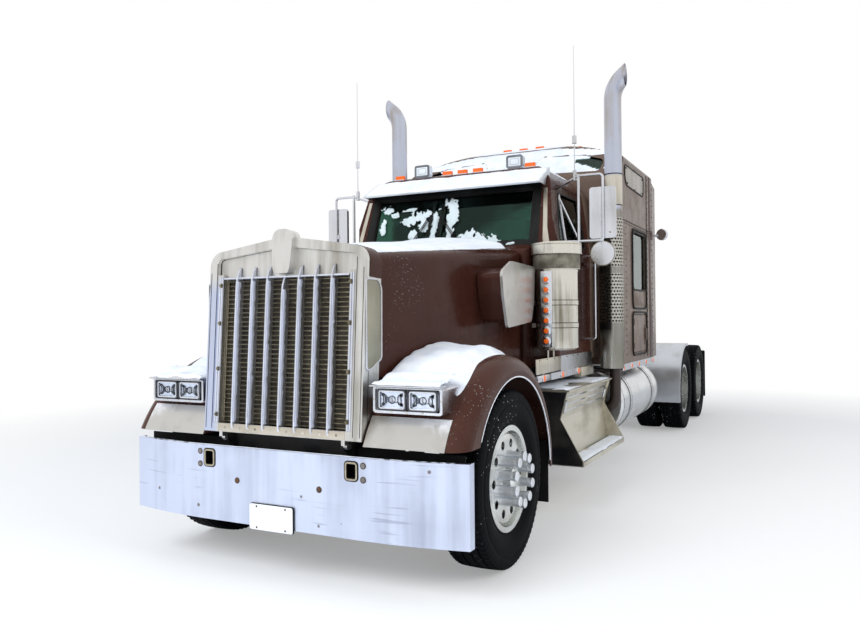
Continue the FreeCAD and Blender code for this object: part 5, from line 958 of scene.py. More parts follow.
# %% Bolts
rust = grimy("rusty_bolt", rgb(84, 64, 54), rgb(128, 104, 84), 0.6, 0.3, 0.8)
bolt_grey = grimy("bolt_grey", rgb(132, 130, 128), rgb(92, 86, 80), 0.45, 0.6, 0.6)
head = lathe([(0, 0.0075), (0.008, 0.0070), (0.0135, 0.0035), (0.0155, -0.002)], 18)
rims = lathe([(0.0150, 0.0), (0.0150, 0.0012), (0.0190, 0.0012), (0.0190, 0.0)], 18, closed=True)
bolts = [(s * x, z) for s in (-1, 1) for x, z in ((0.595, 0.718), (0.595, 0.640), (0.300, 0.560))]
greys, browns, shades = bmesh.new(), bmesh.new(), bmesh.new()
set_in(greys, head.copy(), [on_bumper(x, z) for x, z in bolts if abs(x) > 0.4])
set_in(browns, head, [on_bumper(x, z) for x, z in bolts if abs(x) < 0.4])
set_in(shades, rims, [on_bumper(x, z) for x, z in bolts])
finished("bumper_bolts", greys, bolt_grey)
finished("bumper_rust_bolts", browns, rust)
finished("bumper_bolt_shades", shades, rust)
print(len(bolts), "bolts on the bumper")

# %% The bare plate and the splash boards
PLATE_X, PLATE_Z = -0.036, 0.362
plate_white = grimy("plate_white", rgb(236, 240, 244), rgb(188, 190, 192), 0.35, 0.0, 0.3)
bm = bmesh.new()
set_in(bm, rounded_plate(oblong(0.158, 0.076), 0.0022, 0.012, 0.0008), [on_bumper(PLATE_X, PLATE_Z, 0.0125)])
finished("bare_plate", bm, plate_white)
bm = bmesh.new()
set_in(bm, rounded_plate(oblong(0.160, 0.078), 0.0122, 0.013, 0.0008), [on_bumper(PLATE_X, PLATE_Z)])
finished("plate_holder", bm, black_trim)
bm = bmesh.new()
screw = lathe([(0, 0.0032), (0.0035, 0.003), (0.006, 0.0014), (0.0065, -0.001)], 12)
set_in(bm, screw, [on_bumper(PLATE_X + dx, PLATE_Z + dz, 0.0145) for dx in (-0.105, 0.105)
                   for dz in (-0.062, 0.062)])
finished("plate_screws", bm, rust)
bm = bmesh.new()
set_in(bm, block(at(0.470, -0.664, 0.480), at(1.150, -0.656, 0.790), 0.003))
set_in(bm, block(at(0.470, -0.735, 0.560), at(0.482, -0.660, 0.740), 0.002))
finished("splash_boards", both_sides(bm), finishes["flap_rubber"])
print("plate and splash boards set")

# %% [markdown]
# ## Sides of the surround
# Seen from the side the bright surround is only a band: above, the painted bonnet laps over it, and below
# sits a polished cheek in a bright bead. The painted lap is drawn as the surround's own arch, a closed
# outline whose corners are rounded, then opened below and drawn back in depth. The cheek is a plate with
# one cut corner.

# %% Painted lap and polished cheeks
def arch_lap(grow, foot, peak, shoulder, depths):
    """The surround's arch as a skin: an outline across and up the grille, drawn back through some depths."""
    bm = bmesh.new()
    half_w = 0.576 + grow
    points = [(half_w, foot), (half_w, shoulder + grow), (0, peak + grow), (-half_w, shoulder + grow),
              (-half_w, foot)]
    ring = [bm.verts.new((x, depths[0], h)) for x, h in points]
    bm.faces.new(ring)
    rounded_corners(bm, [ring[1], ring[3]], 0.088, 10)
    bmesh.ops.delete(bm, geom=bm.faces[:], context="FACES_ONLY")
    base = [e for e in bm.edges if all(abs(v.co.z - foot) < 1e-5 for v in e.verts)]
    bmesh.ops.delete(bm, geom=base, context="EDGES")
    rim = bm.edges[:]
    for before, after in zip(depths, depths[1:]):
        made = bmesh.ops.extrude_edge_only(bm, edges=rim)["geom"]
        rim = [e for e in made if isinstance(e, bmesh.types.BMEdge)]
        moved = [v for v in made if isinstance(v, bmesh.types.BMVert)]
        bmesh.ops.translate(bm, vec=(0, after - before, 0), verts=moved)
    return bm


bm = bmesh.new()
lap = arch_lap(0.0012, 0.930, 1.1860, 1.1000, (0.040, 0.105, 0.170))
bmesh.ops.recalc_face_normals(lap, faces=lap.faces)
bmesh.ops.solidify(lap, geom=lap.faces[:], thickness=-0.002)
set_in(bm, lap, [GRILLE])
finished("bonnet_lap", bm, finishes["brown_paint"], "hood")

cheek = [(-0.739, 1.764), (-0.606, 1.764), (-0.560, 1.716), (-0.566, 1.296), (-0.690, 1.236),
         (-0.742, 1.236)]
SIDE_TURN = turned_axes((0, 1, 0), (0, 0, 1), (1, 0, 0))
CHEEK_X = 0.5762
SIDE_ON = moved_to(CHEEK_X, 0, 0) @ SIDE_TURN
plates, beads = bmesh.new(), bmesh.new()
set_in(plates, rounded_plate(cheek, 0.0015, 0.022, 0.0005), [SIDE_ON])
set_in(beads, frame_ring(cheek, 0.012, 0.007, 0.022, 0.003), [SIDE_ON])
cheek_steel = metal("cheek_steel", rgb(176, 174, 158), rgb(120, 116, 98), 0.3, (1, 1, 0.3), 3.0, 0.7)
finished("surround_cheeks", both_sides(plates), cheek_steel, "hood")
finished("cheek_beads", both_sides(beads), bright_steel, "hood")
print("lap and cheeks on the surround")

# %% [markdown]
# ## Intake bodies
# A folded plate on each side of the bonnet covers an air intake. The intake's body behind it is painted
# like the bonnet. It is one outline as seen from the side, with round corners, raised to its depth.

# %% Intake bodies behind the folded plates
bm = bmesh.new()
intake = [(0.748, 1.892), (1.168, 1.878), (1.150, 1.672), (1.094, 1.534), (0.652, 1.498), (0.586, 1.694),
          (0.562, 1.838)]
INTAKE_X = 0.690
body = rounded_plate(intake, 0.190, 0.035, 0.006)
set_in(bm, body, [Matrix.Translation((-CHEEK_X + INTAKE_X, 0, 0)) @ SIDE_ON])
finished("intake_bodies", both_sides(bm), finishes["brown_paint"], "hood")
print("intake bodies painted")

# %% [markdown]
# ## Frost on the blades
# Blown snow has stuck to one flank of each blade, thick at its front edge and frayed toward the mesh. Each
# skin starts as a flat grid whose points are moved onto the flank. Noise sets how far back they reach and
# how far they stand out, and solidify closes the skin.

# %% Snow on the blades
def blade_snow(x, tip):
    """A ragged skin of snow on a blade's outer side, thickest at the front and frayed toward the mesh."""
    bm = bmesh.new()
    bmesh.ops.create_grid(bm, x_segments=6, y_segments=110, size=0.5)
    for v in bm.verts:
        back, up = v.co.x + 0.5, v.co.y + 0.5
        h = 0.060 + up * (tip - 0.150)
        broad = noise.noise(Vector((x * 9, h * 26.0, 1.0)))
        fine = noise.noise(Vector((x * 5, h * 90.0, 4.0)))
        ragged = 0.030 + 0.012 * broad + 0.008 * fine
        depth = -0.009 + back * max(ragged, 0.012)
        thick = 0.0045 * (1 - back) ** 0.5 + 0.0012 * noise.noise(Vector((h * 60.0, back * 6.0, x * 7.0)))
        v.co = (x + 0.0066 + max(thick, 0.0002), depth, h)
    faced(bm, (1, 0, 0))
    bmesh.ops.solidify(bm, geom=bm.faces[:], thickness=0.0012)
    return bm


frost = grimy("blade_frost", rgb(226, 230, 244), rgb(196, 198, 206), 0.75, 0.0, 0.4)
bm = bmesh.new()
for x, tip in BLADES:
    set_in(bm, blade_snow(x, tip), [GRILLE])
finished("blade_snow", bm, frost, "hood", 180)
print("blades frosted")

# %% [markdown]
# ## Snow
# The truck has stood in snowfall. Snow lies where a surface faces up, is thickest in the middle, and ends
# in a soft, uneven rim. It could be simulated, but dropping a grid does the same in seconds: each point of
# a flat grid falls until it meets the truck, rises again by the depth of snow there, and sinks just under
# the skin at the rim. The depth is a small function of place with some noise in it, so every cap differs.

# %% Snow finish and cap maker
def snow_finish():
    material, tree, shader = new_finish("fresh_snow", rgb(236, 240, 247), 0.7, 0.0, Specular_IOR_Level=0.3)
    tone = between(tree, clouds(tree, 9.0, 4.0), 0.3, 0.7)
    tree.links.new(blended(tree, tone, rgb(222, 229, 242), rgb(240, 243, 248)), shader.inputs["Base Color"])
    bumped(tree, shader, clouds(tree, 70.0, 5.0), 0.35, 0.006)
    return material


snow = snow_finish()


def smooth(value):
    """Eases a value from 0 to 1."""
    t = min(max(value, 0.0), 1.0)
    return t * t * (3 - 2 * t)


def lumps(x, y, scale, seed):
    """Smooth noise from -1 to 1 over the ground plan."""
    return noise.noise(Vector((x * scale, y * scale, seed)))


def skin_of(*names):
    """A search tree of some CAD nodes' surfaces, to drop points onto."""
    bm = bmesh.new()
    for name in names:
        bm.from_mesh(nodes[name].data)
    bmesh.ops.remove_doubles(bm, verts=bm.verts, dist=0.00001)
    bmesh.ops.recalc_face_normals(bm, faces=bm.faces)
    tree = BVHTree.FromBMesh(bm)
    bm.free()
    return tree


BARE = -0.03
RIM_SINK = 0.012


def on_side(s, near, far):
    """A range across the truck on one side of it."""
    return (near, far) if s > 0 else (-far, -near)


def snow_cap(name, body, tree, x_range, y_range, depth, step, steep, floor, top):
    """A cap of snow over a region. Depth is a function of the place across and along, and BARE says that none
    lies there. Steep is the least upward share of a surface's normal that holds snow."""
    (x0, x1), (y0, y1) = x_range, y_range
    bm = bmesh.new()
    bmesh.ops.create_grid(bm, x_segments=round((x1 - x0) / step), y_segments=round((y1 - y0) / step),
                          size=0.5)
    bmesh.ops.scale(bm, vec=(x1 - x0, y1 - y0, 1), verts=bm.verts)
    bmesh.ops.translate(bm, vec=at((x0 + x1) / 2, (y0 + y1) / 2, top), verts=bm.verts)
    bare = []
    for v in bm.verts:
        hit, normal, _, _ = tree.ray_cast(v.co, Vector((0, 0, -1)))
        missed = hit is None or abs(normal.z) < steep or hit.z < floor
        thick = BARE if missed else depth(v.co.x, v.co.y - FRONT_AXLE_Y)
        if thick <= BARE:
            bare.append(v)
        else:
            v.co.z = hit.z + thick
    bmesh.ops.delete(bm, geom=bare, context="VERTS")
    for v in bm.verts:
        if v.is_boundary:
            v.co.z -= RIM_SINK
    loose = [v for v in bm.verts if not v.link_faces]
    bmesh.ops.delete(bm, geom=loose, context="VERTS")
    bmesh.ops.smooth_vert(bm, verts=[v for v in bm.verts if not v.is_boundary], factor=0.5, use_axis_x=False,
                          use_axis_y=False, use_axis_z=True)
    piece = finished(name, bm, snow, body, 180)
    print(name, len(piece.data.polygons), "faces")


# %% Fenders and lamp housings
def fender_depth(side, seed):
    """The depth function of one fender: a heap along its crown that ends before the outer edge."""
    def depth(x, y):
        across = side * x
        edge = 1.085 + 0.03 * lumps(x, y, 5.0, seed) - 0.10 * smooth((y - 0.25) / 0.4)
        core = smooth((edge - across) / 0.13) * smooth((y + 0.60) / 0.07) * smooth((0.66 - y) / 0.22)
        if y < -0.60 and across < 1.05:
            return BARE
        heap = 0.082 * core * (0.85 + 0.25 * lumps(x, y, 4.0, seed + 3))
        return heap + 0.006 * lumps(x, y, 16.0, seed) * core - 0.006
    return depth


def housing_depth(x, y):
    """Thin at the lid's front edge and heaped against the bonnet behind it."""
    cover = 0.022 + 0.014 * lumps(x, y, 9.0, 5.0) - 0.02 * smooth((-0.765 - y) / 0.02)
    return cover + 0.045 * smooth((y + 0.73) / 0.15)


fender_skin = skin_of("fenders", "hood_shell")
pod_skin = skin_of("headlamp_pods")
for side, s in SIDES:
    snow_cap("fender_snow_" + side, "hood", fender_skin, on_side(s, 0.60, 1.17), (-0.79, 0.70),
             fender_depth(s, 2.0 + s), 0.0165, 0.25, 0.9, 1.5)
    snow_cap("housing_snow_" + side, "hood", pod_skin, on_side(s, 0.618, 1.064), (-0.785, -0.56),
             housing_depth, 0.0125, 0.3, 1.1, 1.5)

# %% Cab roof and visor
def cab_roof_depth(x, y):
    cover = 0.030 * smooth((0.80 - abs(x)) / 0.16) * smooth((y - 1.89) / 0.14)
    return cover + 0.004 * lumps(x, y, 6.0, 1.0) * smooth((y - 1.86) / 0.1) - 0.002


def visor_depth(x, y):
    rim = smooth((0.842 - abs(x)) / 0.05) * smooth((y - 1.503) / 0.035)
    return 0.019 * rim * (0.9 + 0.35 * lumps(x, y, 7.0, 4.0)) + 0.003 * lumps(x, y, 22.0, 1.0) - 0.003


snow_cap("cab_roof_snow", "chassis", skin_of("cab_shell", "visor"), (-0.80, 0.80), (1.76, 2.60),
         cab_roof_depth, 0.02, 0.3, 2.6, 3.4)
snow_cap("visor_snow", "chassis", skin_of("visor"), (-0.838, 0.838), (1.503, 1.80),
         visor_depth, 0.0145, 0.3, 2.6, 3.4)

# %% Sleeper roof and brow
ROOF_LAMPS = (-0.600, -0.185, 0, 0.185, 0.600)


def sleeper_depth(x, y):
    """Thin over the brow and its windows, bare along the gutter and round the lamps, deep behind them."""
    gutter = 3.275 - 0.18 * max(abs(x) - 0.5, 0.0)
    by_a_lamp = 3.40 < y < 3.53 and min(abs(x - lamp) for lamp in ROOF_LAMPS) < 0.09
    if abs(y - gutter) < 0.013 or by_a_lamp:
        return BARE
    if y < 3.095 and 0.68 + 2.6 * (3.095 - y) + 0.04 * lumps(x, y, 12.0, 3.0) < abs(x) < 0.985:
        return BARE
    rim = smooth((1.14 - abs(x)) / 0.14) * smooth((4.43 - y) / 0.08) * smooth((y - 2.93) / 0.06)
    thin = 0.22 + 0.78 * smooth((y - 3.56) / 0.35)
    return 0.05 * rim * thin * (0.9 + 0.3 * lumps(x, y, 3.0, 7.0)) + 0.003 * lumps(x, y, 9.0, 2.0) - 0.003


sleeper_skin = skin_of("sleeper_shell", "cab_glass")
snow_cap("sleeper_roof_snow", "chassis", sleeper_skin, (-1.15, 1.15), (2.90, 4.43),
         sleeper_depth, 0.0145, 0.3, 2.86, 3.6)

# %% Bonnet, steps and bumper edge
def hood_depth(x, y):
    """A blanket over the top, heaped against the windscreen and thinning toward the shoulders."""
    shoulder = 0.545 + 0.11 * (y + 0.6) / 1.85 + 0.012 * lumps(x, y, 7.0, 2.0)
    heap = 0.017 + 0.022 * smooth((y - 1.02) / 0.2) + 0.006 * lumps(x, y, 3.0, 11.0)
    return heap * smooth((shoulder - abs(x)) / 0.05) - 0.004


def step_depth(x, y):
    patches = smooth((lumps(x, y, 3.4, 9.0) + 0.45) * 1.7)
    return 0.020 * patches * smooth((1.125 - abs(x)) / 0.02) - 0.003


def tread_depth(x, y):
    return 0.020 * smooth((lumps(x, y, 5.0, 6.0) + 0.75) * 1.6) - 0.002


def bumper_edge_depth(x, y):
    """Only a dusting, since the polished plates swing down close over it when the bonnet tips."""
    return 0.0034 + 0.0014 * lumps(x, y, 10.0, 3.0)


snow_cap("hood_snow", "hood", skin_of("hood_shell"), (-0.70, 0.70), (-0.59, 1.255),
         hood_depth, 0.0185, 0.5, 1.85, 2.6)
step_skin = skin_of("step_boxes")
for side, s in SIDES:
    snow_cap("step_snow_" + side, "chassis", step_skin, on_side(s, 0.47, 1.130), (1.30, 2.64),
             step_depth, 0.02, 0.6, 0.9, 1.05)
    snow_cap("tread_snow_" + side, "chassis", step_skin, on_side(s, 1.052, 1.238), (1.31, 2.63),
             tread_depth, 0.016, 0.8, 0.40, 0.46)
snow_cap("bumper_snow", "chassis", skin_of("bumper"), (-1.20, 1.20), (-0.812, -0.725),
         bumper_edge_depth, 0.0085, 0.7, 0.74, 0.80)

# %% [markdown]
# ## Windscreen: seal, wipers and wind-blown snow
# A broad black rubber seal holds the glass, and two wipers stand upright where they stopped. All of it lies
# on the raked plane of the glass, so one matrix carries that plane and everything is drawn flat on it. The
# clumps of snow are cut from a fine grid on that plane: noise frays their rims and decides how far they
# stand up.

# %% The plane of the windscreen
SCREEN = moved_to(0, 1.49, 2.11) @ turned_axes((1, 0, 0), (0, 0.331, 0.9436), (0, -0.9436, 0.331))
AHEAD_OF_SCREEN = 0.6
BACKWARD = Vector((0, 1, 0))


def laid_on(skin, corners, proud, thick, columns, rows):
    """A thin strip laid on a curved surface. A grid between four corners, each (across, up), is pushed back
    until it meets the surface, stands a little proud of it, and is given a thickness."""
    bm = bmesh.new()
    bmesh.ops.create_grid(bm, x_segments=columns, y_segments=rows, size=0.5)
    (ax, az), (bx, bz), (cx, cz), (dx, dz) = corners
    for v in bm.verts:
        u, w = v.co.x + 0.5, v.co.y + 0.5
        x = (ax * (1 - u) + bx * u) * (1 - w) + (dx * (1 - u) + cx * u) * w
        z = (az * (1 - u) + bz * u) * (1 - w) + (dz * (1 - u) + cz * u) * w
        v.co = skin.ray_cast(at(x, AHEAD_OF_SCREEN, z), BACKWARD)[0] - BACKWARD * proud
    faced(bm, -BACKWARD)
    bmesh.ops.solidify(bm, geom=bm.faces[:], thickness=thick)
    return bm


cab_skin = skin_of("cab_shell", "cab_glass")
bm = bmesh.new()
corners = ((0.738, 2.118), (0.826, 2.118), (0.806, 2.655), (0.728, 2.655))
set_in(bm, laid_on(cab_skin, corners, 0.004, 0.004, 6, 24))
finished("screen_side_seals", both_sides(bm), black_trim)
bm = bmesh.new()
corners = ((0.866, 2.125), (0.905, 2.125), (0.858, 2.600), (0.826, 2.600))
set_in(bm, laid_on(cab_skin, corners, 0.004, 0.004, 4, 24))
finished("pillar_strips", both_sides(bm), pipe_cream)

bm = bmesh.new()
outline = [(-0.800, 0.004), (0.800, 0.004), (0.792, 0.575), (-0.792, 0.575)]
set_in(bm, frame_ring(outline, 0.056, 0.010, 0.07, 0.004), [SCREEN @ Matrix.Translation((0, 0, -0.004))])
finished("screen_seal", bm, black_trim)

bm = bmesh.new()
strip = [(-0.735, 0.505), (0.735, 0.505), (0.735, 0.540), (-0.735, 0.540)]
set_in(bm, rounded_plate(strip, 0.002, 0.01), [SCREEN @ Matrix.Translation((0, 0, -0.008))])
finished("screen_shade", bm, black_trim)
print("windscreen framed")

# %% Wipers
bm = bmesh.new()
for foot, elbow, low, high in (((-0.379, 0.000), (-0.202, 0.300), (-0.205, 0.075), (-0.160, 0.480)),
                               ((0.166, 0.000), (-0.070, 0.290), (-0.089, 0.070), (-0.069, 0.460))):
    for shift in (-0.008, 0.010):
        arm = barrel((foot[0] + shift, foot[1], 0.016), (elbow[0] + shift, elbow[1], 0.024), 0.0042,
                     segments=10)
        set_in(bm, arm, [SCREEN])
    set_in(bm, barrel((*foot, -0.006), (*foot, 0.024), 0.016, 0.011, 16, 0.002), [SCREEN])
    set_in(bm, barrel((*low, 0.012), (*high, 0.012), 0.0065, segments=8), [SCREEN])
    set_in(bm, barrel((*low, 0.019), (*high, 0.019), 0.0035, segments=8), [SCREEN])
    x, up = (low[0] + high[0]) / 2, (low[1] + high[1]) / 2
    set_in(bm, block((x - 0.012, up - 0.06, 0.016), (x + 0.012, up + 0.06, 0.027), 0.003), [SCREEN])
finished("wipers", bm, black_trim)
print("two wipers")

# %% Snow stuck to the glass
GLASS_W, GLASS_H, GLASS_MIDDLE = 1.48, 0.50, 0.262


def glass_snow(spots, step, seed):
    """Snow blown onto the glass. A fine grid keeps only the points in ragged patches, which stand up in their
    middle. A spot is (across, up, half width, half height)."""
    bm = bmesh.new()
    bmesh.ops.create_grid(bm, x_segments=round(GLASS_W / step), y_segments=round(GLASS_H / step), size=0.5)
    bmesh.ops.scale(bm, vec=(GLASS_W, GLASS_H, 1), verts=bm.verts)
    bmesh.ops.translate(bm, vec=(0, GLASS_MIDDLE, 0), verts=bm.verts)
    bare = []
    for v in bm.verts:
        x, s = v.co.x, v.co.y
        ragged = 0.55 * lumps(x, s, 15.0, seed) + 0.45 * lumps(x, s, 38.0, seed + 1)
        ragged += 0.25 * lumps(x, s, 90.0, seed + 2)
        depth = max(1 - math.hypot((x - a) / w, (s - b) / h) for a, b, w, h in spots) + ragged
        if depth < 0:
            bare.append(v)
        v.co.z = 0.0015 + 0.011 * smooth(depth * 0.9)
    bmesh.ops.delete(bm, geom=bare, context="VERTS")
    bmesh.ops.delete(bm, geom=[v for v in bm.verts if not v.link_faces], context="VERTS")
    for v in bm.verts:
        if v.is_boundary:
            v.co.z = -0.001
    bm.transform(SCREEN)
    return bm


wet_snow = grimy("wet_snow", rgb(214, 224, 228), rgb(168, 188, 186), 0.6, 0.0, 0.5)
drifts = [(0.20, 0.075, 0.12, 0.095), (0.33, 0.070, 0.12, 0.065), (0.45, 0.045, 0.09, 0.035),
          (0.600, 0.030, 0.075, 0.020), (0.020, 0.330, 0.055, 0.150), (0.005, 0.180, 0.035, 0.100),
          (-0.010, 0.440, 0.030, 0.060), (-0.060, 0.470, 0.025, 0.040), (-0.140, 0.270, 0.040, 0.120),
          (-0.150, 0.130, 0.030, 0.060), (-0.280, 0.350, 0.110, 0.050), (-0.390, 0.310, 0.080, 0.055),
          (-0.250, 0.250, 0.060, 0.070), (-0.420, 0.415, 0.070, 0.020), (-0.560, 0.370, 0.050, 0.035),
          (-0.640, 0.430, 0.080, 0.040), (-0.340, 0.150, 0.050, 0.070), (-0.660, 0.250, 0.030, 0.090)]
piece = finished("screen_snow", glass_snow(drifts, 0.0062, 2.0), wet_snow, angle=180)
print(len(drifts), "drifts on the glass,", len(piece.data.polygons), "faces")

# %% [markdown]
# ## Lamps and their rims
# A marker lamp is a low dome of amber plastic in a bright rim. One maker sets any number of them facing any
# way, and the same two outlines serve the strip beside each air cleaner and the rails under the cab and
# sleeper.

# %% Lamp rows
def lamp_row(name, spots, facing, radius, rim_width, strip=None):
    """Round amber lamps with bright rims, set at places from the front axle, on both sides."""
    rims, domes = bmesh.new(), bmesh.new()
    outer = radius + rim_width
    rim = [(outer, -0.002), (outer, 0.002), (radius + rim_width * 0.6, 0.006), (radius, 0.008),
           (radius, -0.002)]
    dome = [(0.0, radius * 0.62), (radius * 0.5, radius * 0.56), (radius * 0.86, radius * 0.36),
            (radius, 0.0)]
    places = [turned_to(facing, at(*spot)) for spot in spots]
    set_in(rims, lathe(rim, 20, closed=True), places)
    set_in(domes, lathe(dome, 20), places)
    if strip:
        set_in(rims, strip)
    finished(name + "_rims", both_sides(rims), bright_steel)
    finished(name + "_lamps", both_sides(domes), finishes["amber_lens"])


plate = block(at(0.934, 1.230, 1.300), at(1.026, 1.244, 1.884), 0.004)
spots = [(0.979, 1.2295, 1.347 + 0.0787 * i) for i in range(7)]
lamp_row("cleaner", spots, (0, -1, 0), 0.0205, 0.0150, plate)
rail = block(at(0.957, 1.030, 1.042), at(0.977, 1.345, 1.090), 0.002)
lamp_row("sill", [(0.9775, y, 1.066) for y in (1.158, 1.620, 2.076)], (1, 0, 0), 0.0270, 0.0050, rail)
spots = [(1.1745, y, 1.0435) for y in (2.93, 3.27, 3.61, 3.96, 4.34)]
lamp_row("sleeper_foot", spots, (1, 0, 0), 0.0240, 0.0070)
print("fifteen lamps on each side")

# %% Roof lamps: bases, and the work lamps' faces
bm = bmesh.new()
for x in (-0.640, -0.150, 0, 0.150, 0.640):
    set_in(bm, block(at(x - 0.052, 1.830, 2.815), at(x + 0.052, 1.886, 2.8275), 0.003))
finished("roof_lamp_bases", bm, bright_steel)
frames, panes = bmesh.new(), bmesh.new()
for x in (-0.460, 0.460):
    face = moved_to(x, 1.9495, 2.907) @ FACE_ON
    set_in(frames, frame_ring(oblong(0.077, 0.058), 0.019, 0.006, 0.022, 0.002), [face])
    set_in(panes, rounded_plate(oblong(0.060, 0.041), 0.002, 0.012, 0.001), [face])
    set_in(frames, frame_ring(oblong(0.041, 0.026), 0.0025, 0.003, 0.006, 0.0005), [face])
housing_grey = grimy("housing_grey", rgb(104, 106, 110), rgb(176, 180, 186), 0.5, 0.2, 0.4)
lamp_white = grimy("lamp_white", rgb(224, 230, 236), rgb(196, 202, 208), 0.2, 0.0, 0.5)
finished("work_lamp_frames", frames, housing_grey)
finished("work_lamp_faces", panes, lamp_white)
print("work lamps faced")

# %% [markdown]
# ## Air cleaners
# The canister stands outside the cab like a milk churn. Under its cap runs a finely screened band, and thin
# dark lines mark the edges of its two straps. The screen is a cylinder with speckle in its finish, the
# lines are thin hoops.

# %% Screens, hoops and rims
def speckled_screen():
    material, tree, shader = new_finish("speckled_screen", rgb(140, 136, 122), 0.5, 0.7)
    holes = between(tree, cells(tree, 190.0), 0.22, 0.42, 1.0, 0.0)
    wear = between(tree, clouds(tree, 10.0, 4.0), 0.35, 0.7)
    worn = blended(tree, wear, rgb(100, 96, 84), rgb(158, 154, 140))
    tree.links.new(blended(tree, holes, worn, rgb(70, 68, 62)), shader.inputs["Base Color"])
    bumped(tree, shader, holes, 0.4, 0.002)
    return material


churn = moved_to(1.008, 1.405, 0)
bm = bmesh.new()
set_in(bm, lathe([(0.1815, 1.902), (0.1832, 1.905), (0.1832, 2.016), (0.1815, 2.019)], 48), [churn])
finished("cleaner_screens", both_sides(bm), speckled_screen())


def hoop(radius, z, half_height, proud):
    """A thin band about Z that stands proud of a radius."""
    inner, outer, low, high = radius - 0.002, radius + proud, z - half_height, z + half_height
    return lathe([(inner, low), (outer, low), (outer, high), (inner, high)], 48, closed=True)


bm = bmesh.new()
for z in (1.448, 1.486, 1.623, 1.661):
    set_in(bm, hoop(0.1665, z, 0.0025, 0.0012), [churn])
finished("cleaner_strap_lines", both_sides(bm), black_trim)
bm = bmesh.new()
for z, r in ((1.888, 0.164), (1.302, 0.1625), (2.024, 0.1955), (2.100, 0.1920)):
    set_in(bm, hoop(r, z, 0.005, 0.003), [churn])
finished("cleaner_rims", both_sides(bm), finishes["brushed_steel"])
print("air cleaners finished")

# %% [markdown]
# ## Pierced heat shields
# A sheet with hundreds of round holes wraps each muffler. Cutting every hole from the CAD sheet would be
# slow. Instead one small tile is made, a square with an eight-sided hole bridged to its rim. Rows of tiles
# are laid out flat, every second row shifted by half a tile, plain strips close the gaps, and then the
# whole sheet is rolled round the pipe.

# %% One tile and one plain strip
TILE = 0.0305
OCTAGON = 0.4142
ROWS_LOW = [1.490 + i * TILE for i in range(15)]
ROWS_HIGH = [2.005 + i * TILE for i in range(15)]


def tile():
    """A flat square bridged to a hole of eight sides. OCTAGON is the tangent of 22.5 degrees."""
    bm = bmesh.new()
    hole = bmesh.ops.create_circle(bm, segments=8, radius=0.0108)["verts"]
    bmesh.ops.rotate(bm, verts=hole, cent=(0, 0, 0), matrix=Matrix.Rotation(math.radians(22.5), 3, "Z"))
    half = TILE / 2
    sides = ((1, OCTAGON), (OCTAGON, 1), (-OCTAGON, 1), (-1, OCTAGON), (-1, -OCTAGON), (-OCTAGON, -1),
             (OCTAGON, -1), (1, -OCTAGON))
    rim = [bm.verts.new((x * half, y * half, 0)) for x, y in sides]
    outer = [bm.edges.new((rim[i], rim[(i + 1) % 8])) for i in range(8)]
    inner = [e for e in bm.edges if e not in outer]
    bmesh.ops.bridge_loops(bm, edges=outer + inner)
    for i, (x, y) in enumerate(((1, 1), (-1, 1), (-1, -1), (1, -1))):
        corner = bm.verts.new((x * half, y * half, 0))
        bm.faces.new((rim[2 * i], corner, rim[2 * i + 1]))
    return bm


def plain(u0, u1, v0, v1, columns):
    """A flat strip without holes, in columns that can bend."""
    bm = bmesh.new()
    bmesh.ops.create_grid(bm, x_segments=columns, y_segments=1, size=0.5)
    bmesh.ops.scale(bm, vec=(u1 - u0, v1 - v0, 1), verts=bm.verts)
    bmesh.ops.translate(bm, vec=((u0 + u1) / 2, (v0 + v1) / 2, 0), verts=bm.verts)
    return bm


print("a tile has", len(tile().faces), "faces")

# %% The rolled sheet
STACK_X, STACK_Y = 1.142, 2.742
SHIELD_X = 1.106
SHIELD_R = 0.1175
COLUMNS = 18


def rolled_shield():
    bm = bmesh.new()
    width = COLUMNS * TILE
    start = -width / 2 + TILE / 2
    places = []
    for rows in (ROWS_LOW, ROWS_HIGH):
        for j, v in enumerate(rows):
            shift = TILE / 2 if j % 2 else 0.0
            places += [Matrix.Translation((start + i * TILE + shift, v, 0)) for i in range(COLUMNS - j % 2)]
            if j % 2:
                for u in (-width / 2, width / 2 - TILE / 2):
                    set_in(bm, plain(u, u + TILE / 2, v - TILE / 2, v + TILE / 2, 1))
    set_in(bm, tile(), places)
    low, mid0 = ROWS_LOW[0] - TILE / 2, ROWS_LOW[-1] + TILE / 2
    mid1, high = ROWS_HIGH[0] - TILE / 2, ROWS_HIGH[-1] + TILE / 2
    for v0, v1 in ((1.052, low), (mid0, mid1), (high, 2.518)):
        set_in(bm, plain(-width / 2, width / 2, v0, v1, 36))
    bmesh.ops.remove_doubles(bm, verts=bm.verts, dist=0.0002)
    faced(bm, (0, 0, 1))
    for v in bm.verts:
        turn = v.co.x / SHIELD_R
        v.co = at(SHIELD_X + SHIELD_R * math.cos(turn), STACK_Y + SHIELD_R * math.sin(turn), v.co.y)
    bmesh.ops.solidify(bm, geom=bm.faces[:], thickness=-0.0025)
    return bm


shield_steel = metal("shield_steel", rgb(204, 202, 194), rgb(146, 136, 116), 0.24, (5, 5, 0.2), 4.0, 0.6)
shaded = [("either side", 1.152, 1.132), ("Y", -1.215, -1.235), ("Z", 1.30, 1.42)]
partly(shield_steel, shaded, rgb(44, 40, 36), 0.5)
shields = finished("pierced_shields", both_sides(rolled_shield()), shield_steel,
                   angle=40, replaces=["heat_shields"])
print(len(shields.data.polygons), "faces in both shields")
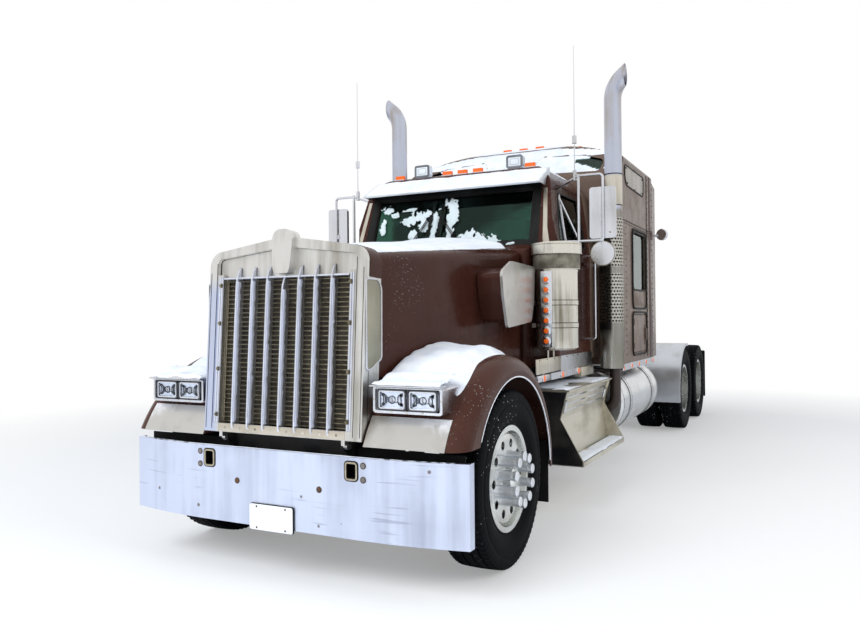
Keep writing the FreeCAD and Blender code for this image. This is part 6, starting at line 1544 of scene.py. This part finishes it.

# %% Behind the shields: mufflers and stays, dark partly with soot and partly as painted shade. Above them: the pale lower ends of the stacks
bm = bmesh.new()
pipe = moved_to(STACK_X, STACK_Y, 0)
set_in(bm, lathe([(0.0735, 1.068), (0.0742, 1.075), (0.0742, 2.505), (0.0735, 2.512)], 40), [pipe])
for z in (1.17, 2.40):
    set_in(bm, block(at(1.09, 2.630, z), at(1.11, 2.668, z + 0.016), 0.002))
    set_in(bm, block(at(1.09, 2.816, z), at(1.11, 2.854, z + 0.016), 0.002))
# The dark skins behind the pierced shields are partly soot and partly painted shade; the same dark finish
# marks the pipe seams.
soot_and_shade = grimy("sooty_steel", rgb(20, 18, 18), rgb(52, 42, 36), 0.6, 0.2, 0.4)
finished("muffler_skins", both_sides(bm), soot_and_shade)
bm = bmesh.new()
set_in(bm, lathe([(0.0800, 2.566), (0.0812, 2.570), (0.0812, 2.842), (0.0800, 2.846)], 40), [pipe])
finished("lower_pipes", both_sides(bm), pipe_cream)
bm = bmesh.new()
set_in(bm, hoop(0.0842, 2.8565, 0.0045, 0.0006), [pipe])
set_in(bm, hoop(0.0815, 2.5660, 0.0040, 0.0010), [pipe])
finished("pipe_seams", both_sides(bm), soot_and_shade)
print("mufflers behind their shields")

# %% [markdown]
# ## The sleeper's side
# The big flat wall is broken up by a bolted vent panel, thick rubber gaskets with round corners, two seams
# and rows of rivets. All are drawn flat as seen from the side and then set against the wall by one matrix.
# The rivets are domes of eight faces round, because there are hundreds. A round lamp looks back from the
# wall's rear edge.

# %% Wall matrix and fittings
WALL = moved_to(1.170, 0, 0) @ SIDE_TURN


def span(y0, y1, z0, z1):
    """The corners of a rectangle between two pairs of limits."""
    return [(y0, z0), (y1, z0), (y1, z1), (y0, z1)]


def on_wall(bm, part, proud=0.0, spots=((0, 0),)):
    """Sets a part that is drawn in (along, up) on the left wall, at one place or several."""
    set_in(bm, part, [WALL @ Matrix.Translation((y, z, proud)) for y, z in spots])


vent = [(3.150, 2.812), (3.930, 2.800), (3.950, 3.018), (3.075, 3.018), (3.075, 2.880)]
bm = bmesh.new()
on_wall(bm, rounded_plate(vent, 0.0030, 0.035, 0.001))
vent_grey = metal("vent_grey", rgb(176, 172, 166), rgb(128, 122, 114), 0.4, (1, 1, 0.4), 6.0, 0.7)
finished("vent_panels", both_sides(bm), vent_grey)

bm = bmesh.new()
on_wall(bm, frame_ring(vent, 0.012, 0.0090, 0.035, 0.003))
on_wall(bm, frame_ring(span(3.362, 4.058, 1.604, 2.426), 0.020, 0.015, 0.085, 0.005))
on_wall(bm, frame_ring(span(3.386, 4.034, 1.795, 2.397), 0.016, 0.011, 0.066, 0.004))
on_wall(bm, frame_ring(span(3.350, 4.060, 1.130, 1.584), 0.020, 0.015, 0.080, 0.005))
on_wall(bm, block((2.90, 2.462, -0.001), (4.40, 2.470, 0.0040), 0.0016))
on_wall(bm, block((4.100, 1.10, -0.001), (4.108, 3.06, 0.0050), 0.0016))
finished("wall_gaskets", both_sides(bm), black_trim)
print("vents, gaskets and seams")

# %% Lower window panel, corner strip and small plates
bm = bmesh.new()
on_wall(bm, rounded_plate(span(3.398, 4.022, 1.640, 1.786), 0.002, 0.05, 0.001))
on_wall(bm, rounded_plate(span(3.905, 3.975, 1.098, 1.140), 0.0025, 0.006, 0.001))
finished("wall_panels", both_sides(bm), finishes["sleeper_paint"])

bm = bmesh.new()
on_wall(bm, rounded_plate(span(4.232, 4.392, 1.085, 3.075), 0.0022, 0.012, 0.001))
finished("corner_strips", both_sides(bm), finishes["brown_paint"])
print("panels and corner strips")

# %% Rivets and screws
RIVET_PITCH = 0.062


def dome(radius, height, steps=8):
    """A low round head."""
    return lathe([(0, height), (radius * 0.6, height * 0.8), (radius, 0)], steps)


spots = [(3.11, 1.16 + i * RIVET_PITCH) for i in range(21)]
spots += [(4.135, 1.16 + i * RIVET_PITCH) for i in range(31)]
spots += [(2.98 + i * 0.075, 2.440) for i in range(19)]
spots += [(4.412, 1.16 + i * RIVET_PITCH) for i in range(31)]
bm = bmesh.new()
on_wall(bm, dome(0.0080, 0.0050), 0.0, spots)
rivet_paint = brown_paint("rivet_paint", rgb(44, 34, 30), rgb(120, 104, 92), 3.0, 0.4, 0.4)
finished("wall_rivets", both_sides(bm), rivet_paint)
bm = bmesh.new()
corners = [(3.13, 2.985), (3.895, 2.985), (3.895, 2.838), (3.185, 2.845), (3.52, 2.822)]
on_wall(bm, dome(0.0125, 0.0080, 14), 0.003, corners)
finished("vent_screws", both_sides(bm), black_trim)
print(len(spots) * 2, "rivets")

# %% Side lamp on the extender, baggage door handle
bm = bmesh.new()
lamp = lathe([(0.0, 0.062), (0.028, 0.058), (0.052, 0.040), (0.066, 0.012), (0.066, -0.010),
              (0.058, -0.018), (0, -0.020)], 28)
set_in(bm, lamp, [turned_to((0.25, 1, 0), at(1.238, 4.650, 2.470))])
set_in(bm, barrel(at(1.112, 4.640, 2.452), at(1.190, 4.645, 2.462), 0.014, segments=14))
set_in(bm, block(at(1.108, 4.600, 2.420), at(1.134, 4.690, 2.490), 0.004))
finished("side_lamps", both_sides(bm), bright_steel)
for side, s in SIDES:
    bm = bmesh.new()
    on_wall(bm, frame_ring(span(3.925, 3.975, 1.235, 1.440), 0.006, 0.0022, 0.012, 0.0008))
    if s < 0:
        flipped(bm)
    finished("bay_handle_pan_" + side, bm, black_trim, "bay_door_" + side)
print("side lamps and handle pans")

# %% [markdown]
# ## Cab doors
# Each door has a rubber seal round its window and a bright post for the quarter light at its front. The
# door itself is CAD. The seal follows the glass, which leans in at the top, so it is drawn flat and leaned
# by a matrix. The mirrors hang on the doors, so the trim on their backs rides on the doors too.

# %% Door window seals and posts
LEAN = math.atan2(0.955 - 0.872, 2.680 - 2.110)
DOOR_FACE = moved_to(0.958, 0, 2.110) @ Matrix.Rotation(-LEAN, 4, "Y") @ SIDE_TURN
pane = [(1.672, 0.052), (2.436, 0.022), (2.436, 0.482), (1.822, 0.482)]
for side, s in SIDES:
    seal, post = bmesh.new(), bmesh.new()
    set_in(seal, frame_ring(pane, 0.014, 0.006, 0.045, 0.003),
           [DOOR_FACE @ Matrix.Translation((0, 0, -0.003))])
    set_in(post, block((1.862, 0.050, -0.012), (1.886, 0.478, 0.0015), 0.003), [DOOR_FACE])
    set_in(post, block((1.842, 0.050, -0.013), (1.850, 0.478, -0.001), 0.002), [DOOR_FACE])
    for bm in (seal, post):
        if s < 0:
            flipped(bm)
    finished("window_seal_" + side, seal, black_trim, "door_" + side)
    finished("quarter_post_" + side, post, bright_steel, "door_" + side)
print("door windows trimmed")

# %% Mirror backs
for side, s in SIDES:
    bm = bmesh.new()
    set_in(bm, block(at(s * 1.279, 1.7585, 2.215), at(s * 1.290, 1.7665, 2.545), 0.003))
    set_in(bm, dome(0.007, 0.004, 12), [moved_to(s * 1.345, 1.766, 2.215) @ FACE_ON])
    set_in(bm, hoop(0.0975, 0.0, 0.003, 0.0035), [moved_to(s * 1.285, 1.760, 2.045) @ FACE_ON])
    finished("mirror_trim_" + side, bm, finishes["grille_steel"], "door_" + side)
print("mirror backs trimmed")

# %% [markdown]
# ## Steps, tanks and fenders
# The box step is folded tread plate with pressed ribs on its face and black latches at its corners. The
# tank hangs in thin dark-edged straps. White frost outlines the wheel openings, a thin bead swept along the
# same arc as the edge.

# %% Step ribs, latches and tread
upper = math.atan2(1.120 - 1.062, 0.968 - 0.742)
face = moved_to(1.050, 0, 0.742) @ Matrix.Rotation(upper, 4, "Y") @ SIDE_TURN
ribs, latches = bmesh.new(), bmesh.new()
for y0, y1 in ((1.40, 1.92), (2.02, 2.54)):
    for h in (0.055, 0.110, 0.165):
        set_in(ribs, block((y0, h - 0.008, -0.002), (y1, h + 0.008, 0.0045), 0.003), [face])
rings = bmesh.new()
for y in (1.365, 2.560):
    set_in(latches, rounded_plate(span(y - 0.021, y + 0.021, 0.040, 0.150), 0.004, 0.020), [face])
    set_in(rings, frame_ring(span(y - 0.017, y + 0.017, 0.045, 0.145), 0.008, 0.012, 0.0165, 0.003), [face])
finished("step_ribs", both_sides(ribs), finishes["aluminium"])
finished("step_latches", both_sides(latches), black_trim)
finished("step_latch_rings", both_sides(rings), bright_steel)
# Black plates over the step ends are painted shade.
bm = bmesh.new()
end = [(0.455, 0.950), (1.110, 0.950), (1.055, 0.742), (1.163, 0.552), (1.230, 0.428), (1.230, 0.394),
       (0.552, 0.394), (0.455, 0.700)]
set_in(bm, rounded_plate(end, 0.001, 0.0), [moved_to(0, 1.2995, 0) @ FACE_ON])
finished("step_end_shades", both_sides(bm), finishes["black_paint"])

bm = bmesh.new()
stud = lathe([(0.0045, 0.0038), (0.0062, 0.0038), (0.0075, 0.0)], 6)
set_in(bm, stud, [moved_to(1.075 + 0.034 * i, 1.335 + 0.042 * j, 0.425) for i in range(5)
                  for j in range(31)])
finished("tread_studs", both_sides(bm), finishes["aluminium"])
print("steps finished")

# %% Tank straps, seams and cap; frost on the wheel openings
tank = moved_to(0.878, 0, 0.705) @ Matrix.Rotation(-math.pi / 2, 4, "X")
bm = bmesh.new()
for y in (3.160, 3.220, 4.200, 4.260):
    set_in(bm, hoop(0.3145, y, 0.0035, 0.0015), [tank])
for y in (2.905, 4.515):
    set_in(bm, hoop(0.3100, y, 0.0020, 0.0015), [tank])
finished("tank_strap_edges", both_sides(bm), black_trim)
bm = bmesh.new()
cap = lathe([(0, 0.020), (0.030, 0.019), (0.050, 0.014), (0.056, 0.004), (0.056, -0.010)], 20)
set_in(bm, cap, [moved_to(0.968, 3.420, 1.044)])
set_in(bm, block(at(0.925, 3.412, 1.055), at(1.011, 3.428, 1.074), 0.004))
finished("tank_caps", both_sides(bm), bright_steel)


def bead_along(centre, radius, start, stop, thick, steps):
    """A round bead swept about a line along X, between two angles from straight up toward the rear."""
    bm = bmesh.new()
    ring = bmesh.ops.create_circle(bm, segments=8, radius=thick)["verts"]
    bmesh.ops.rotate(bm, verts=ring, cent=(0, 0, 0), matrix=Matrix.Rotation(math.pi / 2, 3, "X"))
    bmesh.ops.translate(bm, verts=ring, vec=(0, 0, radius))
    bmesh.ops.rotate(bm, verts=ring, cent=(0, 0, 0), matrix=Matrix.Rotation(-math.radians(start), 3, "X"))
    bmesh.ops.spin(bm, geom=bm.verts[:] + bm.edges[:], cent=(0, 0, 0), axis=(-1, 0, 0),
                   angle=math.radians(stop - start), steps=steps, use_merge=False)
    bm.transform(Matrix.Translation(centre))
    return bm


bm = bmesh.new()
set_in(bm, bead_along(at(1.1935, 0, 0.530), 0.6385, -60, 88, 0.0048, 60))
finished("fender_frost", both_sides(bm), snow, "hood")
print("straps, caps and frost")

# %% [markdown]
# ## Trim along the sill
# A polished plate runs under the air cleaner and the door, hung from the canister's foot, and a bright box
# closes the lamp rail behind. Seven small dark screws hold the plate.

# %% Sill plate, hangers and the box behind the rail
bm = bmesh.new()
set_in(bm, block(at(0.955, 1.030, 1.098), at(0.9655, 1.640, 1.214), 0.003))
set_in(bm, block(at(0.930, 2.120, 1.012), at(1.0005, 2.500, 1.094), 0.004))
for y in (1.330, 1.470):
    set_in(bm, block(at(0.950, y, 1.190), at(0.956, y + 0.030, 1.300), 0.002))
finished("sill_plates", both_sides(bm), pipe_cream)
bm = bmesh.new()
for y in (1.10, 1.28, 1.46, 1.62, 1.80, 1.98, 2.14):
    set_in(bm, dome(0.0055, 0.0035, 10), [turned_to((1, 0, 0), at(0.9655, y, 1.203))])
finished("sill_screws", both_sides(bm), black_trim)
print("sill trimmed")

# %% [markdown]
# ## Nut covers
# The steer wheels wear long chromed covers on their nuts, waisted like a vase and flared at the tip. CAD
# has them as slim bars; each gets a fuller skin here, one spun outline set ten times round the hub.

# %% Flared covers on the steer wheels
cover_chrome = metal("cover_chrome", rgb(228, 232, 238), rgb(150, 146, 140), 0.3, (1, 1, 1), 12.0, 0.35)
NUT_CIRCLE_R = 0.1429
sleeve = lathe([(0.0305, 0.0), (0.0300, 0.014), (0.0272, 0.034), (0.0250, 0.072), (0.0270, 0.094),
                (0.0302, 0.099), (0.0302, 0.1170), (0.0260, 0.1212), (0.0, 0.1222)], 20)
for side, s in SIDES:
    bm = bmesh.new()
    outward = Matrix.Translation((0, 0, NUT_CIRCLE_R)) @ Matrix.Rotation(s * math.pi / 2, 4, "Y")
    hub = moved_to(s * 1.126, 0, TYRE_R)
    set_in(bm, sleeve.copy(), [hub @ Matrix.Rotation(math.radians(36 * i), 4, "X") @ outward
                               for i in range(10)])
    finished("nut_covers_" + side, bm, cover_chrome, "front_wheel_" + side)
sleeve.free()
print("ten covers a wheel")

# %% [markdown]
# ## Seats and bunk
# A truck seat is a stuffed cushion on a suspension box, a tall stuffed back and a headrest. Stuffing is
# what gives it its shape, so each pad starts as a slightly small rounded block, is remeshed into an even
# skin, and is blown up by Blender's cloth solver with no gravity. Its moves are capped so that it stays in
# its place. Seams are pressed in after that. One seat is made and copied, for both are alike.

# %% Stuffed pads
PRESSURE = 4.0
SETTLING_FRAMES = 20


def stuffed(bm, voxel, cap, rest=None):
    """Blows up a closed bmesh into a pad and returns it. Points below the rest height don't sink."""
    mesh = bpy.data.meshes.new("stuffing")
    bm.to_mesh(mesh)
    bm.free()
    pad = bpy.data.objects.new("stuffing", mesh)
    SCENE.collection.objects.link(pad)
    remesh = pad.modifiers.new("even", "REMESH")
    remesh.mode = "VOXEL"
    remesh.voxel_size = voxel
    even = bpy.data.meshes.new_from_object(pad.evaluated_get(bpy.context.evaluated_depsgraph_get()))
    pad.modifiers.clear()
    pad.data = even
    before = [v.co.copy() for v in even.vertices]
    cloth = pad.modifiers.new("cloth", "CLOTH")
    cloth.settings.use_pressure = True
    cloth.settings.uniform_pressure_force = PRESSURE
    cloth.settings.effector_weights.gravity = 0.0
    cloth.point_cache.frame_end = SETTLING_FRAMES
    for frame_number in range(1, SETTLING_FRAMES + 1):
        SCENE.frame_set(frame_number)
    blown = pad.evaluated_get(bpy.context.evaluated_depsgraph_get()).data
    after = [v.co.copy() for v in blown.vertices]
    SCENE.frame_set(1)
    pad.modifiers.clear()
    for v, start, end in zip(even.vertices, before, after):
        move = end - start
        if move.length > cap:
            move *= cap / move.length
        if rest is not None:
            low = smooth((start.z - rest) / 0.03)
            move.z = move.z * low if move.z < 0 else move.z
        v.co = start + move
    made = bmesh.new()
    made.from_mesh(even)
    bpy.data.objects.remove(pad)
    return made


def seam(bm, which, place, width, depth, facing):
    """Presses a sewn line into the faces that look one way, across one axis of a pad."""
    bm.normal_update()
    facing = Vector(facing)
    for v in bm.verts:
        if v.normal.dot(facing) > 0.3:
            v.co -= facing * depth * math.exp(-((v.co[which] - place) / width) ** 2)


cloth_tan = woven("cloth_tan", rgb(122, 110, 98), rgb(88, 78, 68))
print("pad maker ready")

# %% Cushion, back and headrest
def padded(name, bm, material):
    piece = finished(name, bm, material, angle=180)


def seat_pads():
    """The cushion, and the back and headrest that lean on one axis."""
    lean = Matrix.Rotation(math.radians(-8.5), 4, "X")
    cushion = stuffed(block((-0.232, 0.012, 0.022), (0.232, 0.435, 0.128), 0.035, 3), 0.009, 0.020, 0.03)
    for x in (-0.105, 0.105):
        seam(cushion, 0, x, 0.006, 0.008, (0, 0, 1))
    seam(cushion, 1, 0.10, 0.006, 0.007, (0, 0, 1))
    back = stuffed(block((-0.222, -0.030, 0.035), (0.222, 0.045, 0.50), 0.030, 3), 0.009, 0.020)
    for x in (-0.10, 0.10):
        seam(back, 0, x, 0.006, 0.007, (0, -1, 0))
    seam(back, 2, 0.36, 0.006, 0.006, (0, -1, 0))
    head = stuffed(block((-0.125, -0.026, 0.545), (0.125, 0.034, 0.675), 0.025, 3), 0.009, 0.014)
    seam(head, 2, 0.61, 0.005, 0.005, (0, -1, 0))
    for part in (back, head):
        part.transform(lean)
    return cushion, back, head


SEAT_X = 0.450
cushion, back, head = seat_pads()
pads = ((cushion, "seat_cushion_", 1.995, 1.462), (back, "seat_back_", 2.452, 1.580),
        (head, "headrest_", 2.452, 1.580))
for side, s in SIDES:
    for part, name, y, z in pads:
        copy = part.copy()
        copy.transform(moved_to(s * SEAT_X, y, z))
        padded(name + side, copy, cloth_tan)
for part in (cushion, back, head):
    part.free()
print("two seats padded")

# %% Suspension boxes, bellows, pans, back brackets and headrest posts
bm = bmesh.new()
for x in (SEAT_X, -SEAT_X):
    set_in(bm, block(at(x - 0.168, 2.062, 1.176), at(x + 0.168, 2.398, 1.300), 0.018))
    for i in range(5):
        low = at(x - 0.150 + 0.006 * (i % 2), 2.078, 1.300 + 0.026 * i)
        set_in(bm, block(low, at(x + 0.150, 2.382, 1.322 + 0.026 * i), 0.009))
    set_in(bm, block(at(x - 0.200, 2.030, 1.430), at(x + 0.200, 2.420, 1.464), 0.010))
    set_in(bm, block(at(x - 0.215, 2.395, 1.470), at(x + 0.215, 2.440, 1.600), 0.012))
    for post in (-0.06, 0.06):
        set_in(bm, barrel(at(x + post, 2.535, 2.060), at(x + post, 2.550, 2.150), 0.006, segments=10))
finished("seat_frames", bm, finishes["dash_plastic"], replaces=["seats"])
print("seat frames set")

# %% Bunk: base board, legs and mattress
bm = bmesh.new()
set_in(bm, block(at(-1.125, 3.640, 1.582), at(1.125, 4.385, 1.638), 0.006))
for x in (-0.560, 0.560):
    set_in(bm, block(at(x - 0.020, 3.645, 1.115), at(x + 0.020, 4.385, 1.582), 0.004))
finished("bunk_base", bm, finishes["dash_plastic"], replaces=["bunk"])
mattress = stuffed(block(at(-1.085, 3.672, 1.652), at(1.085, 4.362, 1.748), 0.030, 3), 0.016, 0.018, 1.66)
for x in (-0.72, -0.24, 0.24, 0.72):
    seam(mattress, 0, x, 0.014, 0.008, (0, 0, 1))
for y in (3.90, 4.13):
    seam(mattress, 1, y + FRONT_AXLE_Y, 0.014, 0.008, (0, 0, 1))
padded("mattress", mattress, finishes["seat_cloth"])
print("bunk made")

# %% [markdown]
# ## Dashboard
# Six round gauges stand before the driver and three slatted air outlets beside them. All are drawn flat and
# laid on the slope of the dashboard by one matrix. The rings are spun, the outlets are frames with blocks
# across them.

# %% Instruments
vents, rings, dials = bmesh.new(), bmesh.new(), bmesh.new()
DASH_FACE = moved_to(0, 1.664, 1.965) @ Matrix.Rotation(math.radians(24.8), 4, "X") @ FACE_ON
gauges = [(0.34, 0.046), (0.45, 0.046), (0.56, 0.046), (0.66, 0.034), (0.24, 0.034), (0.10, 0.034)]
for x, r in gauges:
    outline = [(r - 0.006, -0.006), (r - 0.006, 0.006), (r - 0.002, 0.009), (r, 0.006), (r, -0.006)]
    set_in(rings, lathe(outline, 28, closed=True), [DASH_FACE @ Matrix.Translation((x, 0, 0))])
    dial = lathe([(0, 0.002), (r - 0.006, 0.002), (r - 0.006, -0.006)], 24)
    set_in(dials, dial, [DASH_FACE @ Matrix.Translation((x, 0, 0))])
finished("gauge_rings", rings, bright_steel)
finished("gauge_dials", dials, black_trim)
for x in (-0.62, -0.40, -0.16):
    frame_part = frame_ring(span(x - 0.07, x + 0.07, -0.03, 0.03), 0.010, 0.008, 0.012, 0.002)
    set_in(vents, frame_part, [DASH_FACE])
    for i in range(4):
        slat = block((x - 0.060, -0.020 + 0.012 * i, 0), (x + 0.060, -0.016 + 0.012 * i, 0.006))
        set_in(vents, slat, [DASH_FACE])
finished("dash_vents", vents, black_trim)
print(len(gauges), "gauges")

# %% [markdown]
# ## Rear of the truck
# The tail bar carries round red lamps in rubber rings. The mud flaps hang by a row of bolts under a strip,
# and the frame rails show the heads of the bolts that hold every bracket. The deck plate is studded for
# grip. All are small round pieces set in rows.

# %% Tail lamps, flap bolts and frame bolts
rims, domes = bmesh.new(), bmesh.new()
lamps = [turned_to(BACKWARD, at(x, 8.6905, 0.675)) for x in (-0.345, -0.235, 0.235, 0.345)]
ring = lathe([(0.036, -0.004), (0.036, 0.008), (0.044, 0.010), (0.050, 0.004), (0.050, -0.004)], 28,
             closed=True)
set_in(rims, ring, lamps)
set_in(domes, lathe([(0, 0.018), (0.018, 0.016), (0.030, 0.010), (0.036, 0.002), (0.036, -0.002)], 24), lamps)
finished("tail_lamp_rings", rims, black_trim)
finished("tail_lamps", domes, red_lens)
bm = bmesh.new()
bolt = barrel((0, 0, -0.002), (0, 0, 0.009), 0.011, segments=6, edge=0.0015)
spots = [turned_to(BACKWARD, at(s * (0.66 + 0.095 * i), 8.5195, 0.930)) for i in range(6) for s in (-1, 1)]
set_in(bm, bolt, spots)
bolt = barrel((0, 0, -0.002), (0, 0, 0.012), 0.013, segments=6, edge=0.0015)
spots = [turned_to((s, 0, 0), at(s * 0.430, y, z)) for s in (-1, 1) for z in (0.790, 0.930)
         for y in (5.02, 5.14, 5.34, 5.86, 7.10, 7.24, 8.28, 8.44, 8.60)]
set_in(bm, bolt, spots)
finished("frame_bolts", bm, finishes["forged_steel"])
print(len(spots), "frame bolts")

# %% Deck studs
bm = bmesh.new()
stud = lathe([(0.0050, 0.0032), (0.0070, 0.0030), (0.0085, 0.0)], 6)
deck = [moved_to(-0.36 + 0.06 * i, 4.56 + 0.065 * j, 1.0105) for i in range(13) for j in range(15)]
set_in(bm, stud, deck)
finished("deck_studs", bm, finishes["aluminium"])
print(len(deck), "studs on the deck")

# %% [markdown]
# ## The studio floor
# A plain pale floor takes the truck's shadow and nothing else. A single plane far wider than the view is
# enough. Far out, where only the camera sees it, the paper glows white, so no horizon line shows behind the
# wheels.

# %% Floor
def studio_floor():
    bm = bmesh.new()
    bmesh.ops.create_grid(bm, x_segments=1, y_segments=1, size=60)
    mesh = bpy.data.meshes.new("studio_floor")
    bm.to_mesh(mesh)
    bm.free()
    floor = bpy.data.objects.new("studio_floor", mesh)
    material, tree, shader = new_finish("floor_paper", rgb(246, 247, 249), 0.9)
    paper = blended(tree, clouds(tree, 0.4), rgb(245, 246, 248), rgb(250, 250, 252))
    tree.links.new(paper, shader.inputs["Base Color"])
    spot = tree.nodes.new("ShaderNodeTexCoord")
    reach = tree.nodes.new("ShaderNodeVectorMath")
    reach.operation = "LENGTH"
    tree.links.new(spot.outputs["Object"], reach.inputs[0])
    rays = tree.nodes.new("ShaderNodeLightPath")
    far = between(tree, reach.outputs["Value"], 5.0, 9.0, 0.3, 1.0)
    share = maths(tree, "MULTIPLY", far, rays.outputs["Is Camera Ray"])
    glow = tree.nodes.new("ShaderNodeEmission")
    both = tree.nodes.new("ShaderNodeMixShader")
    tree.links.new(share, both.inputs["Fac"])
    tree.links.new(shader.outputs["BSDF"], both.inputs[1])
    tree.links.new(glow.outputs["Emission"], both.inputs[2])
    tree.links.new(both.outputs["Shader"], tree.nodes["Material Output"].inputs["Surface"])
    mesh.materials.append(material)
    SCENE.collection.objects.link(floor)
    floor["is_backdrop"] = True


studio_floor()
print("floor laid")

# %% [markdown]
# ## Finish
# The dressed truck should keep to its CAD box, so its box is measured at the end. Small fittings on the
# bumper's face stand past it, the blank plate's screws the most, by 18 mm.

# %% Sizes
low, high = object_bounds()
